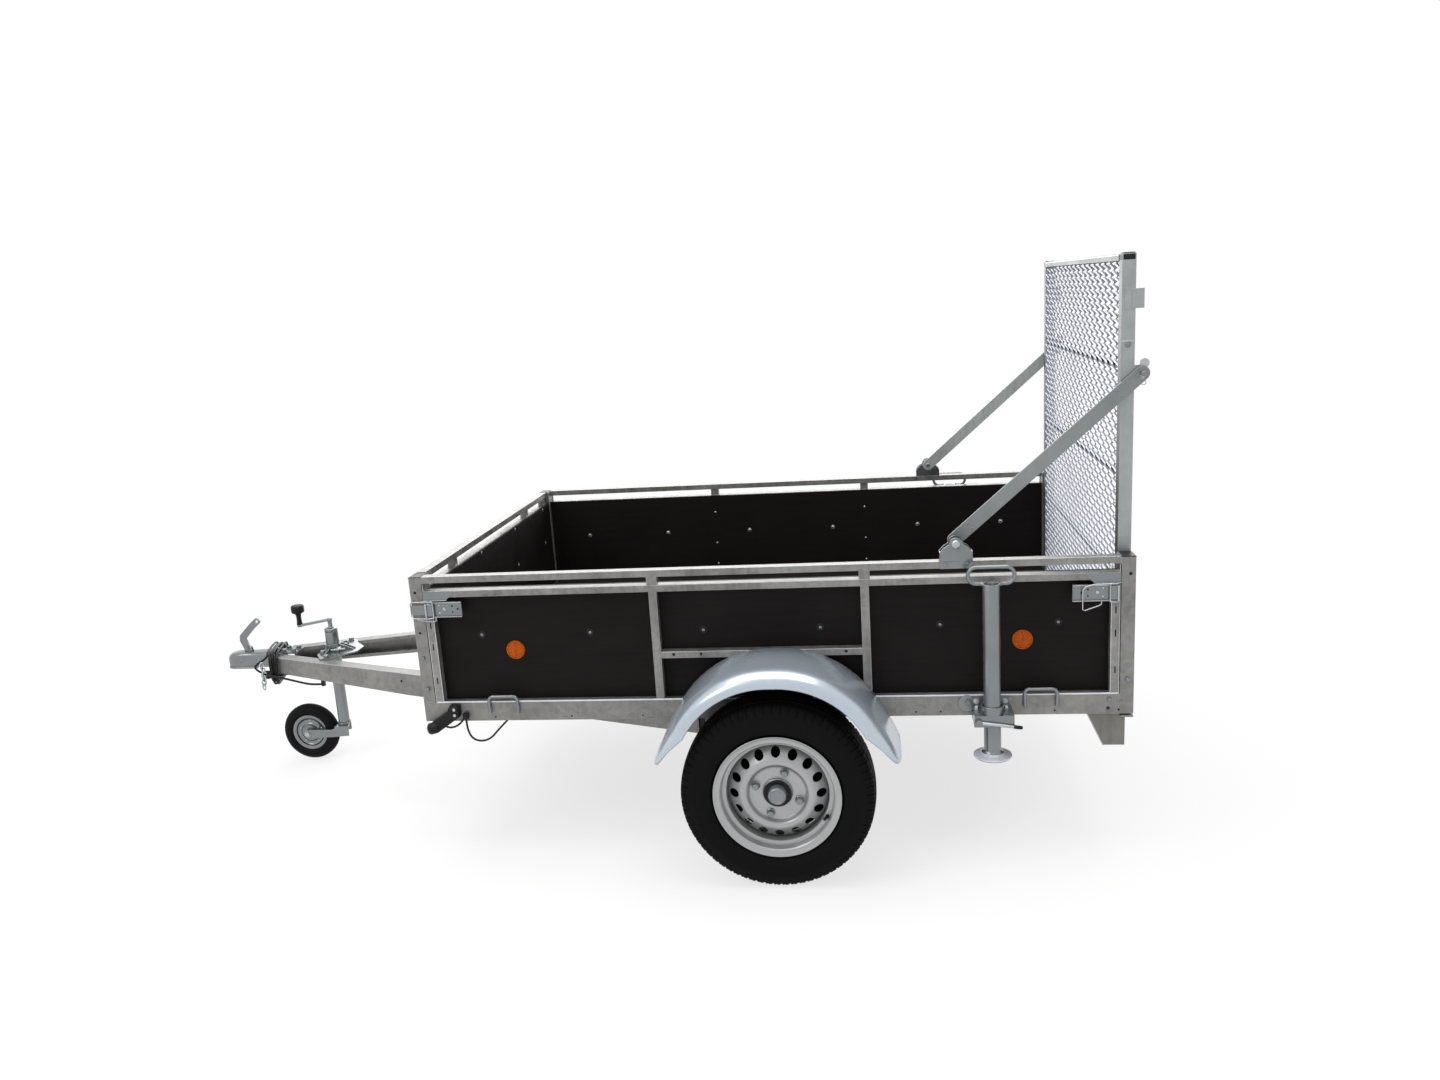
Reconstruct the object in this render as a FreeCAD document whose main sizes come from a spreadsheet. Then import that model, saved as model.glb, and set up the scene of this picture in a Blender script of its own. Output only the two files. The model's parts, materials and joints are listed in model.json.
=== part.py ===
"""Single-axle utility trailer with plywood sides, an upright mesh ramp and a jockey wheel.

Frame: X runs from the coupling (-X) to the ramp (+X), Y to the trailer's right, Z up.
The origin lies on the ground under the middle of the trailer's overall length.
Lengths are in millimetres and angles in degrees.
"""
import FreeCAD
import Part
import math
import os

from FreeCAD import Placement, Rotation, Vector

DOC = FreeCAD.newDocument("utility_trailer")
SHEET = DOC.addObject("Spreadsheet::Sheet", "Sizes")
NODES = {}

# Each row: alias, value, what it is.
SIZES = [
    ("wheel_radius", 278, "road tyre, outer radius"),
    ("tyre_width", 155, "road tyre, widest"),
    ("tread_width", 116, "road tyre, flat of the tread"),
    ("tyre_wall", 10, "road tyre, thickness"),
    ("wheel_plane", 862, "centreline to the middle of a wheel"),
    ("flange_radius", 182.5, "rim flange, outer radius"),
    ("bead_radius", 165, "rim, bead seat radius"),
    ("bead_spacing", 114, "between the rim flanges"),
    ("rim_sheet", 4, "rim, sheet thickness"),
    ("rim_offset", 30, "wheel mounting face outboard of the wheel plane"),
    ("bolt_circle", 130, "wheel bolts, pitch circle diameter"),
    ("disc_holes", 16, "round holes in the wheel disc"),
    ("disc_hole_radius", 13.5, "round hole in the wheel disc"),
    ("disc_hole_ring", 124, "radius of the ring of disc holes"),
    ("hub_bore", 42.5, "wheel disc, centre bore radius"),
    ("hub_radius", 36, "hub barrel radius"),
    ("hub_cap_radius", 27, "grease cap radius"),
    ("hub_cap_length", 34, "grease cap, proud of the mounting face"),
    ("stub_radius", 15, "stub axle radius"),
    ("running_gap", 0.05, "radial clearance of a shaft that turns"),
    ("bed_length", 2100, "bed, outside"),
    ("bed_half_width", 720, "centreline to the outside of the side frames"),
    ("bed_ahead", 45, "middle of the bed ahead of the axle"),
    ("chassis_bottom", 435, "underside of the chassis frame above the ground"),
    ("chassis_height", 60, "side rail and cross member, height"),
    ("side_rail_width", 40, "side rail, width"),
    ("tube_wall", 2.5, "frame tube, wall"),
    ("post_length", 40, "corner post, along the trailer"),
    ("post_width", 60, "corner post, across the trailer"),
    ("cap_height", 3, "plastic cap on a post or tube"),
    ("cap_overhang", 1.5, "plastic cap past its tube"),
    ("cross_width", 45, "cross member, along the trailer"),
    ("floor_thickness", 15, "plywood floor"),
    ("panel_thickness", 12, "plywood side wall"),
    ("front_panel_thickness", 9, "plywood front wall"),
    ("wall_height", 400, "top of the walls above the chassis frame"),
    ("rail_height", 20, "wall rail, height"),
    ("rail_gap", 25, "gap under the top rail"),
    ("rail_depth", 30, "wall rail, across"),
    ("upright_width", 23, "wall upright, width"),
    ("upright_reach", 308, "side uprights from the middle of the bed"),
    ("front_upright_reach", 395, "front wall uprights from the centreline"),
    ("saddle_width", 31, "bracket that joins an upright to both rails"),
    ("edge_strip", 24, "profile along a side wall's end"),
    ("guard_rail_top", 150, "rail behind the mudguard above the chassis frame"),
    ("moving_gap", 5, "clearance beside a moving frame"),
    ("seat_gap", 0.3, "clearance of pieces that only touch"),
    ("front_wall_sill", 14, "front wall's lower edge above the chassis frame"),
    ("arm_angle", 18.5, "drawbar arm from the centreline, degrees"),
    ("arm_height", 80, "drawbar arm, height"),
    ("arm_nose_height", 60, "drawbar arm, height at its front end"),
    ("arm_flange", 45, "drawbar arm, width"),
    ("arm_wall", 4, "drawbar arm, sheet thickness"),
    ("arm_reach", 1960, "front end of the arms ahead of the axle"),
    ("arm_taper_reach", 1350, "full arm height starts ahead of the axle"),
    ("arm_rear_reach", 256, "rear end of the arms ahead of the axle"),
    ("arm_nose_spread", 75, "centreline to the arm's outer face at its front end"),
    ("coupling_length", 190, "front end of the arms to the coupling ball"),
    ("nose_radius", 36, "coupling nose, radius about the ball"),
    ("ball_bore", 25.4, "coupling socket, radius"),
    ("ball_depth", 48, "coupling socket, depth"),
    ("head_height", 70, "coupling head, height"),
    ("head_half_width", 32, "coupling head, half width"),
    ("head_wall", 5, "coupling head, pressed sheet"),
    ("head_proud", 14, "coupling head above the arms"),
    ("head_length", 90, "coupling head behind its ball"),
    ("neck_sheet", 6, "coupling neck above the arms"),
    ("neck_half_width", 34, "coupling neck, half width"),
    ("tongue_length", 70, "coupling tongue on top of the arms"),
    ("handle_width", 28, "coupling handle, flat bar"),
    ("handle_thickness", 8, "coupling handle, flat bar"),
    ("jockey_setback", 205, "jockey tube behind the front end of the arms"),
    ("jockey_tube_radius", 24, "jockey wheel, outer tube radius"),
    ("jockey_tube_wall", 2.5, "jockey wheel, outer tube wall"),
    ("jockey_leg_radius", 21, "jockey wheel, inner tube radius"),
    ("jockey_tube_top", 525, "outer tube's top above the ground"),
    ("jockey_tube_bottom", 352, "outer tube's lower end above the ground"),
    ("jockey_leg_top", 430, "inner tube's top above the ground"),
    ("jockey_leg_bottom", 150, "inner tube's lower end above the ground"),
    ("jockey_trail", 137, "jockey wheel ahead of its tube"),
    ("jockey_wheel_radius", 110, "jockey wheel tyre, outer radius"),
    ("jockey_rim_radius", 70, "jockey wheel rim, radius"),
    ("jockey_wheel_width", 50, "jockey wheel tyre, width"),
    ("jockey_hub_width", 62, "jockey wheel hub, width"),
    ("jockey_axle_radius", 10, "jockey wheel bolt, radius"),
    ("fork_thickness", 5, "jockey fork cheek, thickness"),
    ("fork_width", 34, "jockey fork cheek, width"),
    ("crank_rise", 38, "crank arm above the outer tube"),
    ("crank_reach", 122, "crank arm, length"),
    ("knob_radius", 24, "crank knob, radius"),
    ("clamp_plate", 6, "jockey clamp plate, thickness"),
    ("clamp_overlap", 14, "jockey clamp plate short of the arms' outer faces"),
    ("beam_ahead", 140, "axle beam ahead of the axle"),
    ("beam_side", 70, "axle beam, square side"),
    ("beam_wall", 5, "axle beam, wall"),
    ("beam_centre", 335, "axle beam's centre above the ground"),
    ("beam_half_length", 692, "centreline to the beam's end"),
    ("beam_plate_reach", 673, "centreline to the axle mounting plate's outer face"),
    ("swing_gap", 8, "beam's end to the swing arm"),
    ("beam_plate", 8, "axle mounting plate, thickness"),
    ("beam_plate_half", 90, "axle mounting plate, half its length"),
    ("beam_foot_half", 110, "axle mounting foot, half its length"),
    ("beam_foot_reach", 30, "axle mounting foot, each way from the plate's outer face"),
    ("beam_foot_depth", 6, "axle mounting foot, thickness"),
    ("swing_thickness", 30, "swing arm, thickness"),
    ("swing_radius", 38, "swing arm, end radius"),
    ("guard_top", 652, "mudguard's top above the ground"),
    ("guard_flat", 115, "mudguard, half length of its flat top"),
    ("guard_corner", 190, "mudguard, corner radius"),
    ("guard_turn", 68, "mudguard, turn of each corner, degrees"),
    ("guard_tip", 375, "mudguard's tips above the ground"),
    ("guard_width", 225, "mudguard, width"),
    ("guard_sheet", 2.5, "mudguard, sheet thickness"),
    ("guard_shoulder", 36, "mudguard, radius of its outer shoulder"),
    ("guard_lip", 44, "mudguard, depth of its outer lip"),
    ("guard_flange", 22, "mudguard, depth of its inner flange"),
    ("stand_setback", 395, "rear stands ahead of the bed's rear end"),
    ("stand_radius", 24, "rear stand tube, radius"),
    ("stand_wall", 3, "rear stand tube, wall"),
    ("stand_offset", 48, "stand's axis outboard of the side frame"),
    ("stand_top", 840, "stand tube's top above the ground"),
    ("stand_foot", 330, "stand's foot above the ground"),
    ("foot_radius", 54, "stand's foot plate, radius"),
    ("foot_thickness", 6, "stand's foot plate, thickness"),
    ("loop_length", 137, "stand's loop handle, length"),
    ("loop_height", 58, "stand's loop handle, height"),
    ("loop_rod", 5.5, "stand's loop handle, rod radius"),
    ("stand_clamp_bottom", 428, "stand clamp's lower edge above the ground"),
    ("stand_clamp_height", 62, "stand clamp, height"),
    ("stand_clamp_wall", 8, "stand clamp, wall around the tube"),
    ("sliding_gap", 0.1, "radial clearance of a tube that slides"),
    ("ramp_tube", 36, "ramp frame tube, square side"),
    ("ramp_setback", 18, "ramp's hinge ahead of the bed's rear end"),
    ("ramp_hinge", 470, "ramp's hinge above the ground"),
    ("ramp_length", 1233, "hinge to the ramp's top"),
    ("mesh_thickness", 4, "expanded mesh, thickness"),
    ("mesh_openings", 12, "openings of the mesh, across and up"),
    ("mesh_strand", 15, "strand between two openings of the mesh"),
    ("ramp_bar", 20, "ramp's cross bars, square side"),
    ("hinge_pin", 8, "ramp's hinge pin, radius"),
    ("wall_pin", 5, "front wall's hinge pin, radius"),
    ("pin_depth", 20, "hinge pin inside what it carries"),
    ("lug_length", 30, "stay lug on the ramp tube, along the trailer"),
    ("lug_height", 44, "stay lug on the ramp tube, height"),
    ("lug_plate", 6, "stay lug on the ramp tube, thickness"),
    ("stay_foot", 520, "stay's lower pivot behind the axle"),
    ("stay_foot_rise", 48, "stay's lower pivot above the walls"),
    ("stay_head", 1024, "stay's upper pin behind the axle"),
    ("stay_head_height", 1387, "stay's upper pin above the ground"),
    ("stay_width", 40, "stay, flat bar"),
    ("stay_thickness", 5, "stay, flat bar"),
    ("stay_pin", 7, "stay's pins, radius"),
    ("bracket_plate", 3, "stay bracket, sheet thickness"),
    ("bracket_length", 92, "stay bracket, along the rail"),
    ("bracket_drop", 22, "stay bracket, down over the rail"),
    ("tie_setback", 255, "tie loops from the bed's ends"),
    ("tie_length", 92, "tie loop, length"),
    ("tie_rise", 24, "tie loop above the side rail"),
    ("tie_drop", 22, "tie loop down the side rail"),
    ("tie_rod", 5, "tie loop, rod radius"),
    ("reflector_radius", 29, "side reflector, radius"),
    ("reflector_proud", 7, "side reflector, thickness"),
    ("reflector_front", 794, "front side reflector ahead of the axle"),
    ("reflector_rear", 704, "rear side reflector behind the axle"),
    ("reflector_height", 652, "side reflector above the ground"),
    ("latch_length", 105, "corner latch plate, length"),
    ("latch_height", 42, "corner latch plate, height"),
    ("latch_depth", 14, "corner latch plate, depth"),
    ("latch_centre", 788, "corner latch above the ground"),
    ("latch_rod", 3, "latch bail, rod radius"),
    ("bumper_bottom", 334, "lamp beam's lower edge above the ground"),
    ("bumper_length", 106, "lamp beam's top, along the trailer"),
    ("bumper_foot", 60, "lamp beam's bottom, along the trailer"),
    ("bumper_sheet", 3, "lamp beam, sheet thickness"),
    ("bumper_inset", 12, "lamp beam's end inboard of the side frame"),
    ("bumper_setback", 20, "lamp beam's face ahead of the bed's rear end"),
    ("lamp_length", 230, "tail lamp, across the trailer"),
    ("lamp_height", 80, "tail lamp, height"),
    ("lamp_depth", 48, "tail lamp, depth"),
    ("marker_depth", 32, "front marker lamp, across the trailer"),
    ("marker_start", 14, "marker arm's lower front corner from the bed's front end"),
    ("marker_nose", 40, "marker arm's lower rear corner from the bed's front end"),
    ("marker_drop", 30, "marker arm's lower end below the frame's underside"),
    ("marker_heel", 115, "marker arm's lower bend from the bed's front end"),
    ("marker_heel_rise", 17, "marker arm's lower bend above the frame's underside"),
    ("marker_end", 117, "marker arm's upper rear corner from the bed's front end"),
    ("marker_shoulder", 81, "marker arm's upper front corner from the bed's front end"),
    ("marker_rise", 57, "marker arm's upper end above the frame's underside"),
    ("marker_chest", 15, "marker arm's front bend, along and up"),
    ("cable_radius", 3.5, "trailer cable, radius"),
    ("wire_radius", 2.25, "marker lamp wire, radius"),
    ("grommet_side", 12, "wire's grommet, along and across"),
    ("grommet_height", 16, "wire's grommet, height"),
    ("grommet_start", 130, "wire's grommet from the bed's front end"),
    ("grommet_rise", 11, "wire's grommet above the frame's underside"),
    ("hank_half_width", 110, "coiled cable, centreline to its outside"),
    ("hank_bundle", 24, "coiled cable, thickness of its bundle"),
    ("hank_bottom", 315, "coiled cable's lowest point above the ground"),
    ("hank_length", 105, "coiled cable, along the trailer"),
    ("hank_setback", 25, "coiled cable's rear end behind the front end of the arms"),
    ("plug_radius", 16, "trailer plug, radius"),
    ("plug_length", 78, "trailer plug, length"),
    ("clip_setback", 214, "cable clip behind the front end of the arms"),
    ("clip_width", 12, "cable clip, width"),
]


def fill_sheet():
    """Write the sizes into the spreadsheet as plain numbers with aliases."""
    for row, (alias, number, meaning) in enumerate(SIZES, start=1):
        SHEET.set(f"A{row}", meaning)
        SHEET.set(f"B{row}", str(number))
        SHEET.setAlias(f"B{row}", alias)


class Size:
    """A length or angle that knows its number and its spreadsheet formula."""

    def __init__(self, text, number):
        self.text = text
        self.number = number

    def __add__(self, other):
        other = size_of(other)
        return Size(f"({self.text} + {other.text})", self.number + other.number)

    def __radd__(self, other):
        return size_of(other) + self

    def __sub__(self, other):
        other = size_of(other)
        return Size(f"({self.text} - {other.text})", self.number - other.number)

    def __rsub__(self, other):
        return size_of(other) - self

    def __mul__(self, other):
        other = size_of(other)
        return Size(f"({self.text} * {other.text})", self.number * other.number)

    def __rmul__(self, other):
        return size_of(other) * self

    def __truediv__(self, other):
        other = size_of(other)
        return Size(f"({self.text} / {other.text})", self.number / other.number)

    def __neg__(self):
        return Size(f"(0 - {self.text})", -self.number)


def size_of(thing):
    """Take a plain number as a Size."""
    if isinstance(thing, Size):
        return thing
    return Size(repr(thing), thing)


class Sizes:
    """The spreadsheet's cells as Size values, by alias."""

    def __init__(self):
        for alias, number, _ in SIZES:
            setattr(self, alias, Size(f"Sizes.{alias}", number))


S = Sizes()
SIDES = {"left": -1, "right": 1}

# Places along the trailer. The origin is in the middle of the overall length.
REAR_REACH = S.stay_head + S.stay_width / 2
BALL_REACH = S.arm_reach + S.coupling_length
AXLE = (BALL_REACH + S.nose_radius - REAR_REACH) / 2
BED_MIDDLE = AXLE - S.bed_ahead
BED_FRONT = BED_MIDDLE - S.bed_length / 2
BED_REAR = BED_MIDDLE + S.bed_length / 2
RAILS_FRONT = BED_FRONT + S.post_length
RAILS_REAR = BED_REAR - S.post_length

ARM_SLOPE = Size("tan(Sizes.arm_angle * 1 deg)", math.tan(math.radians(S.arm_angle.number)))

# Places across the trailer, from the centreline outwards.
FRAME_OUTER = S.bed_half_width
FRAME_INNER = FRAME_OUTER - S.rail_depth
PANEL_INNER = FRAME_INNER - S.panel_thickness
POST_INNER = FRAME_OUTER - S.post_width
GATE_OUTER = POST_INNER - S.moving_gap

# Heights above the ground.
CHASSIS_TOP = S.chassis_bottom + S.chassis_height
FLOOR_TOP = CHASSIS_TOP + S.floor_thickness
WALL_TOP = CHASSIS_TOP + S.wall_height
TOP_RAIL_BOTTOM = WALL_TOP - S.rail_height
SECOND_RAIL_TOP = TOP_RAIL_BOTTOM - S.rail_gap
SECOND_RAIL_BOTTOM = SECOND_RAIL_TOP - S.rail_height


def bind(thing, path, size):
    """Bind one property to its spreadsheet formula, or set a plain number."""
    size = size_of(size)
    if "Sizes." in size.text:
        thing.setExpression(path, size.text)
    elif path.startswith(".Placement.Base."):
        place = thing.Placement
        setattr(place.Base, path[-1], size.number)
        thing.Placement = place
    else:
        setattr(thing, path, size.number)


def locate(thing, at, turn=None):
    """Bind a piece's place, after an optional fixed turn."""
    if turn is not None:
        thing.Placement = Placement(Vector(), turn)
    for letter, size in zip("xyz", at):
        bind(thing, ".Placement.Base." + letter, size)
    return thing


def box(name, x, y, z):
    """A block between two places along each axis."""
    thing = DOC.addObject("Part::Box", name)
    bind(thing, "Length", size_of(x[1]) - x[0])
    bind(thing, "Width", size_of(y[1]) - y[0])
    bind(thing, "Height", size_of(z[1]) - z[0])
    return locate(thing, (x[0], y[0], z[0]))


TURNS = {
    "x": Rotation(Vector(0, 1, 0), 90),
    "y": Rotation(Vector(1, 0, 0), -90),
    "z": Rotation(),
}


def rod(name, radius, start, length, axis="z"):
    """A round bar from a start point along an axis."""
    thing = DOC.addObject("Part::Cylinder", name)
    bind(thing, "Radius", radius)
    bind(thing, "Height", length)
    return locate(thing, start, TURNS[axis])


def fuse(name, pieces):
    """Join pieces into one solid."""
    if len(pieces) == 1:
        return pieces[0]
    thing = DOC.addObject("Part::MultiFuse", name)
    thing.Shapes = pieces
    thing.Refine = True
    return thing


def cut(name, base, tools):
    """Take the tools away from a base."""
    thing = DOC.addObject("Part::Cut", name)
    thing.Base = base
    thing.Tool = fuse(name + "_tools", tools)
    thing.Refine = True
    return thing


def group(name, pieces):
    """Keep pieces of one node that don't touch as separate solids."""
    thing = DOC.addObject("Part::Compound", name)
    thing.Links = pieces
    return thing


def shape(name, solid):
    """A piece whose shape is worked out from the sheet's sizes in code."""
    thing = DOC.addObject("Part::Feature", name)
    thing.Shape = solid
    return thing


def node(name, thing):
    """Name a finished sub-part."""
    thing.Label = name
    NODES[name] = thing
    return thing


def across(side, inner, outer):
    """The two places across the trailer of a piece on one side."""
    if side < 0:
        return (-size_of(outer), -size_of(inner))
    return (size_of(inner), size_of(outer))


def point(x, y, z):
    """A point from sizes or numbers."""
    return Vector(size_of(x).number, size_of(y).number, size_of(z).number)


def wire_of(points, closed=True):
    """A wire of straight runs."""
    ends = points + points[:1] if closed else points
    return Part.makePolygon(ends)


def slab(points, direction):
    """A solid from a closed outline and the way it is extruded."""
    return Part.Face(wire_of(points)).extrude(direction)


def arc(start, middle, end):
    """An edge through three points."""
    return Part.Arc(start, middle, end).toShape()


def swept(path, radius):
    """A round rod along a wire."""
    edge = path.OrderedEdges[0]
    start = edge.valueAt(edge.FirstParameter)
    along = edge.tangentAt(edge.FirstParameter)
    ring = Part.Wire(Part.makeCircle(radius, start, along))
    return path.makePipeShell([ring], True, True, 2)


def rounded_path(points, radii, closed=False):
    """Straight runs joined by tangent arcs; one radius for each inner point."""
    edges = []
    count = len(points)
    corners = range(count) if closed else range(1, count - 1)
    cuts = {}
    for place, corner in enumerate(corners):
        here = points[corner]
        back = (points[corner - 1] - here).normalize()
        ahead = (points[(corner + 1) % count] - here).normalize()
        half_turn = (math.pi - back.getAngle(ahead)) / 2
        reach = radii[place] * math.tan(half_turn)
        inward = (back + ahead).normalize()
        centre = here + inward * (radii[place] / math.cos(half_turn))
        middle = centre - inward * radii[place]
        cuts[corner] = (here + back * reach, middle, here + ahead * reach)
    runs = range(count) if closed else range(count - 1)
    for run in runs:
        following = (run + 1) % count
        start = cuts[run][2] if run in cuts else points[run]
        end = cuts[following][0] if following in cuts else points[following]
        if run in cuts:
            edges.append(arc(*cuts[run]))
        if (end - start).Length > 1e-6:
            edges.append(Part.makeLine(start, end))
    return Part.Wire(Part.__sortEdges__(edges))


def turned(outline, centre):
    """A solid turned about the Y line through a centre, from (across, radius) points or arcs."""
    edges = []
    start = None
    first = None
    for step in outline:
        here = centre + Vector(0, step[-2], step[-1])
        if start is None:
            first = here
        elif len(step) == 4:
            edges.append(arc(start, centre + Vector(0, step[0], step[1]), here))
        else:
            edges.append(Part.makeLine(start, here))
        start = here
    edges.append(Part.makeLine(start, first))
    face = Part.Face(Part.Wire(edges))
    return face.revolve(centre, Vector(0, 1, 0), 360)


# ---------------------------------------------------------------- road wheels

BOLT_TURN = 70


def wheel_centre(side):
    """The middle of a road wheel."""
    return point(AXLE, side * S.wheel_plane, S.wheel_radius)


def tyre(side):
    """A tubeless tyre: a hollow ring, open towards the rim between its beads."""
    half = S.tyre_width.number / 2
    tread = S.tread_width.number / 2
    top = S.wheel_radius.number
    bead = S.bead_radius.number + S.seat_gap.number
    inner_half = S.bead_spacing.number / 2 - S.seat_gap.number
    wall = S.tyre_wall.number
    lip = S.flange_radius.number
    waist = (bead + top) / 2 + 6
    shoulder = half - 9
    outer = [
        (-inner_half, bead), (-inner_half, lip), (-half + 4, lip + 18), (-half, waist),
        (-shoulder, top - 16), (-shoulder + 4, top - 5), (-tread, top), (tread, top),
        (shoulder - 4, top - 5), (shoulder, top - 16), (half, waist), (half - 4, lip + 18),
        (inner_half, lip), (inner_half, bead),
    ]
    inner = [
        (inner_half - wall, bead), (inner_half - wall, lip), (half - wall, waist),
        (shoulder - wall, top - 18), (tread - 14, top - wall), (14 - tread, top - wall),
        (wall - shoulder, top - 18), (wall - half, waist), (wall - inner_half, lip),
        (wall - inner_half, bead),
    ]
    return turned(outer + inner, wheel_centre(side))


def rim(side):
    """A pressed steel wheel: rim, dished disc with round holes, bore and bolt holes."""
    flange = S.flange_radius.number
    seat = S.bead_radius.number
    half = S.bead_spacing.number / 2
    sheet = S.rim_sheet.number
    lip = half + 9
    well = seat - 16
    face = S.rim_offset.number
    bore = S.hub_bore.number
    crest = face + 17
    ring = S.disc_hole_ring.number
    barrel = [
        (-lip, flange), (-half, flange - 2), (-half, seat), (-half + 14, seat - 1),
        (-half + 24, well), (half - 40, well), (half - 24, seat - 1), (half, seat),
        (half, flange - 2), (lip, flange), (lip, flange - sheet), (half + sheet, flange - 6),
        (half + sheet, seat - sheet), (half - 23, seat - sheet - 1),
        (half - 39, well - sheet), (-half + 23, well - sheet),
        (-half + 13, seat - sheet - 1), (-half - sheet, seat - sheet),
        (-half - sheet, flange - 6), (-lip, flange - sheet),
    ]
    disc = [
        (face, bore), (face, 80), (crest, 94), (crest, 106), (face - 4, ring + 12),
        (face - 18, well - sheet), (face - 18 - sheet, well - sheet),
        (face - 4 - sheet, ring + 10), (crest - sheet, 104), (crest - sheet, 96),
        (face - sheet, 82), (face - sheet, bore),
    ]
    centre = wheel_centre(side)
    outward = [(across_it * side, radius) for across_it, radius in disc]
    solid = turned(barrel, centre).fuse(turned(outward, centre))
    tools = []
    deep = side * 120
    for hole in range(int(S.disc_holes.number)):
        turn = math.radians(360 * hole / S.disc_holes.number)
        foot = centre + Vector(math.cos(turn) * ring, -deep / 2, math.sin(turn) * ring)
        tools.append(Part.makeCylinder(S.disc_hole_radius.number, abs(deep), foot,
                                       Vector(0, side, 0)))
    for hole in range(4):
        turn = math.radians(BOLT_TURN + 90 * hole)
        reach = S.bolt_circle.number / 2
        foot = centre + Vector(math.cos(turn) * reach, -deep / 2, math.sin(turn) * reach)
        tools.append(Part.makeCylinder(7, abs(deep), foot, Vector(0, side, 0)))
    return solid.cut(Part.makeCompound(tools)).removeSplitter()


def hub(side):
    """A hub on its stub axle: barrel, bolt flange and grease cap, bored from inboard."""
    centre = wheel_centre(side)
    face = S.rim_offset.number - S.rim_sheet.number
    barrel = S.hub_radius.number
    cap = S.hub_cap_radius.number
    bore = S.stub_radius.number + S.running_gap.number
    end = S.rim_offset.number + S.hub_cap_length.number
    outline = [
        (-46, bore), (-46, barrel), (face - 12, barrel), (face - 12, 78), (face, 78),
        (face, S.hub_bore.number - 0.3), (face + 8, S.hub_bore.number - 0.3),
        (face + 8, cap), (end - 6, cap), (end, cap - 8), (end, 0), (end - 10, 0),
        (end - 10, bore),
    ]
    solid = turned([(side * y, radius) for y, radius in outline], centre)
    studs = []
    for hole in range(4):
        turn = math.radians(BOLT_TURN + 90 * hole)
        reach = S.bolt_circle.number / 2
        foot = centre + Vector(math.cos(turn) * reach, side * (face - 4), math.sin(turn) * reach)
        studs.append(Part.makeCylinder(6.5, S.rim_sheet.number + 4.3, foot, Vector(0, side, 0)))
        nut = foot + Vector(0, side * (S.rim_sheet.number + 4.3), 0)
        studs.append(Part.makeCylinder(11, 12, nut, Vector(0, side, 0)))
    return solid.fuse(studs).removeSplitter()


def wheels():
    """Both road wheels: a tyre, a rim and a hub each."""
    for name, side in SIDES.items():
        node("tyre_" + name, shape("Tyre_" + name, tyre(side)))
        node("rim_" + name, shape("Rim_" + name, rim(side)))
        node("hub_" + name, shape("Hub_" + name, hub(side)))


# ---------------------------------------------------------------- axle

def axle():
    """The torsion axle: square beam with its mounting plates, and a swing arm at each end."""
    beam_x = AXLE - S.beam_ahead
    half = S.beam_side / 2
    low = S.beam_centre - half
    high = S.beam_centre + half
    end = S.beam_half_length
    pieces = [box("Beam", (beam_x - half, beam_x + half), (-end, end), (low, high))]
    for name, side in SIDES.items():
        outer = S.beam_plate_reach
        plate_y = across(side, outer - S.beam_plate, outer)
        pieces.append(box("Beam_plate_" + name, (beam_x - S.beam_plate_half, beam_x + S.beam_plate_half),
                          plate_y, (low, S.chassis_bottom - S.beam_foot_depth)))
        pieces.append(box("Beam_foot_" + name, (beam_x - S.beam_foot_half, beam_x + S.beam_foot_half),
                          across(side, outer - S.beam_foot_reach, outer + S.beam_foot_reach),
                          (S.chassis_bottom - S.beam_foot_depth, S.chassis_bottom)))
    inner = half - S.beam_wall
    bore = box("Beam_bore", (beam_x - inner, beam_x + inner), (-end - 1, end + 1),
               (S.beam_centre - inner, S.beam_centre + inner))
    node("axle_beam", cut("Axle_beam", fuse("Axle_beam_blank", pieces), [bore]))

    arms = []
    for name, side in SIDES.items():
        start = (S.beam_half_length + S.swing_gap).number
        thick = S.swing_thickness.number
        beam = point(beam_x, side * start, S.beam_centre)
        stub = point(AXLE, side * start, S.wheel_radius)
        radius = S.swing_radius.number
        along = stub - beam
        normal = Vector(-along.z, 0, along.x).normalize()
        out = Vector(0, side * thick, 0)
        web = slab([beam + normal * radius, stub + normal * radius,
                    stub - normal * radius, beam - normal * radius], out)
        solid = web.fuse([
            Part.makeCylinder(radius, thick, beam, Vector(0, side, 0)),
            Part.makeCylinder(radius, thick, stub, Vector(0, side, 0)),
        ])
        reach = S.wheel_plane.number + S.rim_offset.number + 12 - start
        solid = solid.fuse(Part.makeCylinder(S.stub_radius.number, reach, stub,
                                             Vector(0, side, 0)))
        core = S.beam_side.number / 2 - S.beam_wall.number - S.seat_gap.number
        deep = S.beam_side.number + S.swing_gap.number
        corner = beam + Vector(-core, -deep if side > 0 else 0, -core)
        solid = solid.fuse(Part.makeBox(core * 2, deep, core * 2, corner))
        arms.append(shape("Swing_arm_" + name, solid.removeSplitter()))
    node("swing_arms", group("Swing_arms", arms))


# ---------------------------------------------------------------- chassis

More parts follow.
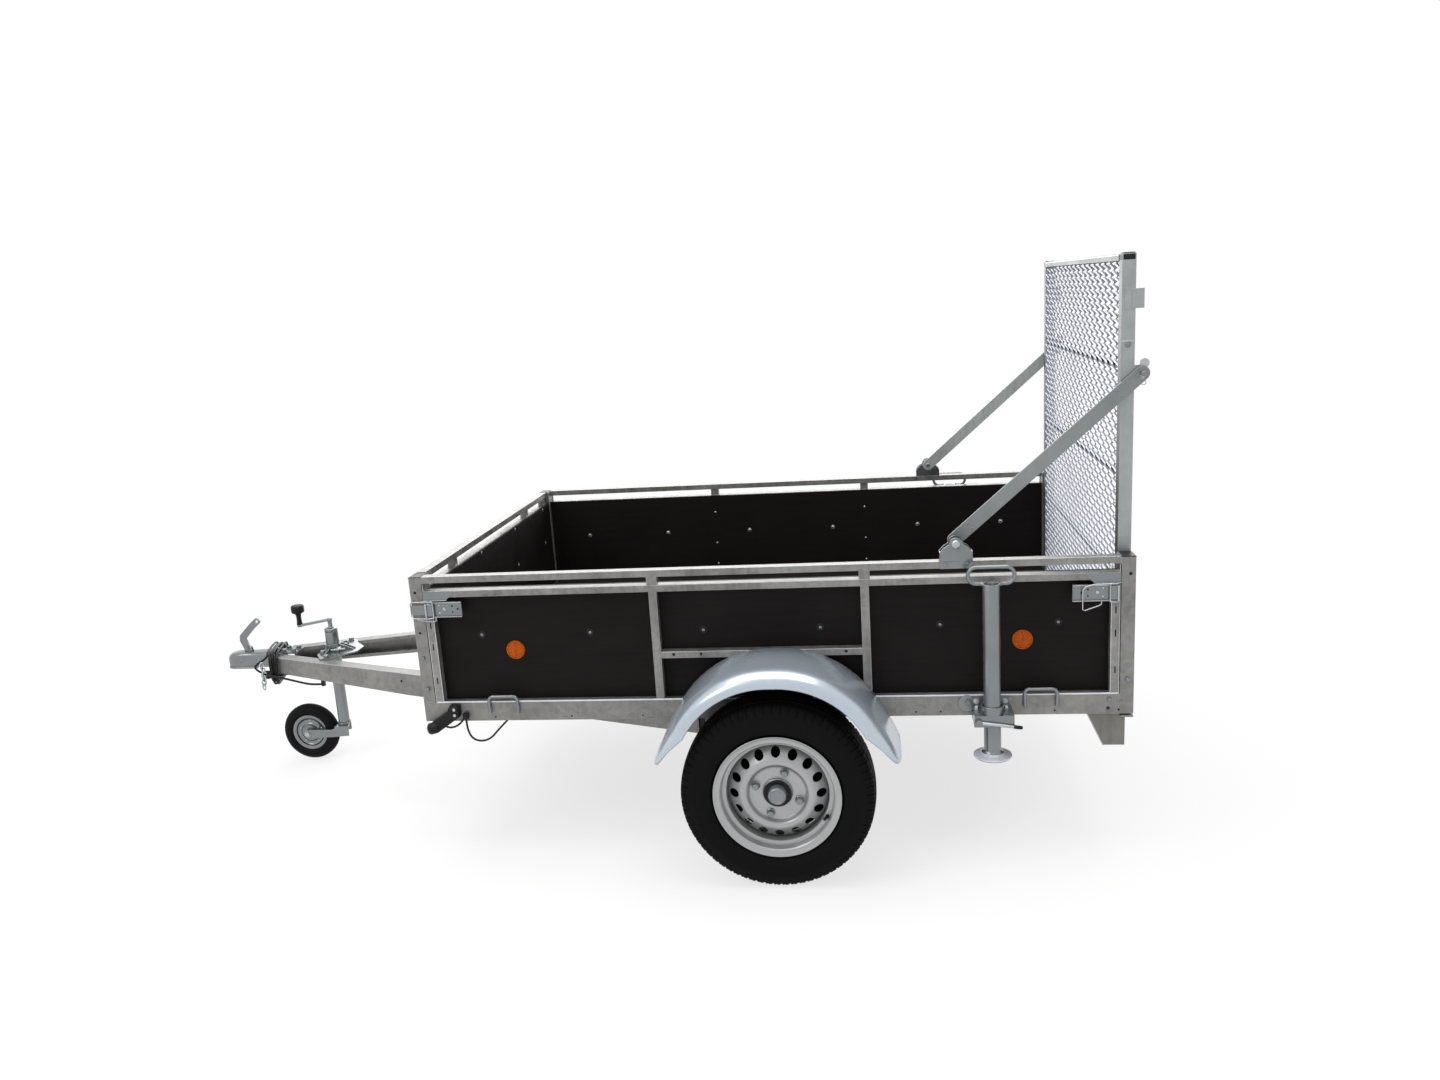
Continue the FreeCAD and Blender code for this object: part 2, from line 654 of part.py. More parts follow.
def chassis():
    """Side rails, cross members, corner posts with their caps, and the floor."""
    rails = []
    for name, side in SIDES.items():
        outer = box("Side_rail_" + name, (RAILS_FRONT, RAILS_REAR),
                    across(side, FRAME_OUTER - S.side_rail_width, FRAME_OUTER),
                    (S.chassis_bottom, CHASSIS_TOP))
        inner = box("Side_rail_bore_" + name, (RAILS_FRONT - 1, RAILS_REAR + 1),
                    across(side, FRAME_OUTER - S.side_rail_width + S.tube_wall,
                           FRAME_OUTER - S.tube_wall),
                    (S.chassis_bottom + S.tube_wall, CHASSIS_TOP - S.tube_wall))
        rails.append(cut("Side_rail_tube_" + name, outer, [inner]))
    node("side_rails", group("Side_rails", rails))

    reach = FRAME_OUTER - S.side_rail_width
    stations = {
        "front": BED_FRONT + S.cross_width / 2,
        "second": BED_MIDDLE - S.bed_length / 4,
        "axle": AXLE - S.beam_ahead,
        "fourth": BED_MIDDLE + S.bed_length / 4,
        "rear": RAILS_REAR - S.cross_width / 2,
    }
    members = []
    for name, station in stations.items():
        half = S.cross_width / 2
        width = POST_INNER if name == "front" else reach
        outer = box("Cross_" + name, (station - half, station + half), (-width, width),
                    (S.chassis_bottom, CHASSIS_TOP))
        inner = box("Cross_bore_" + name,
                    (station - half + S.tube_wall, station + half - S.tube_wall),
                    (-width - 1, width + 1),
                    (S.chassis_bottom + S.tube_wall, CHASSIS_TOP - S.tube_wall))
        members.append(cut("Cross_tube_" + name, outer, [inner]))
    node("cross_members", group("Cross_members", members))

    posts = []
    caps = []
    for end, start in (("front", BED_FRONT), ("rear", RAILS_REAR)):
        for name, side in SIDES.items():
            label = end + "_" + name
            stop = start + S.post_length
            tube = box("Post_" + label, (start, stop), across(side, POST_INNER, FRAME_OUTER),
                       (S.chassis_bottom, WALL_TOP - S.cap_height))
            bore = box("Post_bore_" + label, (start + S.tube_wall, stop - S.tube_wall),
                       across(side, POST_INNER + S.tube_wall, FRAME_OUTER - S.tube_wall),
                       (S.chassis_bottom - 1, WALL_TOP))
            post = cut("Post_tube_" + label, tube, [bore])
            posts.append(fuse("Post_" + label + "_with_pin", [post, post_pin(label, end, side)]))
            over = S.cap_overhang
            caps.append(box("Cap_" + label,
                            (start - over, stop) if end == "front" else (start, stop + over),
                            across(side, POST_INNER, FRAME_OUTER + S.cap_overhang),
                            (WALL_TOP - S.cap_height, WALL_TOP)))
    node("corner_posts", group("Corner_posts", posts))
    node("post_caps", group("Post_caps", caps))

    node("floor", box("Floor", (RAILS_FRONT + S.moving_gap, RAILS_REAR),
                      (-PANEL_INNER, PANEL_INNER), (CHASSIS_TOP, FLOOR_TOP)))


def post_pin(label, end, side):
    """The pin on a post's inner face that carries the ramp or the front wall."""
    if end == "front":
        radius = S.wall_pin
        x = BED_FRONT + S.rail_depth / 2
        height = CHASSIS_TOP + S.front_wall_sill + S.rail_height / 2
    else:
        radius = S.hinge_pin
        x = BED_REAR - S.ramp_setback
        height = S.ramp_hinge
    length = S.moving_gap + S.pin_depth
    start = POST_INNER - length if side > 0 else -POST_INNER
    return rod("Post_pin_" + label, radius, (x, start, height), length, "y")


# ---------------------------------------------------------------- side walls

def side_walls():
    """A plywood panel in a welded frame on each side; the gap under the top rail is open."""
    for name, side in SIDES.items():
        node("side_panel_" + name,
             box("Side_panel_" + name, (RAILS_FRONT, RAILS_REAR),
                 across(side, PANEL_INNER, FRAME_INNER), (CHASSIS_TOP, SECOND_RAIL_TOP)))
        node("side_frame_" + name, side_frame(name, side))


def side_frame(name, side):
    """Top rail tube, and open channels for the second rail, uprights, ends and guard rail."""
    wall = S.tube_wall
    y = across(side, FRAME_INNER, FRAME_OUTER)
    channel_y = across(side, FRAME_INNER - 1, FRAME_OUTER - wall)
    tube_y = across(side, FRAME_INNER + wall, FRAME_OUTER - wall)
    half = S.upright_width / 2
    front_upright = BED_MIDDLE - S.upright_reach
    rear_upright = BED_MIDDLE + S.upright_reach
    # Columns: name, x range, z range, and which two edges have walls.
    members = [
        ("second", (RAILS_FRONT, RAILS_REAR), (SECOND_RAIL_BOTTOM, SECOND_RAIL_TOP), "z"),
        ("front_end", (RAILS_FRONT, RAILS_FRONT + S.edge_strip),
         (CHASSIS_TOP, SECOND_RAIL_BOTTOM), "x"),
        ("rear_end", (RAILS_REAR - S.edge_strip, RAILS_REAR),
         (CHASSIS_TOP, SECOND_RAIL_BOTTOM), "x"),
        ("front_upright", (front_upright - half, front_upright + half),
         (CHASSIS_TOP, SECOND_RAIL_BOTTOM), "x"),
        ("rear_upright", (rear_upright - half, rear_upright + half),
         (CHASSIS_TOP, SECOND_RAIL_BOTTOM), "x"),
        ("guard_rail", (front_upright + half, rear_upright - half),
         (CHASSIS_TOP + S.guard_rail_top - S.rail_height, CHASSIS_TOP + S.guard_rail_top), "z"),
    ]
    outers = [box(f"Rail_top_{name}", (RAILS_FRONT, RAILS_REAR), y,
                  (TOP_RAIL_BOTTOM, WALL_TOP))]
    hollows = [box(f"Rail_top_bore_{name}", (RAILS_FRONT - 1, RAILS_REAR + 1), tube_y,
                   (TOP_RAIL_BOTTOM + wall, WALL_TOP - wall))]
    for label, x, z, walled in members:
        outers.append(box(f"Rail_{label}_{name}", x, y, z))
        inner_x = (x[0] + wall, x[1] - wall) if walled == "x" else (x[0] - 1, x[1] + 1)
        inner_z = (z[0] + wall, z[1] - wall) if walled == "z" else (z[0] - 1, z[1] + 1)
        hollows.append(box(f"Rail_bore_{label}_{name}", inner_x, channel_y, inner_z))
    saddles = []
    for label, station in (("front", front_upright), ("rear", rear_upright)):
        half_saddle = S.saddle_width / 2
        saddles.append(box(f"Saddle_{label}_{name}",
                           (station - half_saddle, station + half_saddle),
                           across(side, FRAME_OUTER - S.rail_depth + 4, FRAME_OUTER),
                           (SECOND_RAIL_BOTTOM, TOP_RAIL_BOTTOM)))
    frame = cut("Side_frame_open_" + name, fuse("Side_frame_blank_" + name, outers), hollows)
    return fuse("Side_frame_" + name, [frame] + saddles)


# ---------------------------------------------------------------- front wall

def front_wall():
    """The front wall: a framed plywood panel that hinges forward between the posts."""
    wall = S.tube_wall
    x = (BED_FRONT, BED_FRONT + S.rail_depth)
    channel_x = (BED_FRONT + wall, BED_FRONT + S.rail_depth + 1)
    tube_x = (BED_FRONT + wall, BED_FRONT + S.rail_depth - wall)
    sill = CHASSIS_TOP + S.front_wall_sill
    half = S.upright_width / 2
    reach = GATE_OUTER
    members = [
        ("second", (-reach, reach), (SECOND_RAIL_BOTTOM, SECOND_RAIL_TOP), "z"),
        ("sill", (-reach, reach), (sill, sill + S.rail_height), "z"),
    ]
    for label, place in (("left_end", -reach + half), ("left", -S.front_upright_reach),
                         ("right", S.front_upright_reach), ("right_end", reach - half)):
        members.append((label, (place - half, place + half),
                        (sill + S.rail_height, SECOND_RAIL_BOTTOM), "y"))
    outers = [box("Front_top", x, (-reach, reach), (TOP_RAIL_BOTTOM, WALL_TOP))]
    hollows = [box("Front_top_bore", tube_x, (-reach - 1, reach + 1),
                   (TOP_RAIL_BOTTOM + wall, WALL_TOP - wall))]
    for label, y, z, walled in members:
        outers.append(box("Front_" + label, x, y, z))
        inner_y = (y[0] + wall, y[1] - wall) if walled == "y" else (y[0] - 1, y[1] + 1)
        inner_z = (z[0] + wall, z[1] - wall) if walled == "z" else (z[0] - 1, z[1] + 1)
        hollows.append(box("Front_bore_" + label, channel_x, inner_y, inner_z))
    saddles = []
    for label, place in (("left_end", -reach + half), ("left", -S.front_upright_reach),
                         ("right", S.front_upright_reach), ("right_end", reach - half)):
        saddles.append(box("Front_saddle_" + label, (BED_FRONT, BED_FRONT + S.rail_depth - 4),
                           (place - half, place + half),
                           (SECOND_RAIL_BOTTOM, TOP_RAIL_BOTTOM)))
    blocks = []
    bores = []
    for name, side in SIDES.items():
        deep = S.pin_depth + S.seat_gap
        blocks.append(box("Front_hinge_" + name, x, across(side, reach - deep - wall, reach),
                          (sill, sill + S.rail_height)))
        start = reach - deep if side > 0 else -reach - 1
        bores.append(rod("Front_hinge_bore_" + name, S.wall_pin + S.running_gap,
                         (BED_FRONT + S.rail_depth / 2, start, sill + S.rail_height / 2),
                         deep + 1, "y"))
    frame = cut("Front_frame_open", fuse("Front_frame_blank", outers), hollows)
    frame = fuse("Front_frame_solid", [frame] + saddles + blocks)
    node("front_frame", cut("Front_frame", frame, bores))
    node("front_panel",
         box("Front_panel", (BED_FRONT + S.rail_depth,
                             BED_FRONT + S.rail_depth + S.front_panel_thickness),
             (-reach, reach), (sill, SECOND_RAIL_TOP)))


# ---------------------------------------------------------------- drawbar and coupling

def drawbar():
    """Two lipped channel arms that run from the coupling out to the axle."""
    turn = math.radians(S.arm_angle.number)
    long_run = (S.arm_reach.number - S.arm_rear_reach.number) / math.cos(turn)
    taper = (S.arm_reach.number - S.arm_taper_reach.number) / math.cos(turn)
    top = S.chassis_bottom.number
    wall = S.arm_wall.number
    nose = S.arm_nose_height.number
    full = S.arm_height.number
    flange = S.arm_flange.number
    for name, side in SIDES.items():
        start = point(AXLE - S.arm_reach, side * S.arm_nose_spread, 0)
        along = Vector(math.cos(turn), side * math.sin(turn), 0)
        inward = Vector(math.sin(turn), -side * math.cos(turn), 0)

        def outline(inset, past):
            corners = [(-past, top - inset), (long_run + past, top - inset),
                       (long_run + past, top - full + inset), (taper, top - full + inset),
                       (-past, top - nose + inset)]
            return [start + along * run + Vector(0, 0, rise) for run, rise in corners]

        blank = slab(outline(0, 0), inward * flange)
        hollow = slab([p + inward * wall for p in outline(wall, 1)], inward * flange)
        lip = 12
        mouth = slab([p + inward * wall for p in outline(lip, 1)], inward * flange)
        inside = hollow.common(slab([p for p in outline(0, 2)], inward * (flange - wall)))
        solid = blank.cut(inside.fuse(mouth))
        node("drawbar_" + name, shape("Drawbar_" + name, solid.removeSplitter()))


def tongue_form(half, low, high, past=0):
    """A flat form with a round nose about the coupling ball, that ends past the head."""
    ball = (AXLE - BALL_REACH).number
    end = ball + (S.head_length + past).number
    half = size_of(half).number
    low = size_of(low).number
    corner = [Vector(end, -half, low), Vector(ball, -half, low),
              Vector(ball, half, low), Vector(end, half, low)]
    edges = [Part.makeLine(corner[0], corner[1]),
             arc(corner[1], Vector(ball - half, 0, low), corner[2]),
             Part.makeLine(corner[2], corner[3]), Part.makeLine(corner[3], corner[0])]
    face = Part.Face(Part.Wire(edges))
    return face.extrude(Vector(0, 0, size_of(high).number - low))


def coupling():
    """The pressed ball coupling with its tongue on the arms, and its raised handle."""
    ball = AXLE - BALL_REACH
    top = S.chassis_bottom + S.head_proud
    bottom = top - S.head_height
    half = S.head_half_width
    arms_start = AXLE - S.arm_reach
    head_end = ball + S.head_length
    neck_top = S.chassis_bottom + S.neck_sheet
    neck = S.neck_half_width
    flange = S.neck_sheet
    crown = shape("Head_crown", tongue_form(half - flange, top - flange, top))
    body = shape("Head_body", tongue_form(half, bottom + flange, top - flange))
    skirt = shape("Head_skirt", tongue_form(S.nose_radius, bottom, bottom + flange, flange))
    throat = box("Head_neck", (head_end, arms_start), (-neck, neck), (bottom + 6, neck_top))
    tongue = box("Head_tongue", (arms_start - 2, arms_start + S.tongue_length),
                 (-neck, neck), (S.chassis_bottom, neck_top))
    solid = fuse("Head_solid", [crown, body, skirt, throat, tongue])
    bore = rod("Head_bore", S.ball_bore, (ball, 0, bottom - 1), S.ball_depth + 1)
    hollow = box("Head_hollow", (ball + S.ball_bore + S.head_wall, arms_start - S.head_wall),
                 (-half + S.head_wall, half - S.head_wall),
                 (bottom - 1, neck_top - S.head_wall))
    node("coupling_head", cut("Coupling_head", solid, [bore, hollow]))

    # Columns: along and up from the ball's axis and the head's top.
    base, elbow, tip = ((50, -4), (30, 44), (104, 112))
    thick = S.handle_thickness.number
    width = S.handle_width.number
    start = point(ball, 0, top)
    bars = []
    for low, high in ((base, elbow), (elbow, tip)):
        first = start + Vector(low[0], -thick / 2, low[1])
        last = start + Vector(high[0], -thick / 2, high[1])
        along = last - first
        normal = Vector(-along.z, 0, along.x).normalize() * (width / 2)
        bars.append(slab([first + normal, last + normal, last - normal, first - normal],
                         Vector(0, thick, 0)))
        bars.append(Part.makeCylinder(width / 2, thick, last, Vector(0, 1, 0)))
    eye = start + Vector(tip[0], -thick, tip[1])
    lever = bars[0].fuse(bars[1:]).cut(Part.makeCylinder(6, thick * 2, eye, Vector(0, 1, 0)))
    above = Part.makeBox(400, 100, 400, start + Vector(-100, -50, 0))
    lever = lever.common(above).removeSplitter()
    node("coupling_handle", shape("Coupling_handle", lever))


# ---------------------------------------------------------------- jockey wheel

def jockey():
    """Clamp, outer tube with its crank, sliding leg, swivelling fork and wheel."""
    x = AXLE - S.arm_reach + S.jockey_setback
    reach = S.arm_nose_spread + S.jockey_setback * ARM_SLOPE - S.clamp_overlap
    arms_top = S.chassis_bottom
    radius = S.jockey_tube_radius
    plate = box("Clamp_plate", (x - 35, x + 110), (-reach, reach),
                (arms_top, arms_top + S.clamp_plate))
    collar = rod("Clamp_collar", radius + 7, (x, 0, arms_top - 24), 54)
    rib_front = box("Clamp_rib_front", (x - 3, x + 3), (-100, 0),
                    (arms_top, arms_top + 22))
    rib_rear = box("Clamp_rib_rear", (x, x + 90), (-5, 5),
                   (arms_top, arms_top + 30))
    bore = rod("Clamp_bore", radius, (x, 0, arms_top - 30), 90)
    clamp = cut("Jockey_clamp", fuse("Clamp_blank", [plate, collar, rib_front, rib_rear]), [bore])
    node("jockey_clamp", clamp)

    length = S.jockey_tube_top - S.jockey_tube_bottom
    tube = rod("Outer_tube", radius, (x, 0, S.jockey_tube_bottom), length)
    inside = rod("Outer_tube_bore", radius - S.jockey_tube_wall,
                 (x, 0, S.jockey_tube_bottom - 1), length - 9)
    node("jockey_outer_tube", cut("Jockey_outer_tube", tube, [inside]))

    top = S.jockey_tube_top
    spindle = rod("Crank_spindle", 9, (x, 0, top), S.crank_rise)
    arm = box("Crank_arm", (x - S.crank_reach, x + 9), (-8, 8),
              (top + S.crank_rise - 12, top + S.crank_rise))
    grip = rod("Crank_grip", 10, (x - S.crank_reach, 0, top + S.crank_rise - 12), 40)
    knob = rod("Crank_knob", S.knob_radius, (x - S.crank_reach, 0, top + S.crank_rise + 22), 32)
    node("jockey_crank", fuse("Jockey_crank", [spindle, arm, grip, knob]))

    leg_radius = S.jockey_leg_radius
    length = S.jockey_leg_top - S.jockey_leg_bottom
    leg = rod("Leg_tube", leg_radius, (x, 0, S.jockey_leg_bottom), length)
    leg_bore = rod("Leg_bore", leg_radius - 3, (x, 0, S.jockey_leg_bottom - 1), length + 2)
    node("jockey_leg", cut("Jockey_leg", leg, [leg_bore]))

    node("jockey_fork", fork(x))
    jockey_wheel(x - S.jockey_trail)


def fork(x):
    """A swivel cup under the leg and two cheeks that reach forward to the wheel."""
    high = S.jockey_leg_bottom
    axle = S.jockey_wheel_radius
    half_inner = S.jockey_hub_width / 2 + 1
    thick = S.fork_thickness
    width = S.fork_width / 2
    cup = rod("Fork_cup", S.jockey_leg_radius + 4, (x, 0, high - 10 - S.seat_gap), 10)
    head = box("Fork_head", (x - S.jockey_leg_radius - 4, x + S.jockey_leg_radius + 4),
               (-half_inner - thick, half_inner + thick),
               (high - 18 - S.seat_gap, high - 10 - S.seat_gap))
    pieces = [cup, head]
    for name, side in SIDES.items():
        start = point(x, side * half_inner, high - 18 - S.seat_gap)
        hub_at = point(x - S.jockey_trail, side * half_inner, axle)
        out = Vector(0, side * thick.number, 0)
        reach = S.jockey_leg_radius.number + 4
        cheek = slab([start + Vector(reach, 0, 8), start + Vector(reach, 0, -26),
                      hub_at + Vector(0, 0, -width.number),
                      hub_at + Vector(0, 0, width.number),
                      start + Vector(-reach, 0, 0), start + Vector(-reach, 0, 8)], out)
        eye = Part.makeCylinder(width.number, thick.number, hub_at, Vector(0, side, 0))
        pieces.append(shape("Fork_cheek_" + name, cheek.fuse(eye)))
    span = half_inner * 2 + thick * 2 + 16
    bolt = rod("Fork_bolt", S.jockey_axle_radius,
               (x - S.jockey_trail, 0 - span / 2, axle), span, "y")
    pieces.append(bolt)
    return fuse("Jockey_fork", pieces)


def jockey_wheel(x):
    """A solid rubber tyre on a steel disc rim that turns on the fork's bolt."""
    centre = point(x, 0, S.jockey_wheel_radius)
    outer = S.jockey_wheel_radius.number
    seat = S.jockey_rim_radius.number
    half = S.jockey_wheel_width.number / 2
    hub_half = S.jockey_hub_width.number / 2
    bore = S.jockey_axle_radius.number + S.running_gap.number
    ring = [(-half + 8, seat), (-half, seat + 14), (-half + 2, outer - 14, -half + 15, outer),
            (half - 15, outer), (half - 2, outer - 14, half, seat + 14), (half - 8, seat)]
    disc = [(-hub_half, bore), (-hub_half, 16), (-9, 20), (-9, seat - 16), (-half + 8, seat - 9),
            (-half + 8, seat), (half - 8, seat), (half - 8, seat - 9), (9, seat - 16), (9, 20),
            (hub_half, 16), (hub_half, bore)]
    node("jockey_tyre", shape("Jockey_tyre", turned(ring, centre)))
    node("jockey_rim", shape("Jockey_rim", turned(disc, centre)))


# ---------------------------------------------------------------- mudguards

def guard_outline(inset, tip_inset=None):
    """Half outline of a mudguard, inset from its outer face: tip, corner and flat (x, z)."""
    tip_inset = inset if tip_inset is None else tip_inset
    turn = math.radians(S.guard_turn.number)
    radius = S.guard_corner.number
    flat = S.guard_flat.number
    top = S.guard_top.number

    def corner(angle, depth):
        return (flat + (radius - depth) * math.sin(angle),
                top - radius + (radius - depth) * math.cos(angle))

    low = S.guard_tip.number
    foot = corner(turn, tip_inset)
    run = (foot[1] - low) / math.tan(turn)
    tip = (foot[0] + run, low)
    return {"tip": tip, "low": corner(turn, inset), "middle": corner(turn / 2, inset),
            "high": corner(0, inset)}


def guard_form(inset, y, depth, tip_inset=None, below=0.0):
    """The filled arch of a mudguard between two places across the trailer."""
    half = guard_outline(inset, tip_inset)
    axle = AXLE.number

    def at(name, mirror):
        x, z = half[name]
        return Vector(axle + mirror * x, y, z)

    drop = Vector(0, 0, -below)
    edges = [
        Part.makeLine(at("tip", -1), at("low", -1)),
        arc(at("low", -1), at("middle", -1), at("high", -1)),
        Part.makeLine(at("high", -1), at("high", 1)),
        arc(at("high", 1), at("middle", 1), at("low", 1)),
        Part.makeLine(at("low", 1), at("tip", 1)),
    ]
    if below:
        edges.append(Part.makeLine(at("tip", 1), at("tip", 1) + drop))
        edges.append(Part.makeLine(at("tip", 1) + drop, at("tip", -1) + drop))
        edges.append(Part.makeLine(at("tip", -1) + drop, at("tip", -1)))
    else:
        edges.append(Part.makeLine(at("tip", 1), at("tip", -1)))
    return Part.Face(Part.Wire(edges)).extrude(Vector(0, depth, 0))


def shouldered(solid, y, radius):
    """Round the long outer edge of a mudguard form."""
    edges = []
    for edge in solid.Edges:
        box_of = edge.BoundBox
        level = abs(box_of.YMin - y) < 0.01 and abs(box_of.YMax - y) < 0.01
        if level and box_of.ZMax > S.guard_tip.number + 1:
            edges.append(edge)
    return solid.makeFillet(radius, edges)


def mudguards():
    """A pressed mudguard on each side: flat top, rounded shoulder, lip and inner flange."""
    sheet = S.guard_sheet.number
    width = S.guard_width.number
    for name, side in SIDES.items():
        inner = side * FRAME_OUTER.number
        outer = inner + side * width
        blank = shouldered(guard_form(0, inner, side * width), outer, S.guard_shoulder.number)
        hollow = guard_form(sheet, inner + side * sheet, side * (width - 2 * sheet), below=5)
        hollow = shouldered(hollow, outer - side * sheet, S.guard_shoulder.number - sheet)
        lip = guard_form(S.guard_lip.number, inner + side * width / 2, side * width,
                         tip_inset=sheet + 1, below=5)
        flange = guard_form(S.guard_flange.number, inner - side * 5, side * width / 2, below=5)
        solid = blank.cut([hollow, lip, flange]).removeSplitter()
        node("mudguard_" + name, shape("Mudguard_" + name, solid))


# ---------------------------------------------------------------- rear stands

def stands():
    """A prop stand on each side behind the wheel, in a clamp on the side rail."""
    x = BED_REAR - S.stand_setback
    axis = FRAME_OUTER + S.stand_offset
    low = S.stand_clamp_bottom
    clamps = []
    for name, side in SIDES.items():
        y = side * axis
        foot = rod("Foot_" + name, S.foot_radius, (x, y, S.stand_foot), S.foot_thickness)
        sleeve = DOC.addObject("Part::Cone", "Foot_flare_" + name)
        bind(sleeve, "Radius1", S.stand_radius + 12)
        bind(sleeve, "Radius2", S.stand_radius)
        bind(sleeve, "Height", 12)
        locate(sleeve, (x, y, S.stand_foot + S.foot_thickness))
        length = S.stand_top - S.stand_foot - S.foot_thickness
        tube = rod("Stand_tube_" + name, S.stand_radius,
                   (x, y, S.stand_foot + S.foot_thickness), length)
        bore = rod("Stand_bore_" + name, S.stand_radius - S.stand_wall,
                   (x, y, S.stand_foot + S.foot_thickness + 14), length)
        body = cut("Stand_pipe_" + name, fuse("Stand_blank_" + name, [foot, sleeve, tube]), [bore])
        node("stand_" + name, fuse("Stand_" + name, [body, loop_handle(name, point(x, y, 0))]))

        reach = S.stand_radius + S.stand_clamp_wall
        block = rod("Clamp_ring_" + name, reach, (x, y, low), S.stand_clamp_height)
        plate = box("Clamp_back_" + name, (x - 72, x + 60),
                    across(side, FRAME_OUTER, FRAME_OUTER + 6),
                    (low, low + S.stand_clamp_height))
        web = box("Clamp_web_" + name, (x - reach, x + reach),
                  across(side, FRAME_OUTER + 6, axis), (low + 6, low + S.stand_clamp_height - 6))
        sliding = rod("Clamp_slide_" + name, S.stand_radius + S.sliding_gap,
                      (x, y, low - 1), S.stand_clamp_height + 2)
        lever = box("Clamp_lever_" + name, (x - 20, x + 78),
                    across(side, axis + reach - 3, axis + reach + 7), (low + 8, low + 20))
        clamps.append(cut("Stand_clamp_" + name,
                          fuse("Stand_clamp_blank_" + name, [block, plate, web, lever]),
                          [sliding]))
    node("stand_clamps", group("Stand_clamps", clamps))


def loop_handle(name, foot):
    """An oblong loop of round rod welded across the stand tube's top."""
    half = S.loop_length.number / 2 - S.loop_rod.number
    top = S.stand_top.number + S.loop_height.number - S.loop_rod.number * 2
    low = top - S.loop_height.number + S.loop_rod.number * 2
    corner = (top - low) / 2 * 0.96
    x = foot.x
    y = foot.y
    points = [Vector(x - half, y, low), Vector(x + half, y, low),
              Vector(x + half, y, top), Vector(x - half, y, top)]
    path = rounded_path(points, [corner] * 4, closed=True)
    ring = swept(path, S.loop_rod.number)
    core = Part.makeCylinder(S.stand_radius.number - 1, S.loop_rod.number + 4,
                             Vector(x, y, low - S.loop_rod.number), Vector(0, 0, 1))
    return shape("Loop_" + name, ring.cut(core))


# ---------------------------------------------------------------- ramp and stays

def ramp():
    """The mesh ramp: two side tubes with cross bars, and the mesh on their inner face."""
    x = BED_REAR - S.ramp_setback
    half = S.ramp_tube / 2
    top = S.ramp_hinge + S.ramp_length
    reach = GATE_OUTER
    inner = reach - S.ramp_tube
    pieces = []
    bores = []
    for name, side in SIDES.items():
        y = across(side, inner, reach)
        tube = box("Ramp_tube_" + name, (x - half, x + half), y, (S.ramp_hinge, top))
        heel = rod("Ramp_heel_" + name, half, (x, y[0], S.ramp_hinge), S.ramp_tube, "y")
        pieces += [tube, heel]
        clip = box("Ramp_clip_" + name, (x + half, x + half + 22),
                   across(side, reach - 16, reach - 1), (top - 144, top - 92))
        lug = box("Ramp_lug_" + name, (x + half, x + half + S.lug_length),
                  across(side, reach - S.lug_plate, reach),
                  (S.stay_head_height - S.lug_height / 2, S.stay_head_height + S.lug_height / 2))
        pieces += [clip, lug]
        deep = S.pin_depth + S.seat_gap
        start = reach - deep if side > 0 else -reach - 1
        bores.append(rod("Ramp_bore_" + name, S.hinge_pin + S.running_gap,
                         (x, start, S.ramp_hinge), deep + 1, "y"))
    # Columns: cross bar's name, its centre above the hinge.
    for label, rise in (("bottom", 30), ("lower", 330), ("middle", 630), ("upper", 930),
                        ("top", S.ramp_length - S.ramp_bar / 2)):
        height = S.ramp_hinge + rise
        pieces.append(box("Ramp_bar_" + label, (x - half + 8, x - half + 8 + S.ramp_bar),
                          (-inner, inner), (height - S.ramp_bar / 2, height + S.ramp_bar / 2)))
    node("ramp_frame", cut("Ramp_frame", fuse("Ramp_frame_solid", pieces), bores))

    face = x - half + 8
    node("ramp_mesh", shape("Ramp_mesh", mesh_plate(
        point(face - S.mesh_thickness, -inner, S.ramp_hinge + 18), point(face, inner, top - 2))))
    caps = []
    for name, side in SIDES.items():
        caps.append(box("Ramp_cap_" + name, (x - half, x + half),
                        across(side, inner, reach), (top, top + S.cap_height)))
    node("ramp_caps", group("Ramp_caps", caps))


def mesh_plate(low, high):
    """A plate between two corners, opened by a plain grid of strands."""
    size = high - low
    plate = Part.makeBox(size.x, size.y, size.z, low)
    count = int(S.mesh_openings.number)
    strand = S.mesh_strand.number
    wide = (size.y - strand) / count - strand
    tall = (size.z - strand) / count - strand
    openings = []
    for column in range(count):
        for row in range(count):
            corner = low + Vector(-size.x, strand + column * (wide + strand),
                                  strand + row * (tall + strand))
            openings.append(Part.makeBox(size.x * 3, wide, tall, corner))
    return plate.cut(Part.makeCompound(openings))


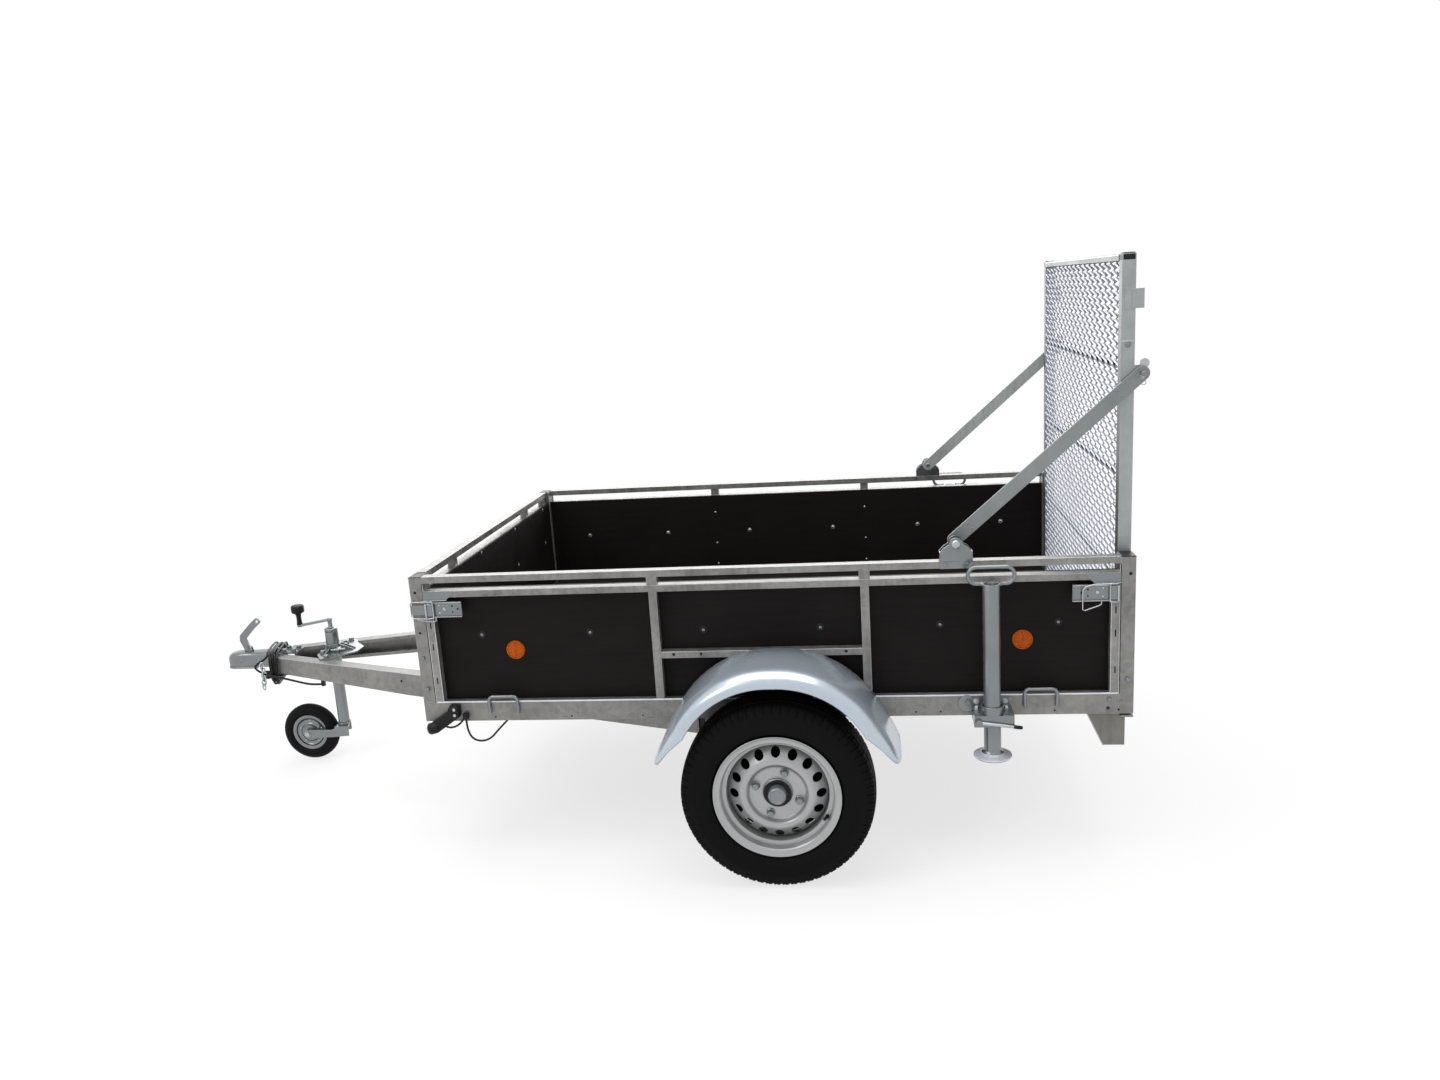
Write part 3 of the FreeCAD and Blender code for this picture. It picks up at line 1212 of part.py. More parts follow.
def stays():
    """A flat-bar stay on each side, from a bracket on the top rail to the ramp."""
    foot = point(AXLE + S.stay_foot, 0, WALL_TOP + S.stay_foot_rise)
    head = point(AXLE + S.stay_head, 0, S.stay_head_height)
    width = S.stay_width.number / 2
    thick = S.stay_thickness.number
    inner = GATE_OUTER.number + S.moving_gap.number
    pin = S.stay_pin.number
    brackets = []
    for name, side in SIDES.items():
        low = Vector(foot.x, side * inner, foot.z)
        high = Vector(head.x, side * inner, head.z)
        along = (high - low).normalize()
        normal = Vector(-along.z, 0, along.x) * width
        out = Vector(0, side * thick, 0)
        bar = slab([low + normal, high + normal, high - normal, low - normal], out)
        bar = bar.fuse(Part.makeCylinder(width, thick, low, Vector(0, side, 0)))
        bar = bar.fuse(Part.makeCylinder(width, thick, high, Vector(0, side, 0)))
        bar = bar.cut(Part.makeCylinder(pin + S.running_gap.number, thick * 3,
                                        low - out, Vector(0, side, 0)))
        tip = Vector(head.x, side * (GATE_OUTER.number + S.seat_gap.number), head.z)
        bar = bar.fuse(Part.makeCylinder(pin, 30, tip, Vector(0, side, 0)))
        bar = bar.fuse(Part.makeCylinder(11, 8, high + out, Vector(0, side, 0)))
        node("stay_" + name, shape("Stay_" + name, bar.removeSplitter()))

        plate = S.bracket_plate.number
        outer = FRAME_OUTER.number
        half = S.bracket_length.number / 2
        drop = WALL_TOP.number - S.bracket_drop.number
        rise = foot.z + 20
        profile = [(-half, drop), (half, drop), (half, WALL_TOP.number + 6), (22, rise),
                   (-22, rise), (-half, WALL_TOP.number + 6)]
        face = slab([Vector(foot.x + u, side * outer, z) for u, z in profile],
                    Vector(0, side * plate, 0))
        top = WALL_TOP.number
        deck = Part.makeBox(S.bracket_length.number, outer + plate - FRAME_INNER.number, plate)
        deck.translate(Vector(foot.x - half,
                              FRAME_INNER.number if side > 0 else -(outer + plate), top))
        tower_half = 22
        tower = slab([Vector(foot.x + u, side * FRAME_INNER.number, z)
                      for u, z in ((-tower_half, top), (tower_half, top),
                                   (tower_half, rise), (-tower_half, rise))],
                     Vector(0, side * plate, 0))
        bolt_start = Vector(foot.x, side * (inner - 6), foot.z)
        bolt = Part.makeCylinder(pin, outer + plate - inner + 12, bolt_start,
                                 Vector(0, side, 0))
        nut = Part.makeCylinder(13, 6 - S.seat_gap.number, bolt_start, Vector(0, side, 0))
        boss = Part.makeCylinder(13, 9, Vector(foot.x, side * (outer + plate), foot.z),
                                 Vector(0, side, 0))
        spacer_start = Vector(foot.x, side * (inner + thick + S.seat_gap.number), foot.z)
        spacer = Part.makeCylinder(13, FRAME_INNER.number - spacer_start.y * side,
                                   spacer_start, Vector(0, side, 0))
        solid = face.fuse([deck, tower, bolt, nut, boss, spacer]).removeSplitter()
        brackets.append(shape("Stay_bracket_" + name, solid))
    node("stay_brackets", group("Stay_brackets", brackets))


# ---------------------------------------------------------------- small fittings

def corners():
    """The four corners of the bed as name, side, and the way along the trailer inwards."""
    for end, start, inwards in (("front", RAILS_FRONT, 1), ("rear", RAILS_REAR, -1)):
        for name, side in SIDES.items():
            yield end + "_" + name, side, start, inwards


def latches():
    """A wire bail latch at each corner, its plate on the wall's end profile."""
    pieces = []
    outer = FRAME_OUTER
    for label, side, start, inwards in corners():
        far = start + inwards * S.latch_length
        x = (start, far) if inwards > 0 else (far, start)
        plate = box("Latch_plate_" + label, x, across(side, outer, outer + S.bracket_plate),
                    (S.latch_centre - S.latch_height / 2, S.latch_centre + S.latch_height / 2))
        body = box("Latch_body_" + label,
                   (x[0] + 24, x[1] - 24), across(side, outer, outer + S.latch_depth),
                   (S.latch_centre - 12, S.latch_centre + 12))
        hook_far = start - inwards * 30
        hook_x = (hook_far, start) if inwards > 0 else (start, hook_far)
        hook = box("Latch_hook_" + label, hook_x,
                   across(side, outer, outer + S.latch_depth - 5),
                   (S.latch_centre - 14, S.latch_centre + 14))
        pieces.append(fuse("Latch_" + label, [plate, body, hook]))
    node("corner_latches", group("Corner_latches", pieces))


def tie_loops():
    """Bent rod loops welded to the side rails for lashing a load."""
    pieces = []
    rod_radius = S.tie_rod.number
    half = S.tie_length.number / 2 - rod_radius
    top = CHASSIS_TOP.number + S.tie_rise.number - rod_radius
    low = CHASSIS_TOP.number - S.tie_drop.number
    places = (("front", BED_FRONT + S.tie_setback), ("rear", BED_REAR - S.tie_setback))
    for end, place in places:
        for name, side in SIDES.items():
            x = place.number
            y = side * (FRAME_OUTER.number + rod_radius)
            points = [Vector(x - half, y, low), Vector(x - half, y, top),
                      Vector(x + half, y, top), Vector(x + half, y, low)]
            path = rounded_path(points, [rod_radius * 2.5] * 2)
            pieces.append(shape(f"Tie_loop_{end}_{name}", swept(path, rod_radius)))
    node("tie_loops", group("Tie_loops", pieces))


def reflectors():
    """Two round amber reflectors on each side panel."""
    pieces = []
    for end, x in (("front", AXLE - S.reflector_front), ("rear", AXLE + S.reflector_rear)):
        for name, side in SIDES.items():
            length = S.reflector_proud
            start = FRAME_INNER if side > 0 else -(FRAME_INNER + length)
            pieces.append(rod(f"Reflector_{end}_{name}", S.reflector_radius,
                              (x, start, S.reflector_height), length, "y"))
    node("side_reflectors", group("Side_reflectors", pieces))


def marker_lamps():
    """A front marker lamp on a slanted rubber arm at each front corner of the side rails."""
    # Columns: along from the bed's front end and up from the chassis frame's underside.
    outline = ((S.marker_start.number, -S.marker_drop.number),
               (S.marker_nose.number, -S.marker_drop.number),
               (S.marker_heel.number, S.marker_heel_rise.number),
               (S.marker_end.number, S.marker_rise.number),
               (S.marker_shoulder.number, S.marker_rise.number),
               (S.marker_chest.number, S.marker_chest.number))
    plate_low = outline[2][1] - S.moving_gap.number + 1
    plate_start = outline[4][0]
    plate_length = outline[3][0] - plate_start
    pieces = []
    for name, side in SIDES.items():
        inner = FRAME_OUTER.number + S.bracket_plate.number
        corners = [Vector(BED_FRONT.number + u, side * inner, S.chassis_bottom.number + v)
                   for u, v in outline]
        arm = slab(corners, Vector(0, side * S.marker_depth.number, 0))
        plate = Part.makeBox(plate_length, S.bracket_plate.number + 1,
                             outline[3][1] - plate_low)
        plate.translate(Vector(BED_FRONT.number + plate_start,
                               FRAME_OUTER.number if side > 0 else -(inner + 1),
                               S.chassis_bottom.number + plate_low))
        pieces.append(shape("Marker_" + name, arm.fuse(plate).removeSplitter()))
    node("marker_lamps", group("Marker_lamps", pieces))


def lamp_beam():
    """A folded sheet beam under the bed's rear end, with a tail lamp at each end."""
    rear = BED_REAR.number - S.bumper_setback.number
    top = S.chassis_bottom.number
    low = S.bumper_bottom.number
    sheet = S.bumper_sheet.number
    reach = FRAME_OUTER.number - S.bumper_inset.number

    def profile(inset, past):
        return [(rear + past, top - inset),
                (rear - S.bumper_length.number + inset * 1.4, top - inset),
                (rear - S.bumper_foot.number + inset * 0.6, low + inset),
                (rear + past, low + inset)]

    def prism(inset, past, half):
        return slab([Vector(x, -half, z) for x, z in profile(inset, past)],
                    Vector(0, 2 * half, 0))

    solid = prism(0, 0, reach).cut(prism(sheet, 5, reach - sheet))
    node("lamp_beam", shape("Lamp_beam", solid.removeSplitter()))
    lamps = []
    length = S.lamp_length.number
    height = S.lamp_height.number
    depth = S.lamp_depth.number
    for name, side in SIDES.items():
        inner = reach - sheet - S.moving_gap.number - length
        y = inner if side > 0 else -(inner + length)
        housing = Part.makeBox(depth, length, height)
        housing.translate(Vector(rear - depth, y, low + sheet))
        lamps.append(shape("Tail_lamp_" + name, housing))
    node("tail_lamps", group("Tail_lamps", lamps))


# ---------------------------------------------------------------- cables

def corner_radii(points):
    """The largest gentle radius that each inner corner of a cable's route allows."""
    radii = []
    for place in range(1, len(points) - 1):
        back = points[place - 1] - points[place]
        ahead = points[place + 1] - points[place]
        turn = math.pi - back.getAngle(ahead)
        radii.append(0.45 * min(back.Length, ahead.Length) / math.tan(turn / 2))
    return radii


def cable(name, points, radius):
    """A cable along a route of straight runs and tangent arcs."""
    radii = corner_radii(points)
    path = rounded_path(points, radii)
    solid = swept(path, radius)
    whole = path.Length * math.pi * radius * radius
    print(f"{name}: length {path.Length:.0f}, radii {[round(r) for r in radii]}, "
          f"volume over section times length {solid.Volume / whole:.4f}")
    return shape(name, solid)


def cables():
    """The coiled trailer cable with its plug and lead, and the marker lamps' wires."""
    axle = AXLE.number
    neck_top = S.chassis_bottom.number + S.neck_sheet.number + S.seat_gap.number
    low = S.hank_bottom.number
    bundle = S.hank_bundle.number
    half = S.hank_half_width.number
    rear = axle - (S.arm_reach - S.hank_setback).number
    front = rear - S.hank_length.number

    def ring(grow, x, length, corner):
        block = Part.makeBox(length, 2 * (half - bundle + grow), neck_top - low - bundle + 2 * grow)
        block.translate(Vector(x, -(half - bundle + grow), low + bundle - grow))
        long_edges = [edge for edge in block.Edges
                      if abs(edge.tangentAt(edge.FirstParameter).x) > 0.9]
        return block.makeFillet(corner, long_edges)

    hank = ring(bundle, front, S.hank_length.number, bundle * 2)
    hank = hank.cut(ring(0, front - 5, S.hank_length.number + 10, bundle / 2))
    node("cable_hank", shape("Cable_hank", hank))

    plug_z = low + bundle + S.plug_radius.number + S.seat_gap.number
    start = Vector(front + 6, -40, plug_z)
    grip = Part.makeCylinder(S.plug_radius.number, S.plug_length.number, start, Vector(1, 0, 0))
    node("plug", shape("Plug", grip))

    setback = S.clip_setback.number
    clip_x = axle - S.arm_reach.number + setback
    arm_y = S.arm_nose_spread.number + setback * ARM_SLOPE.number
    taper = setback / (S.arm_reach.number - S.arm_taper_reach.number)
    arm_low = (S.chassis_bottom.number - S.arm_nose_height.number
               - (S.arm_height.number - S.arm_nose_height.number) * taper)
    width = S.clip_width.number
    clip = Part.makeBox(width, width, 2 * width)
    clip.translate(Vector(clip_x, -arm_y + 3, arm_low - 2 * width - S.seat_gap.number))
    node("cable_clip", shape("Cable_clip", clip))

    lead_y = -arm_y + 3 + width / 2
    points = [Vector(rear, -98, 366), Vector(rear + 48, -106, 357),
              Vector(rear + 96, -116, 349), Vector(rear + 144, -126, 344),
              Vector(clip_x, lead_y, arm_low - 18)]
    node("cable_lead", cable("Cable_lead", points, S.cable_radius.number))

    # Columns: along from the bed's front end, outwards from the side frame, up from the rail.
    route = ((136, 9, 11), (137, 9, -27), (152, 9, -54), (182, 9, -61), (212, 9, -44),
             (236, 4, -23), (262, -8, 0))
    low = S.chassis_bottom.number
    wires = []
    for name, side in SIDES.items():
        points = [Vector(BED_FRONT.number + u, side * (FRAME_OUTER.number + v), low + w)
                  for u, v, w in route]
        wires.append(cable("Marker_wire_" + name, points, S.wire_radius.number))
        grommet = Part.makeBox(S.grommet_side.number, S.grommet_side.number,
                               S.grommet_height.number)
        inner = FRAME_OUTER.number if side > 0 else -FRAME_OUTER.number - S.grommet_side.number
        grommet.translate(Vector(BED_FRONT.number + S.grommet_start.number, inner,
                                 low + S.grommet_rise.number))
        wires.append(shape("Grommet_" + name, grommet))
    node("marker_wires", group("Marker_wires", wires))


def build():
    """Make every sub-part."""
    wheels()
    axle()
    chassis()
    side_walls()
    front_wall()
    drawbar()
    coupling()
    jockey()
    mudguards()
    stands()
    ramp()
    stays()
    latches()
    tie_loops()
    reflectors()
    marker_lamps()
    lamp_beam()
    cables()


def check():
    """Stop with a plain message where an object or a sub-part has failed."""
    for thing in DOC.Objects:
        state = [word for word in thing.State if word in ("Invalid", "Error")]
        if state:
            raise RuntimeError(f"{thing.Name} ({thing.Label}) is {state}")
    for name, thing in NODES.items():
        if thing.Shape.isNull() or not thing.Shape.isValid():
            raise RuntimeError(f"{name} has no valid shape")
        if not thing.Shape.Solids:
            raise RuntimeError(f"{name} has no solid")


fill_sheet()
DOC.recompute()
build()
DOC.recompute()
check()
os.makedirs("parts", exist_ok=True)
for node_name, piece in NODES.items():
    piece.Shape.exportStep(f"parts/{node_name}.step")
    bounds = piece.Shape.BoundBox
    print(f"{node_name:22s} solids {len(piece.Shape.Solids)}  volume {piece.Shape.Volume / 1e6:8.3f}"
          f"  x {bounds.XMin:8.1f} {bounds.XMax:8.1f}  y {bounds.YMin:7.1f} {bounds.YMax:7.1f}"
          f"  z {bounds.ZMin:7.1f} {bounds.ZMax:7.1f}")
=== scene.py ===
"""Utility trailer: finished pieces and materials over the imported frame.

Every length is in metres, apart from the tables that mm() reads, which are in millimetres.
X runs from the coupling (-X) to the ramp (+X), Y to the trailer's right and Z up. The ground
is at Z = 0.
"""

import json
import logging
from dataclasses import dataclass
from enum import Enum
from math import ceil, copysign, cos, dist, pi, radians, sin, sqrt
from typing import Callable, Iterable, Sequence

import bmesh
import bpy
from mathutils import Matrix, Vector

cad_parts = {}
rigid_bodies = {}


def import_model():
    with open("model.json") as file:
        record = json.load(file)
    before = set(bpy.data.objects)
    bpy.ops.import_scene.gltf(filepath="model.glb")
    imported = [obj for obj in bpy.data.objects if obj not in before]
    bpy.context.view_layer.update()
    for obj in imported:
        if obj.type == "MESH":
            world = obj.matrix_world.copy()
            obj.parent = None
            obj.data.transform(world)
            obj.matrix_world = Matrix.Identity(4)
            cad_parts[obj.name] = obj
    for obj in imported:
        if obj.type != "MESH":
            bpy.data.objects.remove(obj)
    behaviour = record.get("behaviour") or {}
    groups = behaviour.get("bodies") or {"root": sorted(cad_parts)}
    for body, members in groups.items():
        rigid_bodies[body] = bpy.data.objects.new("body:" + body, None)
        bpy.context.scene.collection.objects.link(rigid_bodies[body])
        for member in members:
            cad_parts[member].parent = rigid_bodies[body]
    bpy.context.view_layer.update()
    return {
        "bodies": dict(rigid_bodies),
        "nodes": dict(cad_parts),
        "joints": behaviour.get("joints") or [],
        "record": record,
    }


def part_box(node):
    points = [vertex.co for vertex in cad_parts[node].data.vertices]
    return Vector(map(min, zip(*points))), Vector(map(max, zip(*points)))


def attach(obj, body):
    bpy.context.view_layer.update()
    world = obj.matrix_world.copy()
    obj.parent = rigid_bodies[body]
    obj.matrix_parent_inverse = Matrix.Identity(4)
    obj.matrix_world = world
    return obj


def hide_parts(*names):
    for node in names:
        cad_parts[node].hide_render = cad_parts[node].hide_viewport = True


LOG = logging.getLogger("trailer")
Point = tuple[float, float, float]
Flat = tuple[float, float]
Colour = tuple[float, float, float]


def vec(x: float, y: float, z: float) -> Vector:
    """A point or a direction from its three numbers."""
    return Vector([x, y, z])


def moved(x: float, y: float, z: float) -> Matrix:
    """A shift by three numbers."""
    return Matrix.Translation([x, y, z])


def upright(x: float, y: float, z: float, along: float, out: float) -> Matrix:
    """A frame with its X along the trailer, its Y up and its Z across, with a sign for X and for Z."""
    return Matrix(((along, 0, 0, x), (0, 0, out, y), (0, 1, 0, z), (0, 0, 0, 1)))


def around(steps: int, start: float = 0.0) -> list[float]:
    """The angles that part a circle into equal steps, from a start in radians."""
    return [2 * pi * k / steps + start for k in range(steps)]


def arc(begin: float, end: float, steps: int) -> list[float]:
    """The angles from one to another in equal steps, given in degrees."""
    return [radians(begin + (end - begin) * k / steps) for k in range(steps + 1)]


def mm(table: str, **bases: float) -> list[tuple[float, ...]]:
    """Rows of numbers in millimetres as tuples in metres.

    Args:
        table: the rows, parted by commas. A number may count from a base, as in r-2.5.
        bases: lengths in metres that numbers count from, each under one letter.

    Returns:
        A tuple for each row.
    """
    def read(word: str) -> float:
        """One number."""
        base = bases.get(word[0])
        return float(word) / 1000 if base is None else base + float(word[1:] or 0) / 1000

    return [tuple(read(word) for word in row.split()) for row in table.split(",")]


class Side(Enum):
    """The trailer's two sides, by the sign of Y."""

    LEFT = -1
    RIGHT = 1

    @property
    def tag(self) -> str:
        """The side's name in node names."""
        return self.name.lower()


# ---------------------------------------------------------------- shader node groups


class Tree:
    """Short calls for wiring one node tree."""

    def __init__(self, tree: bpy.types.NodeTree) -> None:
        """Keep the tree.

        Args:
            tree: the node tree that is wired.
        """
        self.tree = tree
        self.count = 0

    def node(self, kind: str, inputs: dict | None = None, **settings: object) -> bpy.types.Node:
        """Add a node.

        Args:
            kind: the node's type name.
            inputs: values or output sockets, by input name or number.
            settings: the node's own properties.

        Returns:
            The new node.
        """
        made = self.tree.nodes.new(kind)
        made.location = (220 * (self.count % 12), -260 * (self.count // 12))
        self.count += 1
        for name, value in settings.items():
            setattr(made, name, value)
        for name, value in (inputs or {}).items():
            self.put(made, name, value)
        return made

    def put(self, node: bpy.types.Node, name: str | int, value: object) -> None:
        """Link a socket to a node's input, or set the input; a colour gets its alpha.

        Args:
            node: the node that is fed.
            name: the input's name or number.
            value: a value, a colour or an output socket.
        """
        if isinstance(value, bpy.types.NodeSocket):
            self.tree.links.new(value, node.inputs[name])
        elif node.inputs[name].type == "RGBA":
            node.inputs[name].default_value = (*value, 1.0)[:4]
        else:
            node.inputs[name].default_value = value

    def math(self, operation: str, first: object, second: object = 0.0) -> bpy.types.NodeSocket:
        """Combine two values.

        Args:
            operation: the Math node's operation.
            first: a number or an output socket.
            second: a number or an output socket.

        Returns:
            The result's socket.
        """
        return self.node("ShaderNodeMath", {0: first, 1: second}, operation=operation).outputs[0]

    def noise(self, at: object, scale: float, detail: float = 3.0,
            rough: float = 0.55) -> bpy.types.NodeSocket:
        """A noise value from 0 to 1 at a coordinate.

        Args:
            at: the coordinate.
            scale: the noise's scale.
            detail: its octaves.
            rough: how strong the fine octaves are.

        Returns:
            The value's socket.
        """
        made = self.node("ShaderNodeTexNoise", {"Vector": at, "Scale": scale,
            "Detail": detail, "Roughness": rough})
        return made.outputs["Fac"]

    def place(self) -> bpy.types.NodeSocket:
        """The coordinate on the object."""
        return self.node("ShaderNodeTexCoord").outputs["Object"]

    def span(self, value: object, low: float, high: float, start: float = 0.0,
            end: float = 1.0) -> bpy.types.NodeSocket:
        """Map a value's range onto another, clamped.

        Args:
            value: a number or a socket.
            low: the low end of its range.
            high: the high end of its range.
            start: what the low end becomes.
            end: what the high end becomes.

        Returns:
            The mapped value's socket.
        """
        made = self.node("ShaderNodeMapRange", {"Value": value, "From Min": low,
            "From Max": high, "To Min": start, "To Max": end})
        return made.outputs["Result"]

    def blend(self, share: object, first: object, second: object,
            mode: str = "MIX") -> bpy.types.NodeSocket:
        """Mix two colours.

        Args:
            share: how much of the second colour shows.
            first: a colour or a socket.
            second: a colour or a socket.
            mode: the Mix node's blend type.

        Returns:
            The mixed colour's socket.
        """
        made = self.node("ShaderNodeMix", {0: share, 6: first, 7: second},
            data_type="RGBA", blend_type=mode)
        return made.outputs[2]


@dataclass(frozen=True)
class Socket:
    """One named input or output of a node group."""

    name: str
    kind: str = "NodeSocketFloat"
    value: float | tuple | None = None


class Effects:
    """The surface effects that the materials share, each one a node group built once."""

    def __init__(self) -> None:
        """Build the groups."""
        self.soft_edge = self._soft_edge()
        self.zinc_bloom = self._zinc_bloom()
        self.road_dust = self._road_dust()
        self.fine_grain = self._fine_grain()

    @staticmethod
    def _open(name: str, inputs: Sequence[Socket], outputs: Sequence[Socket]) -> tuple:
        """Start a group.

        Args:
            name: the group's name.
            inputs: its input sockets.
            outputs: its output sockets.

        Returns:
            The tree helper, the group input's outputs and the group output node.
        """
        group = bpy.data.node_groups.new(name, "ShaderNodeTree")
        for way, sockets in (("INPUT", inputs), ("OUTPUT", outputs)):
            for item in sockets:
                made = group.interface.new_socket(item.name, in_out=way, socket_type=item.kind)
                if item.value is not None:
                    made.default_value = item.value
        tree = Tree(group)
        return tree, tree.node("NodeGroupInput").outputs, tree.node("NodeGroupOutput")

    def _soft_edge(self) -> bpy.types.NodeTree:
        """Rounded edge normals, and a mask that is 1 along the edges.

        Returns:
            The node group.
        """
        tree, given, out = self._open("soft_edge", [Socket("Radius", value=0.001)],
            [Socket("Normal", "NodeSocketVector"), Socket("Edge")])
        bevel = tree.node("ShaderNodeBevel", {"Radius": given["Radius"]}, samples=4)
        flat = tree.node("ShaderNodeNewGeometry")
        dot = tree.node("ShaderNodeVectorMath", {0: bevel.outputs[0],
            1: flat.outputs["Normal"]}, operation="DOT_PRODUCT")
        tree.put(out, "Normal", bevel.outputs[0])
        tree.put(out, "Edge", tree.span(dot.outputs["Value"], 0.995, 0.88))
        return tree.tree

    def _zinc_bloom(self) -> bpy.types.NodeTree:
        """Hot-dip zinc: soft crystals, cloudy patches and run marks.

        Returns:
            The node group.
        """
        tree, given, out = self._open("zinc_bloom", [Socket("Colour", "NodeSocketColor",
            (0.4, 0.4, 0.4, 1.0)), Socket("Crystal Scale", value=60.0),
            Socket("Crystals", value=0.3), Socket("Clouds", value=0.3), Socket("Runs", value=0.2)],
            [Socket("Colour", "NodeSocketColor"), Socket("Gloss Shift"), Socket("Height")])
        at = tree.place()
        wobble = tree.node("ShaderNodeTexNoise", {"Vector": at, "Scale": 45.0, "Detail": 2.0})
        shifted = tree.node("ShaderNodeVectorMath", {0: wobble.outputs["Color"],
            "Scale": 0.02}, operation="SCALE")
        warped = tree.node("ShaderNodeVectorMath", {0: at, 1: shifted.outputs[0]}, operation="ADD")
        cells = tree.node("ShaderNodeTexVoronoi", {"Vector": warped.outputs[0],
            "Scale": given["Crystal Scale"]})
        crystal = tree.node("ShaderNodeSeparateColor", {0: cells.outputs["Color"]}).outputs[0]
        cloud = tree.span(tree.noise(at, 5.0, 5.0, 0.6), 0.32, 0.68)
        stretched = tree.node("ShaderNodeMapping", {"Vector": at, "Scale": (55.0, 55.0, 3.5)})
        runs = tree.span(tree.noise(stretched.outputs[0], 1.0, 4.0, 0.6), 0.42, 0.72)
        shade = tree.math("ADD", 1.0, tree.math("MULTIPLY", tree.math("SUBTRACT", crystal,
            0.5), given["Crystals"]))
        shade = tree.math("ADD", shade, tree.math("MULTIPLY", tree.math("SUBTRACT", cloud,
            0.5), given["Clouds"]))
        shade = tree.math("SUBTRACT", shade, tree.math("MULTIPLY", runs, given["Runs"]))
        tone = tree.node("ShaderNodeCombineColor", {0: shade, 1: shade, 2: shade})
        tree.put(out, "Colour", tree.blend(1.0, given["Colour"], tone.outputs[0], "MULTIPLY"))
        sparkle = tree.math("MULTIPLY", given["Crystals"], 0.4)
        shift = tree.math("ADD", tree.math("MULTIPLY", tree.math("SUBTRACT", crystal, 0.5),
            sparkle), tree.math("MULTIPLY", tree.math("SUBTRACT", cloud, 0.5), 0.1))
        tree.put(out, "Gloss Shift", shift)
        bump = tree.math("ADD", tree.math("MULTIPLY", crystal, 0.25), tree.noise(at, 420.0, 2.0))
        tree.put(out, "Height", bump)
        return tree.tree

    def _road_dust(self) -> bpy.types.NodeTree:
        """Pale dust on faces that look up, and painted shade: darker on faces that look down and, by a second
        input, on faces that look ahead.

        Returns:
            The node group.
        """
        tree, given, out = self._open("road_dust", [Socket("Colour", "NodeSocketColor",
            (0.1, 0.1, 0.1, 1.0)), Socket("Dust", "NodeSocketColor", (0.3, 0.28, 0.25, 1.0)),
            Socket("Amount", value=0.2), Socket("Scale", value=14.0),
            Socket("Grime", value=0.62), Socket("Front", value=0.0)],
            [Socket("Colour", "NodeSocketColor"), Socket("Mask")])
        at = tree.place()
        normal = tree.node("ShaderNodeSeparateXYZ",
            {0: tree.node("ShaderNodeNewGeometry").outputs["Normal"]})
        upward = tree.span(normal.outputs["Z"], -0.4, 1.0, 0.25, 1.0)
        fine = tree.node("ShaderNodeTexNoise", {"Vector": at, "Scale": given["Scale"],
            "Detail": 7.0, "Roughness": 0.68})
        patches = tree.span(fine.outputs["Fac"], 0.38, 0.7)
        mask = tree.math("MULTIPLY", tree.math("MULTIPLY", patches, upward), given["Amount"])
        tree.put(out, "Mask", mask)
        dusty = tree.blend(mask, given["Colour"], given["Dust"])
        # Painted shade: faces that look down, and faces that look ahead, are darkened.
        low = tree.math("MULTIPLY", tree.span(normal.outputs["Z"], -0.9, -0.1, 1.0, 0.0),
            given["Grime"])
        ahead = tree.math("MULTIPLY", tree.span(normal.outputs["X"], -0.95, -0.6, 1.0, 0.0),
            given["Front"])
        grime = tree.math("MULTIPLY", tree.math("SUBTRACT", 1.0, low),
            tree.math("SUBTRACT", 1.0, ahead))
        shade = tree.node("ShaderNodeCombineColor", {0: grime, 1: grime, 2: grime})
        tree.put(out, "Colour", tree.blend(1.0, dusty, shade.outputs[0], "MULTIPLY"))
        return tree.tree

    def _fine_grain(self) -> bpy.types.NodeTree:
        """Moulded grain: a fine height and a slight unevenness of tone.

        Returns:
            The node group.
        """
        tree, given, out = self._open("fine_grain", [Socket("Colour", "NodeSocketColor",
            (0.05, 0.05, 0.05, 1.0)), Socket("Scale", value=900.0),
            Socket("Unevenness", value=0.2)], [Socket("Colour", "NodeSocketColor"),
            Socket("Gloss Shift"), Socket("Height")])
        at = tree.place()
        grain = tree.node("ShaderNodeTexNoise", {"Vector": at, "Scale": given["Scale"],
            "Detail": 2.0})
        cloud = tree.noise(at, 22.0, 5.0, 0.62)
        shade = tree.math("ADD", 1.0, tree.math("MULTIPLY", tree.math("SUBTRACT", cloud, 0.5),
            tree.math("MULTIPLY", given["Unevenness"], 4.0)))
        tone = tree.node("ShaderNodeCombineColor", {0: shade, 1: shade, 2: shade})
        tree.put(out, "Colour", tree.blend(1.0, given["Colour"], tone.outputs[0], "MULTIPLY"))
        tree.put(out, "Gloss Shift", tree.math("MULTIPLY", tree.math("SUBTRACT", cloud, 0.5),
            given["Unevenness"]))
        tree.put(out, "Height", grain.outputs["Fac"])
        return tree.tree


# ---------------------------------------------------------------- finishes


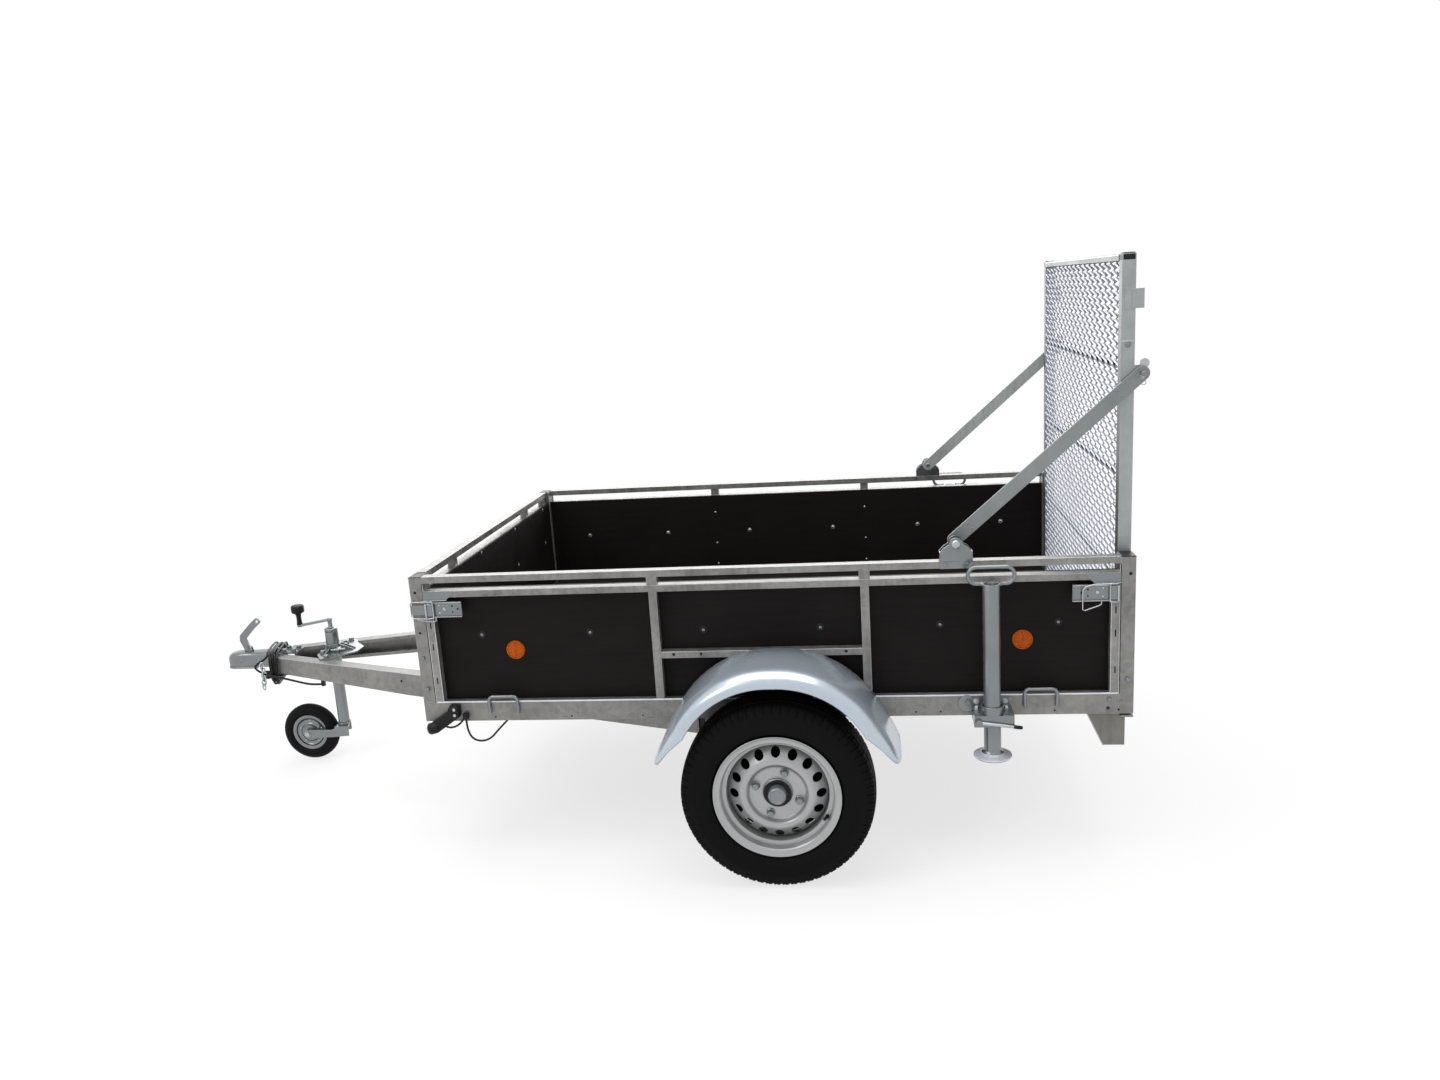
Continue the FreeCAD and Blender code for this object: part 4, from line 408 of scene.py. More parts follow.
class Shader:
    """One material in the making, with its Principled shader."""

    def __init__(self, name: str) -> None:
        """Start the material.

        Args:
            name: the material's name.
        """
        self.material = bpy.data.materials.new(name)
        self.material.use_nodes = True
        self.tree = Tree(self.material.node_tree)
        self.principled = self.material.node_tree.nodes["Principled BSDF"]

    def set(self, **values: float | Colour) -> "Shader":
        """Set constants on the shader's own sockets; underscores stand for spaces.

        Args:
            values: numbers or colours by socket name.

        Returns:
            The shader itself.
        """
        for name, value in values.items():
            socket = self.principled.inputs[name.replace("_", " ")]
            socket.default_value = (*value, 1.0) if isinstance(value, tuple) else value
        return self

    def feed(self, socket: str, source: bpy.types.NodeSocket) -> None:
        """Link a varying colour, value or normal to one of the shader's sockets."""
        self.tree.put(self.principled, socket, source)

    def group(self, tree: bpy.types.NodeTree, inputs: dict) -> bpy.types.Node:
        """Place a shared effect with its own values.

        Args:
            tree: the effect's node group.
            inputs: values or sockets by input name.

        Returns:
            The placed group node.
        """
        return self.tree.node("ShaderNodeGroup", inputs, node_tree=tree)

    def roughness(self, base: float, shift: bpy.types.NodeSocket, share: float = 1.0) -> None:
        """Feed Roughness with a base value and a varying shift."""
        varied = self.tree.math("MULTIPLY", shift, share)
        self.feed("Roughness", self.tree.math("ADD", varied, base))

    def relief(self, height: bpy.types.NodeSocket, depth: float,
            normal: bpy.types.NodeSocket | None = None, strength: float = 0.5) -> None:
        """Feed Normal through a Bump node.

        Args:
            height: the socket that holds the height.
            depth: the relief's depth.
            normal: a normal to start from.
            strength: how much of the relief shows.
        """
        bump = self.tree.node("ShaderNodeBump", {"Height": height, "Distance": depth,
            "Strength": strength})
        if normal is not None:
            self.tree.put(bump, "Normal", normal)
        self.feed("Normal", bump.outputs[0])


@dataclass(frozen=True)
class ZincFinish:
    """A zinc-coated or painted steel surface."""

    name: str
    colour: Colour
    rough: float
    metallic: float = 1.0
    crystal_scale: float = 60.0
    crystals: float = 0.25
    clouds: float = 0.3
    runs: float = 0.15
    dust: float = 0.1
    # edge rounds the edges; the number after it sets a painted highlight along them.
    edge: float = 0.0012
    edge_highlight: float = 0.4
    bump: float = 0.0001
    coat: float = 0.0
    # The next two set painted shade on faces that look down and on faces that look ahead.
    grime: float = 0.62
    front: float = 0.0

    def material(self, effects: Effects) -> bpy.types.Material:
        """Build the material.

        Args:
            effects: the shared node groups.

        Returns:
            The finished material.
        """
        shader = Shader(self.name).set(Metallic=self.metallic, Coat_Weight=self.coat)
        bloom = shader.group(effects.zinc_bloom, {"Colour": self.colour,
            "Crystal Scale": self.crystal_scale, "Crystals": self.crystals,
            "Clouds": self.clouds, "Runs": self.runs})
        tone, normal = bloom.outputs["Colour"], None
        if self.edge:
            edge = shader.group(effects.soft_edge, {"Radius": self.edge})
            # A paler copy of the colour is blended in along the edges: a painted highlight.
            bright = tuple(min(1.0, c * 1.8 + 0.12) for c in self.colour)
            edge_highlight_share = shader.tree.math("MULTIPLY", edge.outputs["Edge"], self.edge_highlight)
            tone = shader.tree.blend(edge_highlight_share, tone, bright)
            normal = edge.outputs["Normal"]
        # The dust group's colour also carries painted shade on faces that look down and ahead.
        dust = shader.group(effects.road_dust, {"Colour": tone, "Amount": self.dust,
            "Dust": (0.23, 0.22, 0.2), "Grime": self.grime, "Front": self.front})
        shader.feed("Base Color", dust.outputs["Colour"])
        shift = shader.tree.math("ADD", bloom.outputs["Gloss Shift"],
            shader.tree.math("MULTIPLY", dust.outputs["Mask"], 0.5))
        shader.roughness(self.rough, shift)
        if self.bump:
            shader.relief(bloom.outputs["Height"], self.bump, normal)
        return shader.material


@dataclass(frozen=True)
class MouldedFinish:
    """Rubber or plastic: dark, grained, a little dusty."""

    name: str
    colour: Colour
    rough: float
    grain: float = 900.0
    uneven: float = 0.2
    dust: float = 0.15
    dust_colour: Colour = (0.2, 0.19, 0.17)
    bump: float = 0.00015
    edge: float = 0.0008
    specular: float = 0.45

    def material(self, effects: Effects) -> bpy.types.Material:
        """Build the material.

        Args:
            effects: the shared node groups.

        Returns:
            The finished material.
        """
        shader = Shader(self.name).set(Specular_IOR_Level=self.specular)
        grain = shader.group(effects.fine_grain, {"Colour": self.colour,
            "Scale": self.grain, "Unevenness": self.uneven})
        edge = shader.group(effects.soft_edge, {"Radius": self.edge})
        # The dust group's colour also carries painted shade on faces that look down.
        dust = shader.group(effects.road_dust, {"Colour": grain.outputs["Colour"],
            "Amount": self.dust, "Dust": self.dust_colour, "Scale": 30.0})
        shader.feed("Base Color", dust.outputs["Colour"])
        shift = shader.tree.math("ADD", grain.outputs["Gloss Shift"],
            shader.tree.math("MULTIPLY", dust.outputs["Mask"], 0.4))
        shader.roughness(self.rough, shift)
        shader.relief(grain.outputs["Height"], self.bump, edge.outputs["Normal"])
        return shader.material


@dataclass(frozen=True)
class FilmPlyFinish:
    """Plywood under a dark resin film: smooth faces with faint paler grain streaks."""

    name: str
    film: Colour
    rough: float
    weave: float = 0.0
    specular: float = 0.1

    def material(self, effects: Effects) -> bpy.types.Material:
        """Build the material.

        Args:
            effects: the shared node groups.

        Returns:
            The finished material.
        """
        shader = Shader(self.name).set(Specular_IOR_Level=self.specular)
        tree = shader.tree
        at = tree.place()
        grain_at = tree.node("ShaderNodeMapping", {"Vector": at, "Scale": (3.0, 60.0, 60.0)})
        grain = tree.noise(grain_at.outputs[0], 1.5, 6.0, 0.6)
        pale = tuple(c * 1.25 + 0.001 for c in self.film)
        tone = tree.blend(tree.span(grain, 0.35, 0.75), self.film, pale)
        # The dust group's colour also carries painted shade on faces that look down.
        dust = shader.group(effects.road_dust, {"Colour": tone, "Amount": 0.035,
            "Dust": (0.12, 0.11, 0.1), "Scale": 9.0})
        shader.feed("Base Color", dust.outputs["Colour"])
        smudge = tree.noise(at, 7.0, 5.0, 0.6)
        shader.roughness(self.rough, tree.math("SUBTRACT", smudge, 0.5), 0.35)
        edge = shader.group(effects.soft_edge, {"Radius": 0.001})
        height = grain
        if self.weave:
            hexagons = tree.node("ShaderNodeTexVoronoi", {"Vector": at, "Scale": self.weave},
                feature="DISTANCE_TO_EDGE")
            height = tree.span(hexagons.outputs["Distance"], 0.0, 0.12)
        shader.relief(height, 0.0003, edge.outputs["Normal"], 0.35)
        return shader.material


@dataclass(frozen=True)
class LensFinish:
    """A coloured lens over a prismatic reflector."""

    name: str
    colour: Colour
    prism: float = 420.0

    def material(self, effects: Effects) -> bpy.types.Material:
        """Build the material.

        Args:
            effects: the shared node groups.

        Returns:
            The finished material.
        """
        shader = Shader(self.name).set(Roughness=0.3, Specular_IOR_Level=0.1,
            Coat_Weight=0.03, Coat_Roughness=0.08)
        tree = shader.tree
        at = tree.place()
        cells = tree.node("ShaderNodeTexVoronoi", {"Vector": at, "Scale": self.prism,
            "Randomness": 0.25})
        facet = tree.node("ShaderNodeSeparateColor", {0: cells.outputs["Color"]}).outputs[0]
        deep = tuple(c * 0.45 for c in self.colour)
        tone = tree.blend(tree.span(facet, 0.0, 1.0), deep, self.colour)
        dust = shader.group(effects.road_dust, {"Colour": tone, "Amount": 0.02, "Grime": 0.0})
        shader.feed("Base Color", dust.outputs["Colour"])
        shader.relief(cells.outputs["Distance"], 0.0004, strength=0.6)
        return shader.material


class Paint(Enum):
    """Every finish on the trailer."""

    # A darker zinc for the lamp beam under the chassis: painted shade.
    LAMP_BEAM = ZincFinish("lamp_beam_zinc", (0.185, 0.18, 0.165), 0.46, metallic=0.5,
        crystals=0.1, clouds=0.5, dust=0.15)
    GALVANISED = ZincFinish("galvanised_steel", (0.232, 0.23, 0.22), 0.42, metallic=0.55,
        edge=0.0016, edge_highlight=0.7)
    CHANNEL = ZincFinish("galvanised_channel", (0.245, 0.241, 0.231), 0.38, metallic=0.55,
        runs=0.22, clouds=0.4, edge=0.0014, edge_highlight=0.7)
    BRIGHT = ZincFinish("bright_zinc", (0.225, 0.242, 0.25), 0.22, metallic=0.7,
        crystals=0.03, clouds=0.16, runs=0.04, dust=0.03, crystal_scale=160.0, bump=0.0, edge=0.0)
    CRANK = ZincFinish("crank_zinc", (0.27, 0.29, 0.295), 0.3, metallic=0.8, crystals=0.03,
        clouds=0.2, bump=0.0, edge=0.0)
    STAY = ZincFinish("stay_zinc", (0.24, 0.26, 0.26), 0.44, metallic=0.45, crystals=0.04,
        runs=0.04, dust=0.04, bump=0.00003)
    # A paler copy of the stay zinc for the right-hand stay: painted light that lifts its darker reflections.
    STAY_PALE = ZincFinish("stay_zinc_pale", (0.42, 0.45, 0.43), 0.44, metallic=0.45,
        crystals=0.04, clouds=0.2, dust=0.05)
    RAMP = ZincFinish("ramp_zinc", (0.35, 0.375, 0.38), 0.44, metallic=0.6, front=0.62,
        crystals=0.06, runs=0.05, dust=0.04, bump=0.00003)
    # Strand zinc in three copies: a pale one, also used elsewhere as a painted highlight, the strand's mid
    # tone, and a darker one that paints shade on falling strands.
    STRAND = ZincFinish("strand_zinc", (0.66, 0.68, 0.74), 0.36, metallic=0.3, crystals=0.06,
        runs=0.0, clouds=0.15, dust=0.0, edge=0.0, bump=0.0, grime=0.35)
    STRAND_MID = ZincFinish("strand_zinc_mid", (0.2, 0.205, 0.25), 0.42, metallic=0.2,
        crystals=0.06, runs=0.0, clouds=0.15, dust=0.0, edge=0.0, bump=0.0, grime=0.35)
    STRAND_DIM = ZincFinish("strand_zinc_dim", (0.19, 0.19, 0.235), 0.42, metallic=0.2,
        crystals=0.06, runs=0.0, clouds=0.15, dust=0.0, edge=0.0, bump=0.0, grime=0.35)
    GUARD = ZincFinish("guard_sheet", (0.5, 0.565, 0.63), 0.24, metallic=0.6, crystals=0.0,
        clouds=0.05, runs=0.03, crystal_scale=90.0, dust=0.03, edge=0.0, bump=0.0)
    WHEEL = ZincFinish("wheel_silver", (0.4, 0.405, 0.41), 0.32, metallic=0.5,
        crystals=0.02, crystal_scale=300.0, clouds=0.12, runs=0.0, dust=0.1, edge=0.0, coat=0.2,
        bump=0.0)
    HUB = ZincFinish("hub_steel", (0.36, 0.37, 0.37), 0.3, metallic=0.7, crystals=0.03,
        clouds=0.25, edge=0.0, bump=0.0)
    WIRE = ZincFinish("zinc_wire", (0.5, 0.52, 0.53), 0.24, metallic=0.75, crystals=0.02,
        edge=0.0, bump=0.0)
    SHADE = MouldedFinish("deep_shade", (0.002, 0.002, 0.002), 0.8, dust=0.0, specular=0.05)
    RUBBER = MouldedFinish("tyre_rubber", (0.003, 0.003, 0.0031), 0.62, grain=500.0,
        uneven=0.12, dust=0.08, dust_colour=(0.024, 0.023, 0.021), specular=0.08)
    CASTER = MouldedFinish("caster_rubber", (0.0036, 0.0036, 0.0038), 0.55, dust=0.08,
        dust_colour=(0.03, 0.029, 0.027), specular=0.1)
    PLASTIC = MouldedFinish("black_plastic", (0.006, 0.006, 0.0064), 0.42, dust=0.06, specular=0.22)
    CABLE = MouldedFinish("cable_sheath", (0.005, 0.005, 0.0055), 0.38, grain=300.0,
        dust=0.0, specular=0.25)
    AMBER = LensFinish("amber_lens", (0.6, 0.105, 0.002))
    RED = LensFinish("red_lens", (0.42, 0.012, 0.01), 260.0)
    CLEAR = LensFinish("clear_lens", (0.55, 0.57, 0.6), 300.0)
    PANEL = FilmPlyFinish("black_film_ply", (0.0062, 0.0048, 0.0046), 0.5)
    FLOOR = FilmPlyFinish("floor_ply", (0.009, 0.0072, 0.0066), 0.55, weave=170.0)


class PaintShop:
    """Builds each finish's material once, when it is first wanted."""

    def __init__(self) -> None:
        """Build the shared effects."""
        self.effects = Effects()
        self.made: dict[str, bpy.types.Material] = {}

    def __getitem__(self, paint: Paint) -> bpy.types.Material:
        """The material of a finish.

        Args:
            paint: the finish.

        Returns:
            Its material.
        """
        if paint.name not in self.made:
            self.made[paint.name] = paint.value.material(self.effects)
        return self.made[paint.name]


# ---------------------------------------------------------------- mesh making


def facing(origin: Sequence[float], along: Sequence[float], turn: float = 0.0) -> Matrix:
    """A frame whose Z points along a direction.

    Args:
        origin: where the frame stands.
        along: the direction of its Z.
        turn: a turn about that direction, in radians.

    Returns:
        The frame's matrix.
    """
    way = Vector(along).to_track_quat("Z", "Y").to_matrix().to_4x4()
    return Matrix.Translation(Vector(origin)) @ way @ Matrix.Rotation(turn, 4, "Z")


class Forge:
    """One mesh in the making: plates, bars, turned and swept forms in a single piece."""

    def __init__(self, name: str, shop: PaintShop, paint: Paint) -> None:
        """Start an empty piece.

        Args:
            name: the piece's name.
            shop: where materials come from.
            paint: the finish of what is added first.
        """
        self.name = name
        self.shop = shop
        self.paints: list[Paint] = [paint]
        self.current = 0
        self.mesh = bmesh.new()

    def use(self, paint: Paint) -> "Forge":
        """Give what is added next another finish.

        Args:
            paint: the finish.

        Returns:
            The piece itself.
        """
        if paint not in self.paints:
            self.paints.append(paint)
        self.current = self.paints.index(paint)
        return self

    def _face(self, points: Sequence[bmesh.types.BMVert]) -> None:
        """Add one face with the current finish, if its corners differ.

        Args:
            points: its corners.
        """
        if len(set(points)) < 3:
            return
        try:
            made = self.mesh.faces.new(points)
        except ValueError:
            return
        made.material_index = self.current

    def rings(self, rings: Sequence[Sequence[Vector]], close_ring: bool = True,
            close_row: bool = False, caps: bool = True, tint: Callable[[int, int],
            Paint] | None = None) -> None:
        """Skin a row of point rings.

        Args:
            rings: rings with the same number of points.
            close_ring: whether each ring joins its own end.
            close_row: whether the last ring joins the first.
            caps: whether the first and last rings are filled.
            tint: picks the finish of a face by its step along the row and round the ring.
        """
        made = [[self.mesh.verts.new(p) for p in ring] for ring in rings]
        count = len(made[0])
        for row in range(len(made) if close_row else len(made) - 1):
            here, there = made[row], made[(row + 1) % len(made)]
            for k in range(count if close_ring else count - 1):
                n = (k + 1) % count
                if tint:
                    self.use(tint(row, k))
                self._face((here[k], here[n], there[n], there[k]))
        if caps and close_ring and not close_row:
            self._face(list(reversed(made[0])))
            self._face(made[-1])

    def plate(self, outline: Sequence[Flat], frame: Matrix, depth: float) -> None:
        """A plate from a flat outline in a frame's XY, raised along its Z.

        Args:
            outline: its corners in the frame's XY.
            frame: the frame.
            depth: its thickness.
        """
        low = [frame @ vec(u, v, 0) for u, v in outline]
        high = [frame @ vec(u, v, depth) for u, v in outline]
        self.rings([low, high])

    def block(self, low: Sequence[float], high: Sequence[float],
            frame: Matrix | None = None) -> None:
        """A block between any two opposite corners, in a frame if one is given.

        Args:
            low: one corner.
            high: the opposite corner.
            frame: the frame that the corners are in.
        """
        where = frame or Matrix.Identity(4)
        low, high = zip(*(sorted(pair) for pair in zip(low, high)))
        corners = [(low[0], low[1]), (high[0], low[1]), (high[0], high[1]), (low[0], high[1])]
        self.plate(corners, where @ moved(0, 0, low[2]), high[2] - low[2])

    def turned(self, profile: Sequence[Flat], frame: Matrix, steps: int = 48,
            closed: bool = False) -> None:
        """A turned form about a frame's Z.

        Args:
            profile: (radius, height) points.
            frame: the frame.
            steps: how many steps go round.
            closed: whether the profile closes on itself.
        """
        count = len(profile)
        made: list[list[bmesh.types.BMVert]] = []
        for radius, height in profile:
            if abs(radius) < 1e-7:
                made.append([self.mesh.verts.new(frame @ vec(0, 0, height))] * steps)
                continue
            ring = []
            for a in around(steps):
                spot = vec(radius * cos(a), radius * sin(a), height)
                ring.append(self.mesh.verts.new(frame @ spot))
            made.append(ring)
        for row in range(count if closed else count - 1):
            here, there = made[row], made[(row + 1) % count]
            for k in range(steps):
                n = (k + 1) % steps
                corners = []
                for v in (here[k], here[n], there[n], there[k]):
                    if v not in corners:
                        corners.append(v)
                self._face(corners)

    def swept(self, path: Sequence[Sequence[float]], radius: float | Callable[[float], float],
            sides: int = 12, closed: bool = False, squash: float = 1.0) -> None:
        """A round bar along a path.

        Args:
            path: its points.
            radius: the bar's radius, or a function of the share of the way along.
            sides: how many sides the bar has.
            closed: whether the path joins its own end.
            squash: the section's second width over its first.
        """
        points = [Vector(p) for p in path]
        count = len(points)
        lead = None
        rings = []
        for k, here in enumerate(points):
            before = points[(k - 1) % count] if closed or k else here
            after = points[(k + 1) % count] if closed or k < count - 1 else here
            along = (after - before).normalized()
            if lead is None:
                lead = along.orthogonal().normalized()
            lead = (lead - along * lead.dot(along)).normalized()
            cross = along.cross(lead)
            share = k / max(1, count - 1)
            r = radius(share) if callable(radius) else radius
            rings.append([here + (lead * cos(a) + cross * sin(a) * squash) * r for a
                in around(sides)])
        self.rings(rings, close_row=closed)

    def bolt(self, frame: Matrix, across: float, height: float, washer: float = 0.0,
            shank: float = 0.0) -> None:
        """A hexagon head on a frame's Z, with a washer under it and a shank above if wanted.

        Args:
            frame: where it stands.
            across: the width across its flats.
            height: the head's height.
            washer: the washer's radius, or 0 for none.
            shank: how far the shank stands out.
        """
        lift = 0.0
        if washer:
            self.turned([(0, 0), (washer, 0), (washer, across * 0.12), (0, across * 0.12)], frame,
                24)
            lift = across * 0.12
        r = across / sqrt(3)
        hexes = []
        for share, rise in ((1.0, 0.0), (1.0, height * 0.82), (0.86, height), (0.3, height)):
            hexes.append([frame @ vec(r * share * cos(a), r * share * sin(a), lift + rise) for a
                in around(6)])
        self.rings(hexes)
        if shank:
            self.turned([(0, lift + height), (across * 0.28, lift + height),
                (across * 0.28, lift + height + shank * 0.85), (across * 0.22,
                lift + height + shank), (0, lift + height + shank)], frame, 16)

    def dome(self, frame: Matrix, radius: float, height: float, skirt: float = 0.0) -> None:
        """A round screw or rivet head on a frame's Z, with a flat skirt round it if wanted.

        Args:
            frame: where it stands.
            radius: the head's radius.
            height: the head's height.
            skirt: the skirt's radius, or 0 for none.
        """
        profile = [(0.0, height)]
        for a in arc(0, 90, 6)[1:]:
            profile.append((radius * sin(a), height * cos(a)))
        if skirt:
            profile = [(r, h + 0.0006) for r, h in profile]
            profile += [(radius, 0.0006), (skirt, 0.0004), (skirt, 0.0)]
        self.turned(profile, frame, 24)

    def finish(self, body: str, bevel: float = 0.0, smooth: float = 32.0,
            replaces: Iterable[str] = (), segments: int = 2) -> bpy.types.Object:
        """Turn the piece into an object on a body.

        Args:
            body: the frame's body that it rides on.
            bevel: width of the bevel along its sharp edges.
            smooth: edges that turn less than this many degrees shade smooth.
            replaces: the CAD nodes that it stands for.
            segments: the bevel's steps.

        Returns:
            The new object.
        """
        bmesh.ops.remove_doubles(self.mesh, verts=self.mesh.verts, dist=1e-6)
        bmesh.ops.recalc_face_normals(self.mesh, faces=self.mesh.faces)
        limit = radians(smooth)
        for edge in self.mesh.edges:
            edge.smooth = edge.calc_face_angle(pi) < limit
        for face in self.mesh.faces:
            face.smooth = True
        data = bpy.data.meshes.new(self.name)
        self.mesh.to_mesh(data)
        self.mesh.free()
        for paint in self.paints:
            data.materials.append(self.shop[paint])
        made = bpy.data.objects.new(self.name, data)
        bpy.context.scene.collection.objects.link(made)
        if bevel:
            soft = made.modifiers.new("bevel", "BEVEL")
            soft.width = bevel
            soft.segments = segments
            soft.limit_method = "ANGLE"
            soft.angle_limit = limit
            soft.use_clamp_overlap = True
            soft.harden_normals = True
        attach(made, body)
        if replaces:
            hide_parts(*replaces)
        LOG.info("%s: %d faces on %s", self.name, len(data.polygons), body)
        return made


def carve(target: bpy.types.Object, cutters: Sequence[Forge]) -> None:
    """Cut closed forms out of a piece, for good.

    Args:
        target: the piece that is cut.
        cutters: the forms taken away.
    """
    for cutter in cutters:
        data = bpy.data.meshes.new("cutter")
        bmesh.ops.recalc_face_normals(cutter.mesh, faces=cutter.mesh.faces)
        cutter.mesh.to_mesh(data)
        cutter.mesh.free()
        tool = bpy.data.objects.new("cutter", data)
        bpy.context.scene.collection.objects.link(tool)
        step = target.modifiers.new("carve", "BOOLEAN")
        step.object = tool
        step.operation = "DIFFERENCE"
        step.solver = "EXACT"
        bpy.context.view_layer.update()
        graph = bpy.context.evaluated_depsgraph_get()
        cut = bpy.data.meshes.new_from_object(target.evaluated_get(graph))
        target.modifiers.clear()
        old = target.data
        target.data = cut
        bpy.data.objects.remove(tool)
        bpy.data.meshes.remove(old)


def dress(shop: PaintShop, paints: dict[str, Paint], frame: dict) -> None:
    """Give carried-over CAD nodes their materials.

    Args:
        shop: where materials come from.
        paints: a finish for each node's name.
        frame: the loaded frame.
    """
    for name, paint in paints.items():
        for place in frame["nodes"][name].material_slots:
            place.material = shop[paint]
        LOG.info("%s: %s", name, paint.name.lower())


# ---------------------------------------------------------------- studio


@dataclass(frozen=True)
class Lamp:
    """One soft studio lamp."""

    name: str
    at: Point
    aim: Point
    size: Flat
    glow: float

    def place(self) -> None:
        """Hang the lamp; glow is the radiance of its face."""
        data = bpy.data.lights.new(self.name, "AREA")
        data.shape = "RECTANGLE"
        data.size, data.size_y = self.size
        data.energy = self.glow * pi * self.size[0] * self.size[1]
        lamp = bpy.data.objects.new(self.name, data)
        lamp.matrix_world = facing(self.at, Vector(self.at) - Vector(self.aim))
        bpy.context.scene.collection.objects.link(lamp)


@dataclass(frozen=True)
class Studio:
    """Pale floor, white surround, soft lamps and the camera."""

    eye: Point = (0.8607, -3.7656, 1.671)
    yaw: float = -0.1411
    dip: float = 0.2214
    roll: float = 0.0648
    lens: float = 27.49
    floor_reach: float = 40.0
    lamps: tuple[Lamp, ...] = (Lamp("back_softbox", (0.2, 5.6, 2.9), (0.2, 0.0, 0.7), (9.0, 4.2),
        2.3), Lamp("key_softbox", (-3.4, -3.6, 4.6), (0.0, 0.0, 0.6), (2.6, 2.6), 3.4),
        Lamp("top_softbox", (0.2, -0.4, 5.0), (0.2, -0.2, 0.5), (5.0, 3.4), 3.4),)

    def build(self) -> None:
        """Set the whole studio up."""
        self._camera()
        self._world()
        self._floor()
        for lamp in self.lamps:
            lamp.place()
        bpy.context.scene.view_settings.view_transform = "Standard"

    def _camera(self) -> None:
        """Place the camera from its eye point, yaw, dip and roll."""
        ahead = vec(sin(self.yaw) * cos(self.dip), cos(self.yaw) * cos(self.dip), -sin(self.dip))
        level = vec(cos(self.yaw), -sin(self.yaw), 0)
        down = ahead.cross(level)
        right = level * cos(self.roll) + down * sin(self.roll)
        fall = down * cos(self.roll) - level * sin(self.roll)
        turn = Matrix((right, -fall, -ahead)).transposed().to_4x4()
        data = bpy.data.cameras.new("camera")
        data.lens = self.lens
        data.sensor_width = 36.0
        camera = bpy.data.objects.new("camera", data)
        camera.matrix_world = Matrix.Translation(Vector(self.eye)) @ turn
        bpy.context.scene.collection.objects.link(camera)
        bpy.context.scene.camera = camera

    def _world(self) -> None:
        """A white surround for the camera and reflections, dimmer as light on the object."""
        world = bpy.data.worlds.new("surround")
        world.use_nodes = True
        tree = Tree(world.node_tree)
        ray = tree.node("ShaderNodeLightPath").outputs
        seen = tree.math("MAXIMUM", ray["Is Camera Ray"], tree.math("MAXIMUM",
            ray["Is Glossy Ray"], ray["Is Transmission Ray"]))
        background = world.node_tree.nodes["Background"]
        strength = tree.span(seen, 0.0, 1.0, 0.62, 1.0)
        background.inputs["Color"].default_value = (1.0, 1.0, 1.0, 1.0)
        world.node_tree.links.new(strength, background.inputs["Strength"])
        bpy.context.scene.world = world

    def _floor(self) -> None:
        """A pale floor that keeps the shadow and fades into the white surround far off."""
        material = bpy.data.materials.new("studio_floor")
        material.use_nodes = True
        tree = Tree(material.node_tree)
        principled = material.node_tree.nodes["Principled BSDF"]
        principled.inputs["Base Color"].default_value = (0.94, 0.94, 0.935, 1.0)
        principled.inputs["Roughness"].default_value = 0.85
        principled.inputs["Specular IOR Level"].default_value = 0.1
        white = tree.node("ShaderNodeEmission", {"Color": (1.0, 1.0, 1.0, 1.0)})
        at = tree.place()
        far = tree.node("ShaderNodeVectorMath", {0: at}, operation="LENGTH").outputs["Value"]
        ray = tree.node("ShaderNodeLightPath").outputs
        seen = tree.math("MAXIMUM", ray["Is Camera Ray"], ray["Is Glossy Ray"])
        fade = tree.math("MULTIPLY", tree.span(far, 1.2, 3.2, 0.72, 1.0), seen)
        mixed = tree.node("ShaderNodeMixShader", {0: fade, 1: principled.outputs[0],
            2: white.outputs[0]})
        out = material.node_tree.nodes["Material Output"]
        material.node_tree.links.new(mixed.outputs[0], out.inputs["Surface"])
        mesh = bmesh.new()
        bmesh.ops.create_circle(mesh, cap_ends=True, segments=64, radius=self.floor_reach)
        data = bpy.data.meshes.new("studio_floor")
        mesh.to_mesh(data)
        mesh.free()
        data.materials.append(material)
        floor = bpy.data.objects.new("studio_floor", data)
        bpy.context.scene.collection.objects.link(floor)


# ---------------------------------------------------------------- cables


